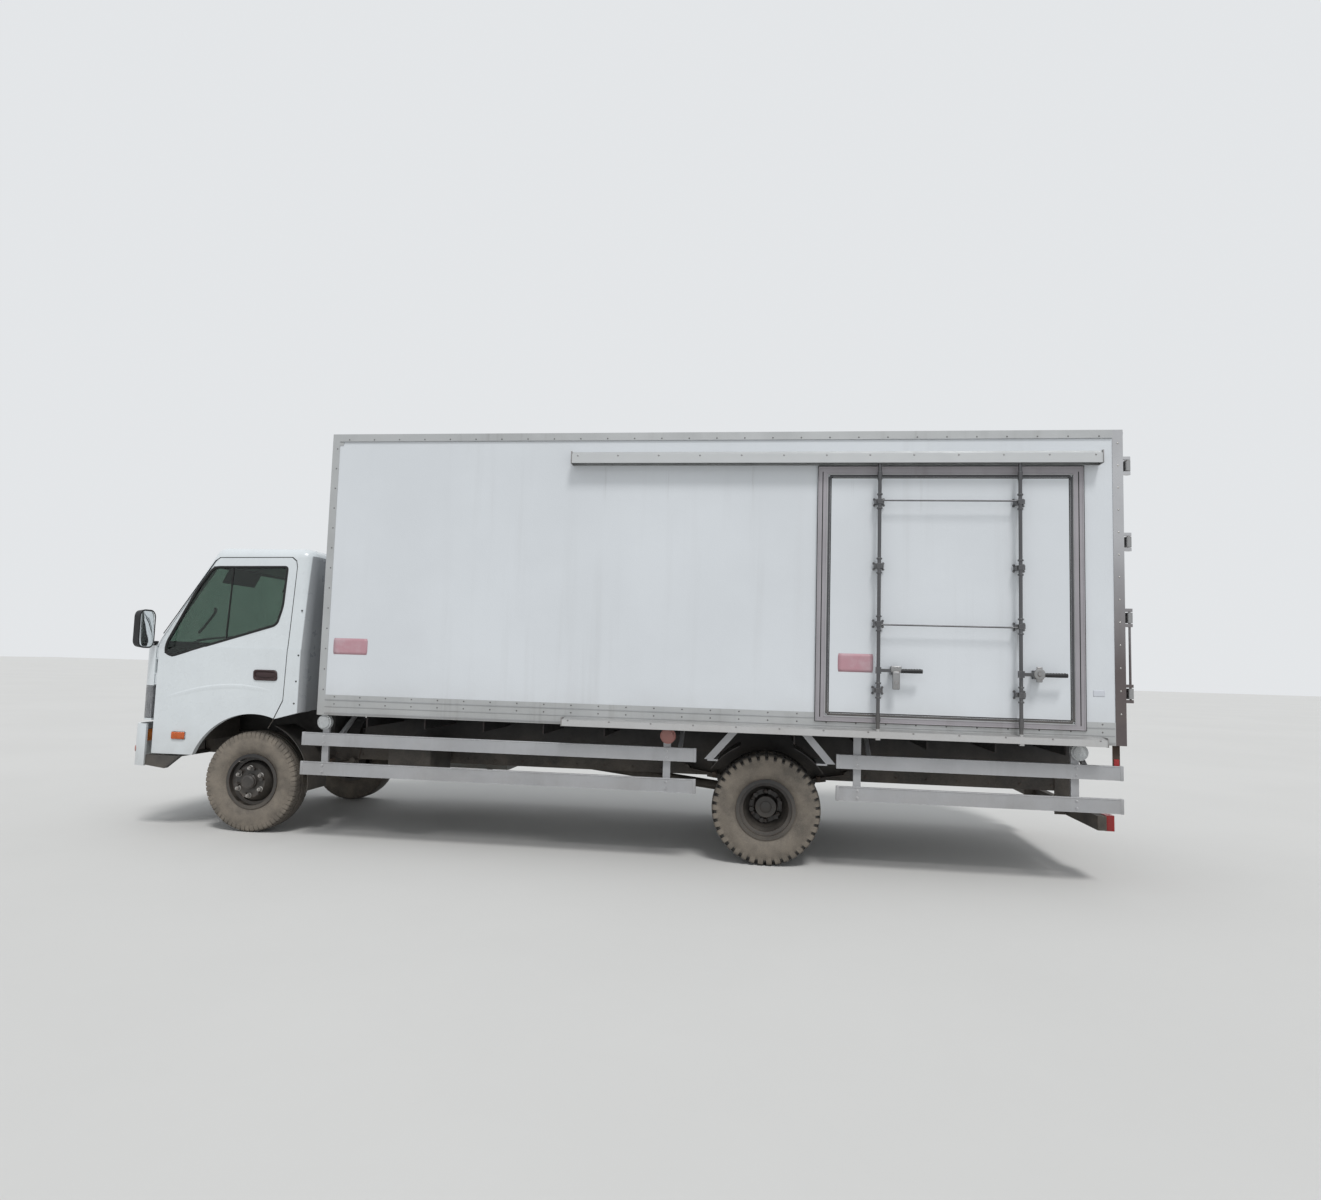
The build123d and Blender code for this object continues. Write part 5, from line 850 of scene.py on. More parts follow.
def make_piece(name, mesh, finish, body, sharp=35.0, replaces=()):
    """Turn a bmesh into a finished object that rides on a body."""
    bmesh.ops.remove_doubles(mesh, verts=mesh.verts, dist=1e-6)
    bmesh.ops.recalc_face_normals(mesh, faces=mesh.faces)
    data = mesh_data(mesh, name)
    data.shade_smooth()
    data.set_sharp_from_angle(angle=math.radians(sharp))
    data.materials.append(FINISH[finish])
    made = linked(name, data)
    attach(made, body)
    if replaces:
        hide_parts(*replaces)
    return made


# Studio


CAMERA_PLACE = Vector((-1.3169, 7.3204, 1.4734))
CAMERA_TURN = (0.1256, 0.0769, 0.0293)          # yaw, pitch and roll in radians
KEY_LIGHT_FROM = Vector((-0.3, 0.72, 1.3))


def build_studio():
    """Pale floor and world, one soft key light and the camera."""
    scene = bpy.context.scene
    studio = scene.truck_studio
    made, tree, shader = new_material("studio_floor")
    tone = tuple(studio.floor)
    feed(tree, blend_colour(tree, patches(tree, 0.35, 5.0, 0.6, 0.3, 0.7), dimmed(tone, 0.97), tone),
         shader.inputs["Base Color"])
    shader.inputs["Roughness"].default_value = 0.95
    mesh = bmesh.new()
    bmesh.ops.create_grid(mesh, x_segments=8, y_segments=8, size=90.0)
    floor = linked("studio_floor", mesh_data(mesh, "studio_floor"))
    floor.data.materials.append(made)
    floor.location.z = -0.001

    world = bpy.data.worlds.new("studio_world")
    scene.world = world
    world.use_nodes = True
    tree = world.node_tree
    tree.nodes.clear()
    paths = add_node(tree, "ShaderNodeLightPath").outputs
    seen = calc(tree, "MAXIMUM", calc(tree, "MAXIMUM", paths["Is Camera Ray"], paths["Is Glossy Ray"]),
                paths["Is Transmission Ray"])
    back = add_node(tree, "ShaderNodeBackground")
    feed(tree, blend_colour(tree, seen, (0.92, 0.96, 1.0, 1), (0.86, 0.88, 0.9, 1)), back.inputs["Color"])
    feed(tree, blend_value(tree, seen, studio.sky, 0.9), back.inputs["Strength"])
    tree.links.new(back.outputs[0], add_node(tree, "ShaderNodeOutputWorld").inputs["Surface"])

    sun = bpy.data.lights.new("key_light", "SUN")
    sun.energy, sun.angle = studio.sun, math.radians(14)
    linked("key_light", sun).rotation_euler = KEY_LIGHT_FROM.to_track_quat("Z", "Y").to_euler()

    lens = bpy.data.cameras.new("camera")
    lens.lens, lens.sensor_width, lens.clip_end = studio.lens, 36.0, 400.0
    camera = linked("camera", lens)
    yaw, pitch, roll = CAMERA_TURN
    ahead = Vector((math.sin(yaw) * math.cos(pitch), -math.cos(yaw) * math.cos(pitch), math.sin(pitch)))
    level = ahead.cross(Vector((0, 0, 1))).normalized()
    upright = level.cross(ahead)
    right = level * math.cos(roll) + upright * math.sin(roll)
    above = upright * math.cos(roll) - level * math.sin(roll)
    turn = Matrix((right, above, -ahead)).transposed()
    camera.matrix_world = Matrix.Translation(CAMERA_PLACE) @ turn.to_4x4()
    scene.camera = camera
    scene.view_settings.view_transform = "Standard"


def finish_nodes():
    """Give every CAD node its finish."""
    for finish, names in NODE_FINISH.items():
        for name in names:
            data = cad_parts[name].data
            data.materials.clear()
            data.materials.append(FINISH[finish])


# Box body fittings


def rivet_rows():
    """Domed rivets on the box's trims and on the portal's posts."""
    sizes = bpy.context.scene.truck_sizes
    radius, pitch = sizes.rivet_radius, sizes.rivet_pitch
    mesh, bright = bmesh.new(), bmesh.new()
    rise, run = BOX_TOP - 0.12 - (BOX_FOOT + 0.2), BOX_NOSE - BOX_BACK - 0.3
    for _, side in SIDES:
        way, face = (0, side, 0), side * BOX_OUT
        for z in spread(BOX_FOOT + 0.2, rise, int(rise / pitch)):
            rivet(mesh, (BOX_NOSE - 0.042, face, z), way, radius)
            rivet(mesh, (BOX_NOSE, side * (BOX_OUT - 0.042), z), (1, 0, 0), radius)
            rivet(bright, (BOX_BACK + 0.035, face, z + 0.02), way, radius * 1.1)
        for x in spread(BOX_BACK + 0.16, run, int(run / (pitch * 1.4))):
            rivet(mesh, (x, face, BOX_TOP - 0.046), way, radius)
            if not LEAF_LOW.x - 0.1 < x < LEAF_HIGH.x + 0.1:
                rivet(mesh, (x, face, BOX_FOOT + 0.145), way, radius)
            rivet(mesh, (x, face, 1.08), way, radius)
    make_piece("trim_rivets", mesh, "rivet", "truck", 60)
    make_piece("post_bolts", bright, "nut", "truck", 60)


def lower_ribs():
    """Rolled ribs along the lower extrusion and the drip edge of the roof trim."""
    mesh = bmesh.new()
    start, end = BOX_BACK + 0.076, BOX_NOSE - 0.062
    for _, side in SIDES:
        root = side * (BOX_OUT - 0.003)
        for level, height, proud in ((0.12, 0.009, 0.004), (0.066, 0.007, 0.003), (0.016, 0.014, 0.005)):
            z = BOX_FOOT + level
            sweep_box(mesh, (start, root, z - height / 2), (end, side * (BOX_OUT + proud), z + height / 2), 0.0018)
        sweep_box(mesh, (start, root, BOX_TOP - 0.064), (end, side * (BOX_OUT + 0.006), BOX_TOP - 0.058), 0.002)
    make_piece("extrusion_ribs", mesh, "lower_trim", "truck")


def side_door_seal():
    """Rubber bulb round the plug door, and the pale lip and dark line at its leaf's edge."""
    x0, x1, z0, z1 = LEAF_LOW.x, LEAF_HIGH.x, LEAF_LOW.z, LEAF_HIGH.z
    face, corner, grow = LEAF_HIGH.y, 0.03, 0.004
    bulb = [(0.011 * math.cos(a), 0.008 * math.sin(a)) for a in turns(10)]
    corners = ((x1 - grow, z1 - grow), (x0 + grow, z1 - grow), (x0 + grow, z0 + grow), (x1 - grow, z0 + grow))
    seal, lip, groove = bmesh.new(), bmesh.new(), bmesh.new()
    path = [(Vector((x, face, z)) + out * corner, out, (0, 1, 0))
            for (x, z), out in corner_loop(corners, corner, lambda c, s: Vector((c, 0, s)))]
    strip(seal, bulb, path, closed=True)
    make_piece("side_door_seal", seal, "grey_seal", "truck", 80)
    for mesh, near, far, proud in ((lip, 0.001, 0.014, 0.004), (groove, 0.016, 0.023, 0.0012)):
        border(mesh, (x0, x1, z0, z1), near, far, face - 0.003, face + proud, 0.0015)
    make_piece("side_door_leaf_lip", lip, "leaf_edge", "truck")
    make_piece("side_door_leaf_line", groove, "seal", "truck")


def side_door_frame():
    """Mitred frame profile round the plug door: lips at both edges and a sunk middle."""
    mesh, lines = bmesh.new(), bmesh.new()
    x0, x1 = XR - 2.15 - 0.072, XR - 0.415 + 0.072
    z0, z1 = 1.131 - 0.042, 2.917 + 0.062
    face = BOX_OUT + 0.007
    section = [(0.0, -0.004), (0.0, 0.004), (0.006, 0.005), (0.01, 0.001), (0.05, 0.001), (0.054, 0.004),
               (0.06, 0.004), (0.06, -0.004)]
    sides, top, foot = 1.15, 0.98, 0.62                     # widths as shares of the section's
    corners = ((x0, z0, sides, foot), (x1, z0, -sides, foot), (x1, z1, -sides, -top), (x0, z1, sides, -top))
    rings = [[mesh.verts.new((x + along * reach, face + out, z + up * reach)) for reach, out in section]
             for x, z, along, up in corners]
    join_rings(mesh, rings, closed=True)
    make_piece("side_door_frame_profile", mesh, "door_frame", "truck", 30)
    border(lines, (x0, x1, z0, z1), -0.004, 0.001, face - 0.003, face + 0.0045, 0.001, 1)
    for x in (x0 + 0.034, x1 - 0.034):
        sweep_box(lines, (x - 0.0035, face, z0 + 0.03), (x + 0.0035, face + 0.0018, z1 - 0.04), 0.0008, 1)
    make_piece("side_door_frame_lines", lines, "seal", "truck", 60)


def lock_hardware():
    """Collars, keeper bolts, grips, a padlock and a lock disc on the side door's lock bars."""
    collars, grips, lock = bmesh.new(), bmesh.new(), bmesh.new()
    up, out = (0, 0, 1), (0, 1, 0)
    for x in LOCK_XS:
        for z in LOCK_LEVELS:
            for shift in (-0.052, 0.052):
                lathe(collars, (x, LOCK_BAR_Y, z + shift), up,
                      [(-0.006, 0.013), (-0.006, 0.019), (-0.004, 0.0205), (0.004, 0.0205), (0.006, 0.019),
                       (0.006, 0.013)], 20)
            for across in (-0.034, 0.034):
                for rise in (-0.022, 0.022):
                    hex_bolt(collars, (x + across, BOX_OUT + 0.014, z + rise), out, 0.013, 0.007)
        for z in (LOCK_LEVELS[0] + 0.19, LOCK_LEVELS[-1] - 0.2):
            lathe(collars, (x, LOCK_BAR_Y, z), up, [(-0.03, 0.0135), (-0.028, 0.017), (0.028, 0.017), (0.03, 0.0135)],
                  20)
        tube(grips, [(x - back, LOCK_BAR_Y + off, HANDLE_Z - drop) for back, off, drop in
                     ((0.155, 0.018, 0), (0.2, 0.019, 0.001), (0.26, 0.019, 0.001), (0.306, 0.018, 0))], 0.015, 14)
        for k in range(7):
            tube(grips, [(x - start - 0.019 * k, LOCK_BAR_Y + 0.0185, HANDLE_Z - 0.0005 + 0.0004 * k)
                         for start in (0.17, 0.178)], 0.0158, 14)
    make_piece("lock_bar_collars", collars, "lock_steel", "truck")
    make_piece("lock_handle_grips", grips, "black_plastic", "truck", 80)
    x, y, z = LOCK_XS[0] - 0.122, LOCK_BAR_Y + 0.024, HANDLE_Z
    sweep_box(lock, (x - 0.038, y - 0.01, z - 0.01), (x + 0.038, y + 0.008, z + 0.034), 0.006, 3)
    sweep_box(lock, (x - 0.026, y - 0.012, z - 0.135), (x + 0.026, y + 0.012, z - 0.004), 0.008, 3)
    lathe(lock, (x, y + 0.011, z - 0.088), out, [(0.0, 0.013), (0.003, 0.013), (0.004, 0.011), (0.002, 0.0)], 20)
    for rise, proud in ((0.022, 0.008), (-0.022, 0.012), (-0.118, 0.012)):
        for across in (0.012, -0.012):
            rivet(lock, (x + across, y + proud, z + rise), out, 0.0045)
    x = LOCK_XS[1] - 0.118
    lathe(lock, (x, y - 0.004, z + 0.004), out,
          [(0.0, 0.037), (0.004, 0.04), (0.009, 0.038), (0.012, 0.03), (0.01, 0.016), (0.016, 0.013), (0.017, 0.0)],
          32)
    sweep_box(lock, (x - 0.02, y - 0.014, z - 0.052), (x + 0.02, y + 0.004, z + 0.056), 0.006, 3)
    make_piece("side_door_locks", lock, "gear", "truck")


def rail_fittings():
    """Bolts along the plug door's two rails, with end plates."""
    mesh = bmesh.new()
    face = BOX_OUT + 0.088
    for x0, x1, z0, z1 in RAILS:
        for x in spread(x0 + 0.05, x1 - x0 - 0.1, int((x1 - x0) / 0.3)):
            rivet(mesh, (x, face, (z0 + z1) / 2 + 0.012), (0, 1, 0), 0.0075)
        for x in (x0, x1):
            sweep_box(mesh, (x - 0.004, BOX_OUT + 0.004, z0 - 0.003), (x + 0.004, face + 0.003, z1 + 0.003), 0.0015)
    make_piece("door_rail_bolts", mesh, "gear", "truck", 60)


def blank_labels():
    """Three blank stickers, thin and slightly lifted at their corners."""
    columns, rows = 8, 6
    for number, (x0, x1, z0, z1, lift) in enumerate(LABELS):
        mesh = bmesh.new()
        face = LEAF_HIGH.y if LEAF_LOW.x < x0 and x1 < LEAF_HIGH.x else SKIN_Y
        grid = []
        for u in spread(0, 1, columns):
            line = []
            for v in spread(0, 1, rows):
                across, up = abs(u - 0.5) * 2, abs(v - 0.5) * 2
                curl = lift * max(0.0, across - 0.75) * max(0.0, up - 0.6) * 8
                cut = 0.02 * (x1 - x0) * across ** 6 * up ** 6
                line.append(mesh.verts.new((x0 + (x1 - x0) * u + (cut if u < 0.5 else -cut), face + 0.0008 + curl,
                                            z0 + (z1 - z0) * v)))
            grid.append(line)
        for i in range(columns):
            for k in range(rows):
                mesh.faces.new([grid[i][k], grid[i + 1][k], grid[i + 1][k + 1], grid[i][k + 1]])
        made = make_piece(f"blank_label_{number + 1}", mesh, "label" if number < 2 else "faint", "truck")
        made.modifiers.new("thickness", "SOLIDIFY").thickness = 0.0006


def rear_door_fittings():
    """A bulb seal, strap bolts and bolts on each rear leaf; the blank plate, tail brackets and reflectors."""
    back = (-1, 0, 0)
    for name, side in SIDES:
        body = f"rear_door_{name}"
        low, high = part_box(body)
        seal, bolts = bmesh.new(), bmesh.new()
        bulb = [(0.012 * math.cos(a), 0.007 * math.sin(a)) for a in turns(8)]
        corners = ((high.y, high.z), (low.y, high.z), (low.y, low.z), (high.y, low.z))
        path = [(Vector((low.x + 0.002, y, z)) + out * 0.022, out, back)
                for (y, z), out in corner_loop(corners, 0.035, lambda c, s: Vector((0, c, s)), 3, 30)]
        strip(seal, bulb, path, closed=True)
        make_piece(f"rear_leaf_seal_{name}", seal, "grey_seal", body, 80)
        for z in REAR_HINGE_LEVELS:
            for k in range(3):
                rivet(bolts, (STRAP_BACK, side * (BOX_OUT - 0.135 - 0.055 * k), z + (0.016 if k % 2 else -0.016)),
                      back, 0.0085)
        for z in (1.35, 1.95, 2.6):
            for up in (-0.03, 0.03):
                for y in (0.235, 0.145):
                    rivet(bolts, (low.x - 0.003, side * y, z + up), back, 0.006)
        make_piece(f"rear_leaf_bolts_{name}", bolts, "gear", body, 60)
    plate, brackets, reflectors = bmesh.new(), bmesh.new(), bmesh.new()
    centre = Vector((BOX_BACK - 0.0012, 0.0, 1.045))
    sweep_box(plate, centre - Vector((0.004, 0.165, 0.055)), centre + Vector((0.001, 0.165, 0.055)), 0.003)
    for y in (-0.12, 0.12):
        rivet(plate, (BOX_BACK - 0.005, y, 1.045 + 0.035), back, 0.005)
    make_piece("blank_number_plate", plate, "cab_paint", "truck")
    for _, side in SIDES:
        sweep_box(brackets, (BOX_BACK + 0.03, side * 1.102, 0.8), (BOX_BACK + 0.08, side * 1.108, 0.992), 0.002)
        sweep_box(reflectors, (BOX_BACK + 0.037, side * 1.107, 0.806), (BOX_BACK + 0.073, side * 1.114, 0.894), 0.003,
                  3)
    make_piece("tail_brackets", brackets, "rusty", "truck")
    make_piece("tail_side_reflectors", reflectors, "red_lens", "truck")


def evaporator_details():
    """Fan guards and fan rings on the evaporator in the load space."""
    low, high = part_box("evaporator")
    guards, fans = bmesh.new(), bmesh.new()
    back, z, count = low.x, (low.z + high.z) / 2, 3
    for i in range(count):
        y = low.y + (high.y - low.y) * (i + 0.5) / count

        def spoke(off, radius, a, y=y):
            return (back - off, y + radius * math.cos(a), z + radius * math.sin(a))

        for radius in (0.045, 0.075, 0.105):
            tube(guards, [spoke(0.012, radius, a) for a in turns(28)], 0.0022, 6, closed=True)
        for k in range(6):
            a = math.pi * k / 3
            tube(guards, [spoke(0.01, 0.03, a), spoke(0.012, 0.107, a)], 0.0018, 6)
        lathe(fans, (back - 0.001, y, z), (-1, 0, 0),
              [(0.0, 0.112), (0.006, 0.112), (0.006, 0.106), (0.001, 0.104), (0.001, 0.0)], 32)
        lathe(fans, (back - 0.001, y, z), (-1, 0, 0), [(0.0, 0.028), (0.008, 0.026), (0.009, 0.0)], 20)
    make_piece("fan_guards", guards, "gear", "truck", 80)
    make_piece("fan_rings", fans, "black_plastic", "truck")


# Wheels, tyres and chassis fittings


def tyre_profile(ribs):
    """Section of a tyre from bead to bead over its tread, as (offset, radius)."""
    side = [(0.078, 0.226), (0.082, 0.236), (0.092, 0.246), (0.101, 0.266), (0.1055, 0.292), (0.1065, 0.316),
            (0.1045, 0.338), (0.101, 0.356), (0.0985, 0.362), (0.0985, 0.366)]
    if ribs:
        tread = [(0.096, 0.378), (0.09, 0.3905), (0.085, 0.396)]
        for centre in (0.062, 0.021):
            tread += [(centre + 0.0055, 0.406), (centre + 0.0035, 0.394), (centre - 0.0035, 0.394),
                      (centre - 0.0055, 0.4072)]
    else:
        tread = [(0.0955, 0.374), (0.09, 0.381), (0.072, 0.386), (0.056, 0.388), (0.05, 0.405), (0.036, 0.4072),
                 (0.034, 0.397), (0.028, 0.397), (0.026, 0.4076)]
    profile = side + tread
    return profile + [(-a, r) for a, r in reversed(profile)]


def tyre_mesh(mesh, centre, ribs):
    """One tyre, turned about its axle, closed through its bore."""
    rows = tyre_profile(ribs)
    lathe(mesh, centre, (0, 1, 0), rows + [(-0.07, 0.206), (0.07, 0.206), rows[0]], 96, start=(1, 0, 0))


def shoulder_blocks(mesh, centre, way, count, depth, width, start=0.0):
    """Slanted lugs round one shoulder, from the sidewall up over the tread."""
    span = 2 * math.pi / count * width
    for a in turns(count, start):
        rows = []
        for offset, radius, lean in ((0.102, 0.358, 0.1), (0.103, 0.378, 0.06), (0.0975, 0.396, 0.02),
                                     (0.086, 0.404, 0.0), (0.056, 0.4062, -0.12)):
            ring = []
            for share, levels in ((-0.5, (radius - depth, radius)), (0.5, (radius, radius - depth))):
                for level in levels:
                    shift = 0.0 if level == radius else 0.0035
                    angle = a + span * share + lean * span + (share * shift / radius * 2)
                    place = Vector((math.cos(angle) * level, way * offset, math.sin(angle) * level))
                    ring.append(mesh.verts.new(Vector(centre) + place))
            rows.append(ring)
        join_rings(mesh, rows, ends=(0, -1))


def tyres():
    """Front tyres with ribs and rear twins with shoulder lugs."""
    count = bpy.context.scene.truck_sizes.lug_count
    for name, side in SIDES:
        mesh = bmesh.new()
        centre = Vector((XF, side * FRONT_Y, AXLE_Z))
        tyre_mesh(mesh, centre, True)
        for way in (1, -1):
            shoulder_blocks(mesh, centre, way, 60, 0.01, 0.72)
        make_piece(f"front_tyre_{name}", mesh, "front_rubber", f"front_wheel_{name}", 30,
                   replaces=(f"tyre_front_{name}",))
        mesh, lugs = bmesh.new(), bmesh.new()
        for offset in (REAR_Y - 0.125, REAR_Y + 0.125):
            centre = Vector((XR, side * offset, AXLE_Z))
            tyre_mesh(mesh, centre, False)
            for way, start in ((1, 0.0), (-1, 0.5)):
                shoulder_blocks(lugs, centre, way, count, 0.024, 0.56, start)
        make_piece(f"rear_tyres_{name}", mesh, "rear_rubber", f"rear_wheels_{name}", 30,
                   replaces=(f"tyres_rear_{name}",))
        make_piece(f"rear_tyre_lugs_{name}", lugs, "lug_rubber", f"rear_wheels_{name}", 30)


def around(centre, radius, a, off=0.0):
    """A place round a wheel's axle at angle a, off metres along Y."""
    return centre + Vector((radius * math.cos(a), off, radius * math.sin(a)))


HUB_CAPS = {
    "front": [(-0.004, 0.062), (0.014, 0.062), (0.018, 0.058), (0.032, 0.052), (0.038, 0.044), (0.038, 0.03),
              (0.033, 0.027), (0.033, 0.0)],
    "rear": [(-0.004, 0.074), (0.03, 0.074), (0.034, 0.07), (0.034, 0.048), (0.07, 0.044), (0.074, 0.038),
             (0.074, 0.0)],
}


def wheel_fittings():
    """Chamfered nuts with studs, hub caps and valves."""
    for name, side in SIDES:
        way = Vector((0, side, 0))
        for end, axle, y, body, nut, rim_out in (("front", XF, FRONT_Y + 0.104, "front_wheel", "nut", 0.017),
                                                 ("rear", XR, REAR_Y + 0.013, "rear_wheels", "rim", 0.034)):
            nuts, hub, valve = bmesh.new(), bmesh.new(), bmesh.new()
            base = Vector((axle, side * y, AXLE_Z))
            for a in turns(6, 0.5):
                place = around(base, 0.111, a)
                lathe(nuts, place, way, [(-0.002, 0.0215), (0.003, 0.0215), (0.005, 0.018)], 18)
                lathe(nuts, place, way, [(0.004, 0.0175), (0.024, 0.0175), (0.029, 0.0145), (0.029, 0.0)], 6)
                lathe(nuts, place, way, [(0.026, 0.0085), (0.037, 0.0085), (0.039, 0.007), (0.039, 0.0)], 12)
            lathe(hub, base, way, HUB_CAPS[end], 40)
            for a in turns(8):
                rivet(hub, around(base + way * rim_out, 0.055, a), way, 0.0055)
            a = math.radians(62)
            foot = around(base - way * 0.02, 0.172, a)
            tube(valve, [foot, around(foot, 0.006, a, side * 0.025), around(foot, 0.014, a, side * 0.048)], 0.0042, 8)
            body = f"{body}_{name}"
            make_piece(f"wheel_nuts_{end}_{name}", nuts, nut, body, 40)
            make_piece(f"hub_cap_{end}_{name}", hub, "rim", body, 40)
            make_piece(f"tyre_valve_{end}_{name}", valve, "nut", body, 60)


def guard_fittings():
    """Bolts on the side guards' posts, thin lips along their rails' top edges whose bright edge colour is a painted
    highlight, and end caps on their rails.
    """
    if not bpy.context.scene.truck_sizes.rail_bolts:
        return
    bolts, caps = bmesh.new(), bmesh.new()
    face = BOX_OUT - 0.02
    for _, side in SIDES:
        for low, high in GUARD_TIERS:
            for x in GUARD_POSTS:
                for z in (low + 0.026, high - 0.026):
                    hex_bolt(bolts, (x, side * face, z), (0, side, 0), 0.014, 0.006)
            for start, end in GUARD_RUNS:
                for x, along in ((start, 1), (end, -1)):
                    sweep_box(caps, (x - 0.003 * along, side * (face - 0.029), low - 0.002),
                              (x + 0.02 * along, side * (face + 0.0025), high + 0.002), 0.004, 3)
                # thin lip along the rail's top edge; its bright worn-edge colour is a painted highlight of sunlight
                # on that edge
                sweep_box(bolts, (start + 0.02, side * (face - 0.002), high - 0.009),
                          (end - 0.02, side * (face + 0.0018), high), 0.0012, 1)
    make_piece("guard_bolts_and_lips", bolts, "guard", "truck", 50)
    make_piece("guard_rail_caps", caps, "guard", "truck")


def chassis_fittings():
    """Frame bolts, spring U-bolts and clips, tank straps, its cap and brake pipes."""
    bolts, clamps, straps, pipes = bmesh.new(), bmesh.new(), bmesh.new(), bmesh.new()
    for _, side in SIDES:
        x = BOX_BACK + 0.25
        while x < XF + 0.6:
            for z in (0.6, 0.72):
                hex_bolt(bolts, (x, side * 0.375, z), (0, side, 0), 0.015, 0.009)
            x += 0.24
        y, half = side * 0.42, 0.044
        for axle, level in ((XF, 0.52), (XR, 0.56)):
            for along in (-0.075, 0.075):
                x_bolt = axle + along
                arch = [(x_bolt, y - half, level - 0.13), (x_bolt, y - half, level)]
                arch += [(x_bolt, y - half * math.cos(a), level + 0.02 * math.sin(a))
                         for a in (math.pi * k / 8 for k in range(1, 8))]
                tube(clamps, arch + [(x_bolt, y + half, level), (x_bolt, y + half, level - 0.13)], 0.008, 8)
            for along in (-0.42, -0.24, 0.24, 0.42):
                drop = 0.045 * (abs(along) / 0.42) ** 2
                sweep_box(clamps, (axle + along - 0.016, y - 0.041, level - 0.055 + drop),
                          (axle + along + 0.016, y + 0.041, level - 0.008 + drop), 0.003)
    make_piece("frame_bolts", bolts, "chassis", "truck", 50)
    make_piece("spring_clamps", clamps, "rusty", "truck", 50)
    low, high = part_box("fuel_tank")
    outer = low.y
    for share in (0.22, 0.78):
        x = low.x + (high.x - low.x) * share
        path = [(x, y, z) for y, z in
                ((-0.4, high.z + 0.003), (outer + 0.07, high.z + 0.003), (outer + 0.018, high.z - 0.02),
                 (outer - 0.002, high.z - 0.075), (outer - 0.002, low.z + 0.075), (outer + 0.018, low.z + 0.02),
                 (outer + 0.07, low.z - 0.003), (-0.4, low.z - 0.003))]
        rows = []
        for i, point in enumerate(path):
            run = (Vector(path[min(len(path) - 1, i + 1)]) - Vector(path[max(0, i - 1)])).normalized()
            rows.append((point, (1, 0, 0), Vector((1, 0, 0)).cross(run)))
        strip(straps, [(-0.022, -0.002), (0.022, -0.002), (0.022, 0.002), (-0.022, 0.002)], rows)
    lathe(straps, (low.x + 0.16, low.y + 0.06, high.z - 0.004), (0, -0.35, 0.94),
          [(0.0, 0.034), (0.02, 0.034), (0.02, 0.041), (0.044, 0.041), (0.048, 0.036), (0.048, 0.0)], 28)
    make_piece("tank_straps_and_cap", straps, "rusty", "truck", 40)
    for side, lift in ((1, 0.0), (-1, 0.012)):
        run = [(XR + ahead, side * y, z) for ahead, y, z in
               ((1.6, 0.35, 0.7 + lift), (1.1, 0.352, 0.7 + lift), (0.6, 0.345, 0.69 + lift), (0.3, 0.345, 0.66),
                (0.12, 0.33, 0.6), (0.05, 0.33, 0.52))]
        tube(pipes, smooth_run(run, 5), 0.008, 8)
    make_piece("brake_pipes", pipes, "seal", "truck", 80)


def smooth_run(points, parts):
    """Points of a smooth line through the given points."""
    points = [Vector(p) for p in points]
    ends = [points[0] * 2 - points[1]] + points + [points[-1] * 2 - points[-2]]
    out = []
    for i in range(1, len(ends) - 2):
        a, b, c, d = ends[i - 1:i + 3]
        for k in range(parts):
            t = k / parts
            out.append(0.5 * ((2 * b) + (c - a) * t + (2 * a - 5 * b + 4 * c - d) * t ** 2
                              + (-a + 3 * b - 3 * c + d) * t ** 3))
    out.append(points[-1])
    return out


# Cab fittings


def side_y(z):
    """Half width of the cab's side at height z."""
    return CAB_OUT - CAB_LEAN * max(0.0, z - BELT_Z) / CAB_LEAN_RISE


def screen_x(y, z):
    """Front face of the screen at a place across and up, with its rounded corners."""
    half = side_y(z) - SCREEN_CORNER
    over = max(0.0, min(SCREEN_CORNER - 0.001, abs(y) - half))
    return XF + SCREEN_FOOT_X - SCREEN_SLOPE * (z - BELT_Z) - (SCREEN_CORNER
                                                               - math.sqrt(SCREEN_CORNER ** 2 - over ** 2))


def oblong(x0, x1, z0, z1):
    """Corners of an upright rectangle."""
    return [(x0, z0), (x1, z0), (x1, z1), (x0, z1)]


def rounded_outline(points, radius, parts=4):
    """Corners of a flat outline rounded into short arcs."""
    out = []
    for i, point in enumerate(points):
        here = Vector(point)
        first, second = Vector(points[i - 1]) - here, Vector(points[(i + 1) % len(points)]) - here
        reach = min(radius, first.length * 0.45, second.length * 0.45)
        start, end = here + first.normalized() * reach, here + second.normalized() * reach
        out += [start * (1 - t) ** 2 + here * 2 * t * (1 - t) + end * t ** 2 for t in spread(0, 1, parts)]
    return out


def inset_outline(points, by):
    """A flat outline moved inwards along its corner bisectors."""
    points = [Vector(p) for p in points]
    centre = sum(points, Vector((0, 0))) / len(points)
    area = sum(points[i - 1].x * here.y - here.x * points[i - 1].y for i, here in enumerate(points))
    out = []
    for i, here in enumerate(points):
        first = (here - points[i - 1]).normalized()
        second = (points[(i + 1) % len(points)] - here).normalized()
        left = Vector((-first.y, first.x)) + Vector((-second.y, second.x))
        left = left.normalized() * (1 if area > 0 else -1) if left.length > 1e-6 else centre - here
        out.append(here + left * by)
    return out


def seal_strip(mesh, outline, place, section):
    """Sweep a rubber section round an outline; place gives point and outward normal."""
    path = []
    for i, spot in enumerate(outline):
        point, normal = place(spot)
        run = (place(outline[(i + 1) % len(outline)])[0] - place(outline[i - 1])[0]).normalized()
        path.append((point, run.cross(normal).normalized(), normal))
    strip(mesh, section, path, closed=True)


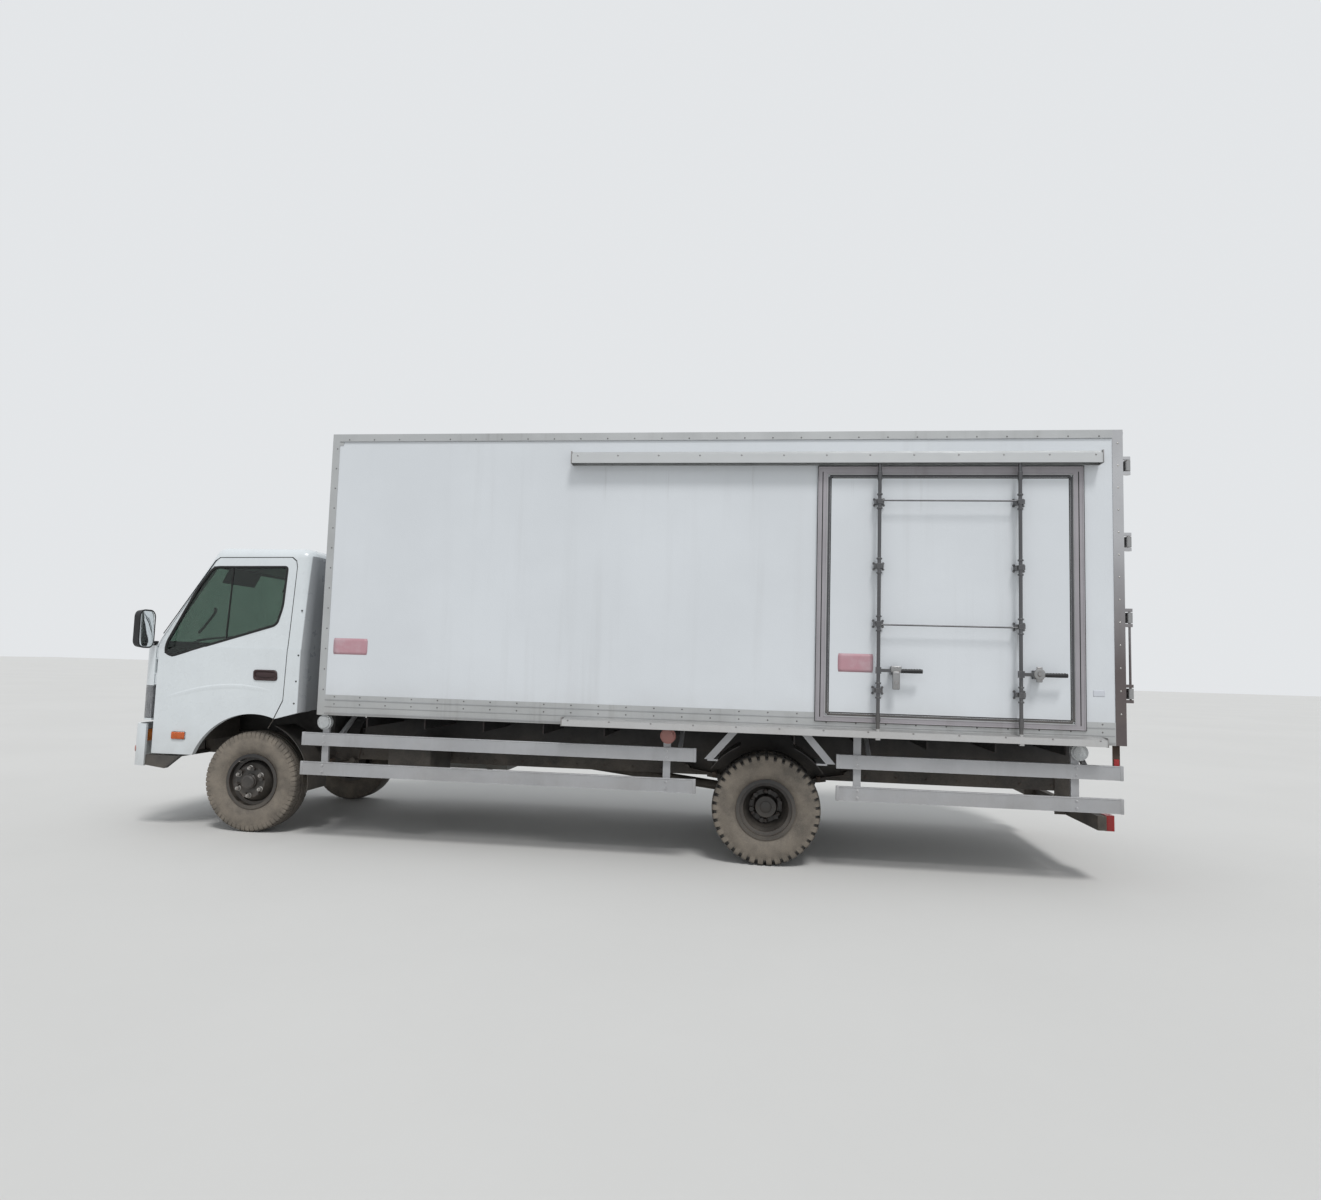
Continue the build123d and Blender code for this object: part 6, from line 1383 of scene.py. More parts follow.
def window_seals():
    """Black rubber round the screen, the door windows and the back window."""
    width = bpy.context.scene.truck_sizes.seal_width
    section = [(-width * 0.5, -0.003), (-width * 0.42, 0.0035), (-width * 0.1, 0.0055), (width * 0.3, 0.003),
               (width * 0.5, -0.001), (width * 0.45, -0.004)]
    outline = rounded_outline(inset_outline([(XF + x / 1000, z / 1000) for x, z in DOOR_WINDOW], 0.008), 0.045, 5)
    for name, side in SIDES:
        mesh = bmesh.new()

        def on_door(point, side=side):
            lean = CAB_LEAN / CAB_LEAN_RISE if point.y > BELT_Z else 0.0
            return (Vector((point.x, side * (side_y(point.y) - 0.002), point.y)),
                    Vector((0, side, lean)).normalized())

        seal_strip(mesh, outline, on_door, section)
        path = [(Vector((XF + 0.27, side * (side_y(z) - 0.006), z)), (1, 0, 0), (0, side, 0))
                for z in (1.58 + 0.0603 * k for k in range(11))]
        strip(mesh, [(-0.007, -0.004), (-0.005, 0.004), (0.005, 0.004), (0.007, -0.004)], path)
        make_piece(f"door_window_seal_{name}", mesh, "seal", f"cab_door_{name}", 70)
    corners = [Vector(c) for c in ((0.875, 1.53), (0.8, 2.205), (-0.8, 2.205), (-0.875, 1.53))]
    dense = [corners[i].lerp(corners[(i + 1) % 4], k / 12) for i in range(4) for k in range(12)]

    def on_screen(point):
        x = screen_x(point.x, point.y)
        slope = (screen_x(point.x + 0.002, point.y) - screen_x(point.x - 0.002, point.y)) / 0.004
        normal = Vector((1.0, -slope, SCREEN_SLOPE)).normalized()
        return Vector((x, point.x, point.y)) - normal * 0.002, normal

    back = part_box("cab_frame")[0].x

    def on_back(point):
        lean = 0.02 * max(0.0, point.y - 1.44) / 0.905
        return Vector((back + lean, point.x, point.y)), Vector((-1, 0, 0.022)).normalized()

    back_corners = [(0.515, 1.605), (0.515, 2.075), (-0.515, 2.075), (-0.515, 1.605)]
    for name, outline, place in (("screen_seal", rounded_outline(inset_outline(dense, 0.006), 0.03, 1), on_screen),
                                 ("back_window_seal", rounded_outline(back_corners, 0.06, 5), on_back)):
        mesh = bmesh.new()
        seal_strip(mesh, outline, place, section)
        make_piece(name, mesh, "seal", "cab", 70)


def wipers():
    """Two wiper arms that rest at the screen's foot, with hinged blades."""
    mesh = bmesh.new()

    def on(y, z, off):
        return Vector((screen_x(y, z), y, z)) + Vector(SCREEN_OUT) * off

    for foot_y, tip_y in ((0.52, -0.1), (-0.1, -0.7)):
        lathe(mesh, on(foot_y, 1.512, 0.0), SCREEN_OUT,
              [(-0.006, 0.02), (0.01, 0.02), (0.018, 0.015), (0.024, 0.013), (0.026, 0.0)], 18)
        arm = [on(foot_y, 1.512, 0.02), on(foot_y * 0.8 + tip_y * 0.2, 1.535, 0.028),
               on(foot_y * 0.45 + tip_y * 0.55, 1.58, 0.02), on(foot_y * 0.35 + tip_y * 0.65, 1.592, 0.014)]
        tube(mesh, smooth_run(arm, 4), 0.0055, 8)
        path = [(on(foot_y + (tip_y - foot_y) * (0.12 + 0.98 * t) - 0.02, 1.56 + 0.055 * t,
                    0.012 - 0.01 * (2 * t - 1) ** 2), SCREEN_OUT, SCREEN_UP) for t in spread(0, 1, 12)]
        strip(mesh, [(-0.01, -0.002), (0.0, -0.004), (0.008, -0.006), (0.008, 0.006), (0.0, 0.004), (-0.01, 0.002)],
              path)
    make_piece("screen_wipers", mesh, "seal", "cab", 50)


def door_handle(name, side):
    """Maroon handle: a dished surround with a paddle that stands over it."""
    mesh = bmesh.new()
    x0, x1, z0, z1 = XF - 0.218, XF - 0.004, 1.238, 1.326
    skin = side * CAB_OUT
    rows = []
    for grow, out in ((0.0, -0.002), (0.0, 0.005), (-0.005, 0.0105), (-0.01, 0.0115), (-0.014, 0.009),
                      (-0.017, 0.003), (-0.024, 0.001), (-0.036, 0.0005)):
        outline = rounded_outline([(x0 - grow, z0 - grow), (x1 + grow, z0 - grow), (x1 + grow + 0.004, z1 + grow),
                                   (x0 - grow + 0.01, z1 + grow)], 0.03 + grow * 0.6, 6)
        rows.append([mesh.verts.new((p.x, skin + side * out, p.y)) for p in outline])
    join_rings(mesh, rows, ends=(-1,))
    rows = []
    for t in spread(0, 1, 12):
        bow = 0.0035 + 0.0085 * math.sin(math.pi * min(1.0, t * 1.06)) ** 0.6
        high = 0.017 + 0.005 * math.sin(math.pi * t)
        section = [(-high, -0.003), (-high * 0.9, 0.003), (-high * 0.4, 0.0055), (high * 0.4, 0.0055),
                   (high * 0.9, 0.003), (high, -0.003)]
        rows.append([mesh.verts.new((x0 + 0.02 + (x1 - x0 - 0.034) * t, skin + side * (bow + out - 0.006),
                                     (z0 + z1) / 2 + 0.004 + up)) for up, out in section])
    join_rings(mesh, rows, ends=(0, -1))
    lathe(mesh, (x0 + 0.03, skin, z0 + 0.02), (0, side, 0),
          [(0.0, 0.009), (0.003, 0.009), (0.004, 0.007), (0.0035, 0.0)], 16)
    make_piece(f"door_handle_{name}", mesh, "handle", f"cab_door_{name}", 40,
               replaces=(f"door_fittings_{name}",))


def side_lamp(name, side):
    """Amber turn lamp on the door, crowned over a pale base."""
    x0, x1, z0, z1 = XF + 0.565, XF + 0.692, 0.73, 0.798
    for label, finish, start, inset, depth in (("base", "clear_lens", -0.001, 0.0, 0.006),
                                               ("lens", "amber_lens", 0.005, 0.005, 0.0105)):
        mesh = bmesh.new()
        rows = []
        for share, pull in ((0.0, 0.0), (0.45, 0.0), (0.75, 0.002), (0.92, 0.006), (1.0, 0.014)):
            outline = rounded_outline(oblong(x0 + inset + pull, x1 - inset - pull, z0 + inset + pull,
                                             z1 - inset - pull), 0.008, 3)
            rows.append([mesh.verts.new((p.x, side * CAB_OUT + side * (start + depth * share), p.y))
                         for p in outline])
        join_rings(mesh, rows, ends=(0, -1))
        make_piece(f"side_lamp_{label}_{name}", mesh, finish, f"cab_door_{name}", 40)


def door_outsides():
    """Handles, turn lamps and the soft crease over each wheel arch."""
    for name, side in SIDES:
        door_handle(name, side)
        side_lamp(name, side)
        mesh = bmesh.new()
        path = [(Vector((XF + 0.8 - 0.99 * t, side * (CAB_OUT - 0.0012),
                         1.00 + 0.185 * math.sin(math.pi * min(1.0, 0.1 + 0.62 * t)))),
                 (0, side * (0.0045 * math.sin(math.pi * t) ** 0.5 + 0.0002), 0), (0, 0, 1))
                for t in spread(0, 1, 24)]
        strip(mesh, [(-0.3, -0.05), (0.55, -0.012), (1.0, 0.004), (0.75, 0.014), (-0.3, 0.022)], path)
        make_piece(f"door_crease_{name}", mesh, "cab_paint", f"cab_door_{name}", 80)


def shut_lines():
    """Dark rubber sunk in the gap over and behind each cab door."""
    line = [Vector((XF + x / 1000, z / 1000)) for x, z in DOOR_GAP_LINE]
    dense = []
    for first, second in zip(line, line[1:]):
        parts = max(1, int((second - first).length / 0.08))
        dense += [first.lerp(second, k / parts) for k in range(parts)]
    for name, side in SIDES:
        mesh = bmesh.new()
        tube(mesh, [(p.x, side * (side_y(p.y) - 0.006), p.y) for p in dense + line[-1:]], 0.0036, 8)
        make_piece(f"door_gap_rubber_{name}", mesh, "seal", "cab", 80)


def quarter_hole_shade_dots():
    """Small black domes on the cab's rear quarters, whose black is the painted shade inside small holes."""
    mesh = bmesh.new()
    for _, side in SIDES:
        for x, z in ((XF - 0.385, 1.452), (XF - 0.378, 1.24), (XF - 0.38, 1.82), (XF - 0.372, 1.06)):
            lathe(mesh, (x, side * (side_y(z) - 0.001), z), (0, side, 0),
                  [(0.0, 0.0075), (0.002, 0.0075), (0.003, 0.006), (0.0035, 0.0)], 12)
    make_piece("quarter_plugs", mesh, "seal", "cab", 50)


def lamp_insides():
    """Reflector bowls and bulbs behind each headlamp's cover."""
    front = XF + 1.031
    for name, side in SIDES:
        bowls, bulbs = bmesh.new(), bmesh.new()
        for z, radius in ((1.045, 0.062), (0.945, 0.036)):
            lathe(bowls, (front, side * 0.735, z), (-1, 0, 0),
                  [(-0.003, radius), (-0.0035, radius - 0.006), (0.002, radius - 0.008), (0.016, radius * 0.72),
                   (0.026, radius * 0.42), (0.03, 0.012)], 36)
            lathe(bulbs, (front - 0.028, side * 0.735, z), (1, 0, 0),
                  [(0.0, 0.011), (0.01, 0.011), (0.018, 0.009), (0.022, 0.0)], 14)
        make_piece(f"lamp_bowls_{name}", bowls, "reflector", "cab", 50)
        make_piece(f"lamp_bulbs_{name}", bulbs, "clear_lens", "cab", 50)


def bumper_details():
    """Marker lamp on each corner, beads along the front and round covers."""
    beads, lamp = bmesh.new(), bmesh.new()
    for _, side in SIDES:
        lathe(lamp, (BUMPER_FACE - 0.055, side * 0.955, 0.64), Vector((0.75, side * 0.66, 0)),
              [(0.006, 0.03), (0.014, 0.028), (0.019, 0.02), (0.021, 0.0)], 24)
        lathe(beads, (BUMPER_FACE + 0.0005, side * 0.3, 0.565), (1, 0, 0),
              [(-0.004, 0.028), (0.0015, 0.028), (0.003, 0.025), (0.002, 0.0)], 24)
    for half, low, high, out in ((0.56, 0.835, 0.842, 0.003), (0.39, 0.7, 0.706, 0.0025)):
        sweep_box(beads, (BUMPER_FACE - 0.002, -half, low), (BUMPER_FACE + out, half, high), 0.002)
    make_piece("bumper_beads", beads, "cab_paint", "truck", 50)
    make_piece("bumper_corner_lamps", lamp, "pink_lens", "truck", 50)


def mirror_details():
    """Silvered glass in each mirror's back and clamps on its arms."""
    clamps = bmesh.new()
    outline = rounded_outline(oblong(-0.078, 0.078, -0.147, 0.147), 0.052, 7)
    for name, side in SIDES:
        mesh = bmesh.new()
        rows = [[mesh.verts.new((MIRROR_X - 0.028 - out, side * MIRROR_Y + p.x * share, MIRROR_Z + p.y * share))
                 for p in outline] for share, out in ((1.0, -0.0005), (0.97, 0.0015), (0.6, 0.0035), (0.25, 0.0045))]
        join_rings(mesh, rows, ends=(-1,))
        make_piece(f"mirror_glass_{name}", mesh, "mirror", "cab", 80)
        for z in (1.556, 1.716):
            lathe(clamps, (MIRROR_X + 0.064, side * (MIRROR_Y - 0.138), z), (0, 0, 1),
                  [(-0.014, 0.0125), (-0.013, 0.017), (0.013, 0.017), (0.014, 0.0125)], 18)
        lathe(clamps, (XF + 1.0, side * 0.85, 1.5), (0, 0, 1),
              [(0.0, 0.026), (0.004, 0.026), (0.008, 0.021), (0.014, 0.0185)], 24)
    make_piece("mirror_clamps", clamps, "black_plastic", "cab", 50)


# Cab interior

SEAT_BACK_X = XF - 0.33
SEAT_FRONT_X = XF + 0.15
CUSHION_SECTION = [(SEAT_BACK_X + 0.11, 1.206), (SEAT_FRONT_X - 0.03, 1.206), (SEAT_FRONT_X, 1.24),
                   (SEAT_FRONT_X - 0.008, 1.322), (SEAT_FRONT_X - 0.06, 1.34), (SEAT_BACK_X + 0.104, 1.312)]
BACK_SECTION = [(SEAT_BACK_X + 0.098, 1.23), (SEAT_BACK_X + 0.118, 1.35), (SEAT_BACK_X + 0.072, 1.825),
                (SEAT_BACK_X + 0.052, 1.855), (SEAT_BACK_X - 0.012, 1.855), (SEAT_BACK_X - 0.026, 1.82),
                (SEAT_BACK_X + 0.012, 1.23)]
REST_SECTION = [(SEAT_BACK_X - 0.022, 1.892), (SEAT_BACK_X + 0.046, 1.892), (SEAT_BACK_X + 0.05, 1.96),
                (SEAT_BACK_X + 0.036, 2.046), (SEAT_BACK_X - 0.016, 2.046), (SEAT_BACK_X - 0.025, 1.96)]


SEAT_PLACES = (("driver", -0.8, -0.3, (-0.55,), ()), ("bench", -0.25, 0.8, (0.02, 0.53), (0.275,)))
SWELL_STEPS = 20


def swollen(mesh, push, reach):
    """Let a cover swell as cloth under pressure; no point moves further than reach."""
    scene = bpy.context.scene
    made = linked("swelling_cover", mesh)
    remesh = made.modifiers.new("even_mesh", "REMESH")
    remesh.mode = "VOXEL"
    remesh.voxel_size = 0.01
    even = bpy.data.meshes.new_from_object(made.evaluated_get(bpy.context.evaluated_depsgraph_get()))
    made.modifiers.clear()
    made.data = even
    start = [vertex.co.copy() for vertex in even.vertices]
    cloth = made.modifiers.new("swell", "CLOTH")
    for key, value in (("quality", 6), ("mass", 0.3), ("tension_stiffness", 25), ("compression_stiffness", 25),
                       ("bending_stiffness", 2.0), ("use_pressure", True), ("uniform_pressure_force", push)):
        setattr(cloth.settings, key, value)
    cloth.settings.effector_weights.gravity = 0
    cloth.collision_settings.use_collision = False
    cloth.point_cache.frame_start, cloth.point_cache.frame_end = 1, SWELL_STEPS
    for step in range(1, SWELL_STEPS + 1):
        scene.frame_set(step)
    done = bpy.data.meshes.new_from_object(made.evaluated_get(bpy.context.evaluated_depsgraph_get()))
    made.modifiers.clear()
    scene.frame_set(1)
    for vertex, place in zip(even.vertices, start):
        move = done.vertices[vertex.index].co - place
        vertex.co = place + (move if move.length < reach else move.normalized() * reach)
    bpy.data.meshes.remove(done)
    bpy.data.objects.remove(made)
    return even


def pad(name, section, low, high, channels, facing, dip):
    """One padded cushion: an inset prism that swells, then gets its sewn channels."""
    mesh = bmesh.new()
    outline = rounded_outline(inset_outline(section, 0.006), 0.028, 4)
    rows = []
    for share, pull in ((0.0, 0.016), (0.012, 0.006), (0.05, 0.0), (0.25, -0.001), (0.5, -0.002), (0.75, -0.001),
                        (0.95, 0.0), (0.988, 0.006), (1.0, 0.016)):
        y = low + 0.006 + (high - low - 0.012) * share
        rows.append([mesh.verts.new((p.x, y, p.y)) for p in inset_outline(outline, pull)])
    join_rings(mesh, rows, ends=(0, -1))
    bmesh.ops.recalc_face_normals(mesh, faces=mesh.faces)
    data = swollen(mesh_data(mesh, name), 4.0, 0.011)
    facing = Vector(facing)
    for vertex in data.vertices:
        if vertex.normal.dot(facing) < 0.25:
            continue
        for y in channels:
            vertex.co -= facing * dip * math.exp(-((vertex.co.y - y) / 0.009) ** 2)
    data.name = name
    data.shade_smooth()
    data.materials.clear()
    data.materials.append(FINISH["cloth"])
    made = linked(name, data)
    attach(made, "cab")
    return made


def seat_set():
    """Cushions, backs and head rests in cloth, on steel bases."""
    for name, low, high, rests, split in SEAT_PLACES:
        lines = [low + 0.09, high - 0.09] + [middle_y + off for middle_y in split for off in (-0.09, 0.0, 0.09)]
        pad(f"seat_cushion_{name}", CUSHION_SECTION, low, high, lines, (0, 0, 1), 0.007)
        pad(f"seat_back_{name}", BACK_SECTION, low, high, lines, (1, 0, 0), 0.006)
        for i, y in enumerate(rests):
            pad(f"head_rest_{name}_{i + 1}", REST_SECTION, y - 0.125, y + 0.125, (), (1, 0, 0), 0.0)
    mesh = bmesh.new()
    back, front = SEAT_BACK_X, SEAT_FRONT_X
    for _, low, high, rests, _ in SEAT_PLACES:
        sweep_box(mesh, (back + 0.045, low + 0.034, 1.152), (front - 0.055, high - 0.034, 1.186), 0.008, 3)
        sweep_box(mesh, (back + 0.075, low + 0.06, 1.18), (front - 0.085, high - 0.06, 1.206), 0.006)
        for y in (low + 0.075, high - 0.075):
            sweep_box(mesh, (back + 0.05, y - 0.018, 1.15), (front - 0.05, y + 0.018, 1.164), 0.003)
        tube(mesh, [(front - 0.06, low + 0.1, 1.172), (front - 0.035, low + 0.1, 1.172),
                    (front - 0.03, low + 0.16, 1.172)], 0.006, 8)
        for y in (rest + post for rest in rests for post in (-0.05, 0.05)):
            tube(mesh, [(back + 0.012, y, 1.835), (back + 0.012, y, 1.9)], 0.0062, 12)
            lathe(mesh, (back + 0.012, y, 1.852), (0, 0, 1), [(0.0, 0.016), (0.007, 0.015), (0.011, 0.0105)], 16)
    make_piece("seat_bases", mesh, "black_plastic", "cab", 50)
    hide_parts("seats")


def on_dash(y, share, off=0.0):
    """Point on the dashboard's sloped face."""
    return Vector((XF + 0.61 + 0.07 * share, y, 1.33 + 0.12 * share)) + DASH_OUT * off


DASH_OUT = Vector((-0.864, 0, 0.504))
DASH_UP = Vector((0.504, 0, 0.864))


def dash_plate(mesh, y, share, width, height, off):
    """A rounded raised plate on the dashboard's sloped face."""
    centre = on_dash(y, share)
    outline = rounded_outline(oblong(-width, width, -height, height), min(width, height) * 0.4, 5)
    rows = [[mesh.verts.new(centre + Vector((0, 1, 0)) * (p.x * (1 - pull / width)) +
                            DASH_UP * (p.y * (1 - pull / height)) + DASH_OUT * out) for p in outline]
            for out, pull in ((-0.004, 0.0), (off - 0.002, 0.0), (off, 0.0024))]
    join_rings(mesh, rows, ends=(-1,))


def dial(mesh, pale, needles, y, radius):
    """One round dial with its rim, ring, ticks and needle, and no numbers."""
    centre = on_dash(y, 0.62, 0.008)

    def way(degrees):
        a = math.radians(degrees)
        return Vector((0, 1, 0)) * -math.cos(a) + DASH_UP * math.sin(a)

    lathe(mesh, centre, DASH_OUT, [(0.0, radius + 0.005), (0.007, radius + 0.004), (0.007, radius),
                                   (0.001, radius - 0.001), (0.001, 0.0)], 40)
    lathe(pale, centre, DASH_OUT,
          [(0.0012, radius - 0.002), (0.0016, radius - 0.0025), (0.0012, radius - 0.0035)], 40)
    for k in range(21):
        out = way(225 - 270 * k / 20)
        tube(pale, [centre + out * (radius - (0.011 if k % 5 == 0 else 0.007)) + DASH_OUT * 0.0014,
                    centre + out * (radius - 0.004) + DASH_OUT * 0.0014], 0.0006, 4)
    out = way(200)
    tube(needles, [centre - out * 0.006 + DASH_OUT * 0.003, centre + out * (radius - 0.01) + DASH_OUT * 0.003],
         0.0009, 5)


def dash_front(mesh, pale, needles):
    """Dials, air vents, switches and knobs on the dashboard's sloped face."""
    dash_plate(mesh, -0.54, 0.62, 0.195, 0.05, 0.008)
    for y, radius in ((-0.625, 0.04), (-0.455, 0.04), (-0.54, 0.026)):
        dial(mesh, pale, needles, y, radius)
    for y in (-0.84, 0.02, 0.2, 0.84):
        dash_plate(mesh, y, 0.68, 0.062, 0.03, 0.006)
        for k in range(5):
            centre = on_dash(y, 0.68, 0.009) + DASH_UP * (-0.02 + 0.01 * k)
            tube(mesh, [centre + Vector((0, -0.054, 0)), centre + Vector((0, 0.054, 0))], 0.0026, 6)
        lathe(mesh, on_dash(y, 0.68, 0.009), DASH_OUT, [(0.0, 0.007), (0.006, 0.006), (0.007, 0.0)], 12)
    dash_plate(mesh, 0.11, 0.24, 0.105, 0.024, 0.006)
    for k in range(6):
        lathe(pale, on_dash(0.03 + 0.032 * k, 0.24, 0.006), DASH_OUT, [(0.0, 0.008), (0.005, 0.007), (0.006, 0.0)],
              14)
    for k in range(3):
        lathe(mesh, on_dash(-0.18 + 0.055 * k, 0.3), DASH_OUT,
              [(0.0, 0.023), (0.004, 0.022), (0.018, 0.017), (0.02, 0.014), (0.02, 0.0)], 24)


def pedals_and_lever():
    """Three pedals with ribbed pads, and the gear lever with its knob and boot."""
    mesh = bmesh.new()
    for y, wide, tall in ((-0.735, 0.05, 0.075), (-0.6, 0.06, 0.07), (-0.46, 0.045, 0.11)):
        place = Vector((XF + 0.79, y, 1.095))
        tube(mesh, [place + Vector((out, 0, up)) for out, up in ((0.055, 0.13), (0.045, 0.06), (0.012, 0))],
             0.008, 8)
        sweep_box(mesh, place - Vector((0.008, wide / 2, tall / 2)),
                  place + Vector((0.012, wide / 2, tall / 2)), 0.005)
        for k in range(4):
            z = place.z - tall / 2 + tall * (k + 0.5) / 4
            tube(mesh, [(place.x - 0.009, y - wide * 0.4, z), (place.x - 0.009, y + wide * 0.4, z)], 0.0025, 6)
    lever = smooth_run([(XF + 0.46, -0.275, 1.14), (XF + 0.455, -0.275, 1.2), (XF + 0.435, -0.28, 1.28),
                        (XF + 0.405, -0.28, 1.355)], 4)
    tube(mesh, lever, 0.0075, 10)
    lathe(mesh, (XF + 0.4, -0.28, 1.35), (-0.25, 0, 1),
          [(0.0, 0.009), (0.008, 0.02), (0.028, 0.025), (0.042, 0.02), (0.048, 0.0)], 24)
    lathe(mesh, (XF + 0.46, -0.275, 1.15), (0, 0, 1),
          [(0.0, 0.07), (0.01, 0.066), (0.014, 0.052), (0.026, 0.05), (0.03, 0.036), (0.042, 0.034),
           (0.048, 0.01)], 28)
    make_piece("pedals_and_lever", mesh, "black_plastic", "cab", 45)


def dash_details():
    """The dashboard's front, its glove box lid, the stalks and the horn pad."""
    mesh, pale, needles, horn = bmesh.new(), bmesh.new(), bmesh.new(), bmesh.new()
    dash_front(mesh, pale, needles)
    lid_out = Vector((-0.974, 0, -0.225))
    lid = [Vector((XF + 0.64 - 0.03 * (z - 1.2) / 0.13, y, z)) + lid_out * 0.0005
           for y, z in ((0.36, 1.315), (0.9, 1.315), (0.9, 1.212), (0.36, 1.212))]
    tube(mesh, lid, 0.0028, 6, closed=True)
    sweep_box(mesh, (XF + 0.606, 0.63 - 0.035, 1.28), (XF + 0.628, 0.63 + 0.035, 1.3), 0.005)
    centre = Vector((XF + 0.415, -0.54, 1.455))
    run = (Vector((XF + 0.72, -0.54, 1.06)) - centre).normalized()
    for _, side in SIDES:
        foot = centre + run * 0.105 + Vector((0, side * 0.038, 0))
        stalk = [foot + Vector((0, side * y, z)) for y, z in ((0, 0), (0.05, 0.012), (0.125, 0.03), (0.15, 0.032))]
        tube(mesh, smooth_run(stalk, 4), 0.0065, 10)
    lathe(horn, centre, -run, [(-0.02, 0.05), (0.004, 0.049), (0.012, 0.042), (0.015, 0.025), (0.016, 0.0)], 32)
    make_piece("horn_pad", horn, "black_plastic", "steering_wheel", 40)
    make_piece("dash_fittings", mesh, "black_plastic", "cab", 40)
    make_piece("dial_marks", pale, "reflector", "cab", 60)
    make_piece("dial_needles", needles, "amber_lens", "cab", 60)
    pedals_and_lever()


def door_inners():
    """Moulded trims inside the cab's doors, with arm rest, pull and speaker."""
    inner = CAB_OUT - 0.042
    outline = rounded_outline([(XF - 0.235, 1.13), (XF - 0.13, 0.985), (XF + 0.56, 0.985), (XF + 0.585, 1.375),
                               (XF - 0.18, 1.61), (XF - 0.215, 1.56)], 0.06, 6)
    for name, side in SIDES:
        mesh = bmesh.new()
        rows = [[mesh.verts.new((p.x, side * (inner - out), p.y)) for p in inset_outline(outline, pull)]
                for out, pull in ((0.0005, 0.0), (0.006, 0.0), (0.009, 0.004), (0.01, 0.014))]
        join_rings(mesh, rows, ends=(-1,))
        rest = [(Vector((XF - 0.19 + 0.58 * t, side * (inner - 0.006), 1.275 + 0.03 * t)),
                 (0, -side * (0.02 + 0.04 * math.sin(math.pi * t) ** 0.5), 0), (0, 0, 1)) for t in spread(0, 1, 14)]
        strip(mesh, [(0.0, -0.034), (0.6, -0.028), (0.95, -0.01), (1.0, 0.006), (0.9, 0.018), (0.0, 0.024)], rest)
        pull = smooth_run([(XF + ahead, side * (inner - inward), z) for ahead, inward, z in
                           ((0.1, 0.01, 1.375), (0.13, 0.038, 1.385), (0.24, 0.04, 1.385), (0.27, 0.01, 1.375))], 5)
        tube(mesh, pull, 0.009, 10)
        lathe(mesh, (XF + 0.43, side * (inner - 0.008), 1.105), (0, -side, 0),
              [(0.0, 0.082), (0.006, 0.08), (0.008, 0.072), (0.004, 0.068)] +
              [(0.004 + 0.002 * (k % 2), 0.064 - 0.008 * k) for k in range(7)] + [(0.006, 0.0)], 36)
        make_piece(f"door_inner_trim_{name}", mesh, "interior", f"cab_door_{name}", 45)


def cab_lining():
    """Sun visors and grab handles inside the cab."""
    mesh = bmesh.new()
    for y in (-0.45, 0.45):
        rows = []
        for t in spread(0, 1, 12):
            z = 2.19 - 0.125 * t
            bow = 0.008 + 0.004 * math.sin(math.pi * t)
            rows.append((Vector((screen_x(y, z) - 0.075 - 0.01 * t, y, z)), (0, 1, 0), (bow / 0.012, 0, bow / 0.02)))
        strip(mesh, [(-0.23, 0.0), (-0.225, 0.006), (0.225, 0.006), (0.23, 0.0), (0.225, -0.006),
                     (-0.225, -0.006)], rows)
    for _, side in SIDES:
        grab = [(XF + ahead, side * across, z) for ahead, across, z in
                ((0.6, 0.865, 1.62), (0.585, 0.835, 1.66), (0.5, 0.82, 1.79), (0.475, 0.85, 1.83))]
        tube(mesh, smooth_run(grab, 5), 0.011, 12)
    make_piece("visors_and_grab_handles", mesh, "interior", "cab", 50)


# Operators


class TRUCK_OT_studio(bpy.types.Operator):
    """Make the floor, the world, the key light and the camera."""

    bl_idname = "truck.studio"
    bl_label = "Studio"

    def execute(self, context):
        build_studio()
        return {"FINISHED"}


class TRUCK_OT_finishes(bpy.types.Operator):
    """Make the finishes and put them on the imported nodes."""

    bl_idname = "truck.finishes"
    bl_label = "Finishes"

    def execute(self, context):
        build_groups()
        build_finishes()
        finish_nodes()
        return {"FINISHED"}


class TRUCK_OT_box_trims(bpy.types.Operator):
    """Add rivets and rolled ribs to the box's trims."""

    bl_idname = "truck.box_trims"
    bl_label = "Box trims"

    def execute(self, context):
        rivet_rows()
        lower_ribs()
        return {"FINISHED"}


class TRUCK_OT_side_door(bpy.types.Operator):
    """Add the plug door's seal, border, lock hardware and rail fittings."""

    bl_idname = "truck.side_door"
    bl_label = "Side door"

    def execute(self, context):
        side_door_seal()
        side_door_frame()
        lock_hardware()
        rail_fittings()
        return {"FINISHED"}


class TRUCK_OT_labels(bpy.types.Operator):
    """Add the blank stickers to the box."""

    bl_idname = "truck.labels"
    bl_label = "Blank labels"

    def execute(self, context):
        blank_labels()
        return {"FINISHED"}


class TRUCK_OT_rear_doors(bpy.types.Operator):
    """Add the rear doors' seals and bolts, and the blank plate."""

    bl_idname = "truck.rear_doors"
    bl_label = "Rear doors"

    def execute(self, context):
        rear_door_fittings()
        return {"FINISHED"}


class TRUCK_OT_load_space(bpy.types.Operator):
    """Add the fan guards inside the load space."""

    bl_idname = "truck.load_space"
    bl_label = "Load space"

    def execute(self, context):
        evaporator_details()
        return {"FINISHED"}


class TRUCK_OT_tyres(bpy.types.Operator):
    """Put detailed tyres in place of the plain ones."""

    bl_idname = "truck.tyres"
    bl_label = "Tyres"

    def execute(self, context):
        tyres()
        return {"FINISHED"}


class TRUCK_OT_wheels(bpy.types.Operator):
    """Add nuts, hub caps and valves to the wheels."""

    bl_idname = "truck.wheels"
    bl_label = "Wheel fittings"

    def execute(self, context):
        wheel_fittings()
        return {"FINISHED"}


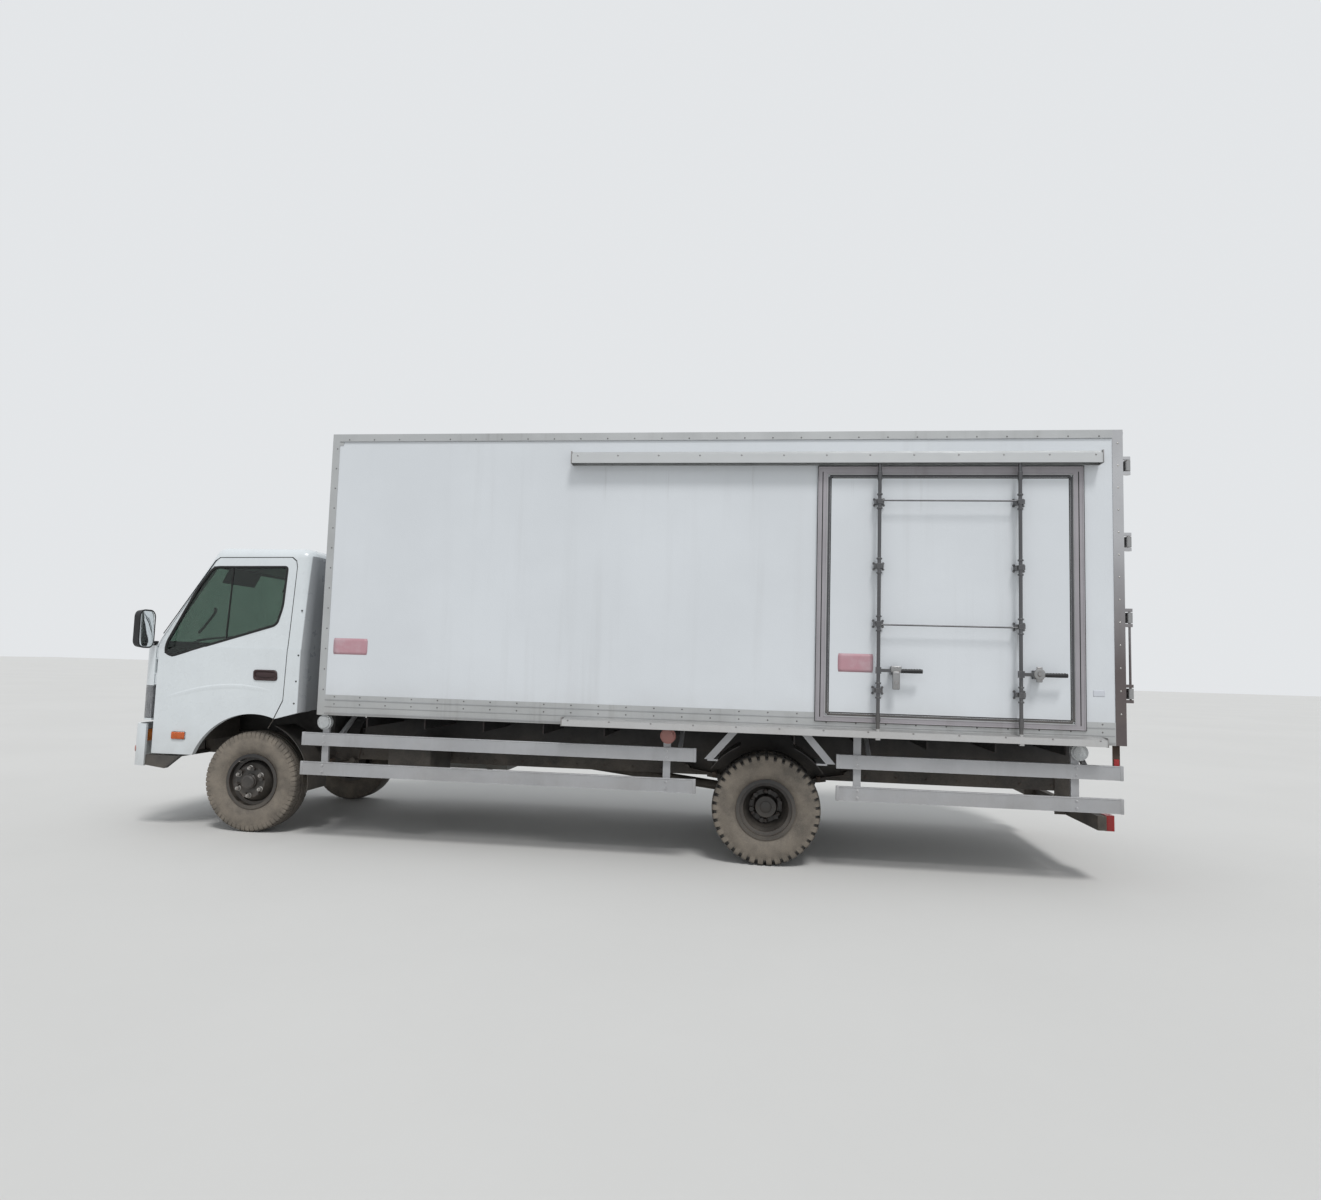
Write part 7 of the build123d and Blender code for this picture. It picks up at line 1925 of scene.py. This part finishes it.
class TRUCK_OT_chassis(bpy.types.Operator):
    """Add bolts, clamps, straps and pipes to the chassis and the side guards."""

    bl_idname = "truck.chassis"
    bl_label = "Chassis fittings"

    def execute(self, context):
        guard_fittings()
        chassis_fittings()
        return {"FINISHED"}


class TRUCK_OT_cab_glass(bpy.types.Operator):
    """Add rubber round the cab's windows, and the wipers."""

    bl_idname = "truck.cab_glass"
    bl_label = "Cab seals and wipers"

    def execute(self, context):
        window_seals()
        wipers()
        return {"FINISHED"}


class TRUCK_OT_cab_outside(bpy.types.Operator):
    """Add handles, lamps, creases, black dots of painted hole shade and mirror glass to the cab."""

    bl_idname = "truck.cab_outside"
    bl_label = "Cab outside"

    def execute(self, context):
        door_outsides()
        shut_lines()
        quarter_hole_shade_dots()
        lamp_insides()
        bumper_details()
        mirror_details()
        return {"FINISHED"}


class TRUCK_OT_seats(bpy.types.Operator):
    """Put padded seats in place of the plain ones."""

    bl_idname = "truck.seats"
    bl_label = "Seats"

    def execute(self, context):
        seat_set()
        return {"FINISHED"}


class TRUCK_OT_cab_inside(bpy.types.Operator):
    """Add the dashboard's fittings, pedals, door trims and visors."""

    bl_idname = "truck.cab_inside"
    bl_label = "Cab inside"

    def execute(self, context):
        dash_details()
        door_inners()
        cab_lining()
        return {"FINISHED"}


OPERATORS = (TRUCK_OT_finishes, TRUCK_OT_studio, TRUCK_OT_box_trims, TRUCK_OT_side_door, TRUCK_OT_labels,
             TRUCK_OT_rear_doors, TRUCK_OT_load_space, TRUCK_OT_tyres, TRUCK_OT_wheels, TRUCK_OT_chassis,
             TRUCK_OT_cab_glass, TRUCK_OT_cab_outside, TRUCK_OT_seats, TRUCK_OT_cab_inside)


class TRUCK_PT_sidebar(bpy.types.Panel):
    """Lists the truck's settings and the steps that dress it."""

    bl_idname = "TRUCK_PT_sidebar"
    bl_label = "Refrigerated truck"
    bl_space_type = "VIEW_3D"
    bl_region_type = "UI"
    bl_category = "Truck"

    def draw(self, context):
        for group in (context.scene.truck_colours, context.scene.truck_sizes, context.scene.truck_studio):
            column = self.layout.column(align=True)
            for name in group.__annotations__:
                column.prop(group, name)
        for operator in OPERATORS:
            self.layout.operator(operator.bl_idname)


SETTINGS = (("truck_colours", TruckColours), ("truck_sizes", TruckSizes), ("truck_studio", TruckStudio))


def register():
    """Register the settings, the operators and the panel."""
    for name, kind in SETTINGS:
        bpy.utils.register_class(kind)
        setattr(bpy.types.Scene, name, PointerProperty(type=kind))
    for kind in OPERATORS + (TRUCK_PT_sidebar,):
        bpy.utils.register_class(kind)


def unregister():
    """Take everything that register added away again."""
    for kind in reversed(OPERATORS + (TRUCK_PT_sidebar,)):
        bpy.utils.unregister_class(kind)
    for name, kind in reversed(SETTINGS):
        delattr(bpy.types.Scene, name)
        bpy.utils.unregister_class(kind)


def main():
    """Dress the truck."""
    register()
    for operator in OPERATORS:
        group, name = operator.bl_idname.split(".")
        if getattr(getattr(bpy.ops, group), name)() != {"FINISHED"}:
            raise RuntimeError(f"{operator.bl_label} did not finish")
    bpy.context.view_layer.update()


if __name__ == "__main__":
    main()
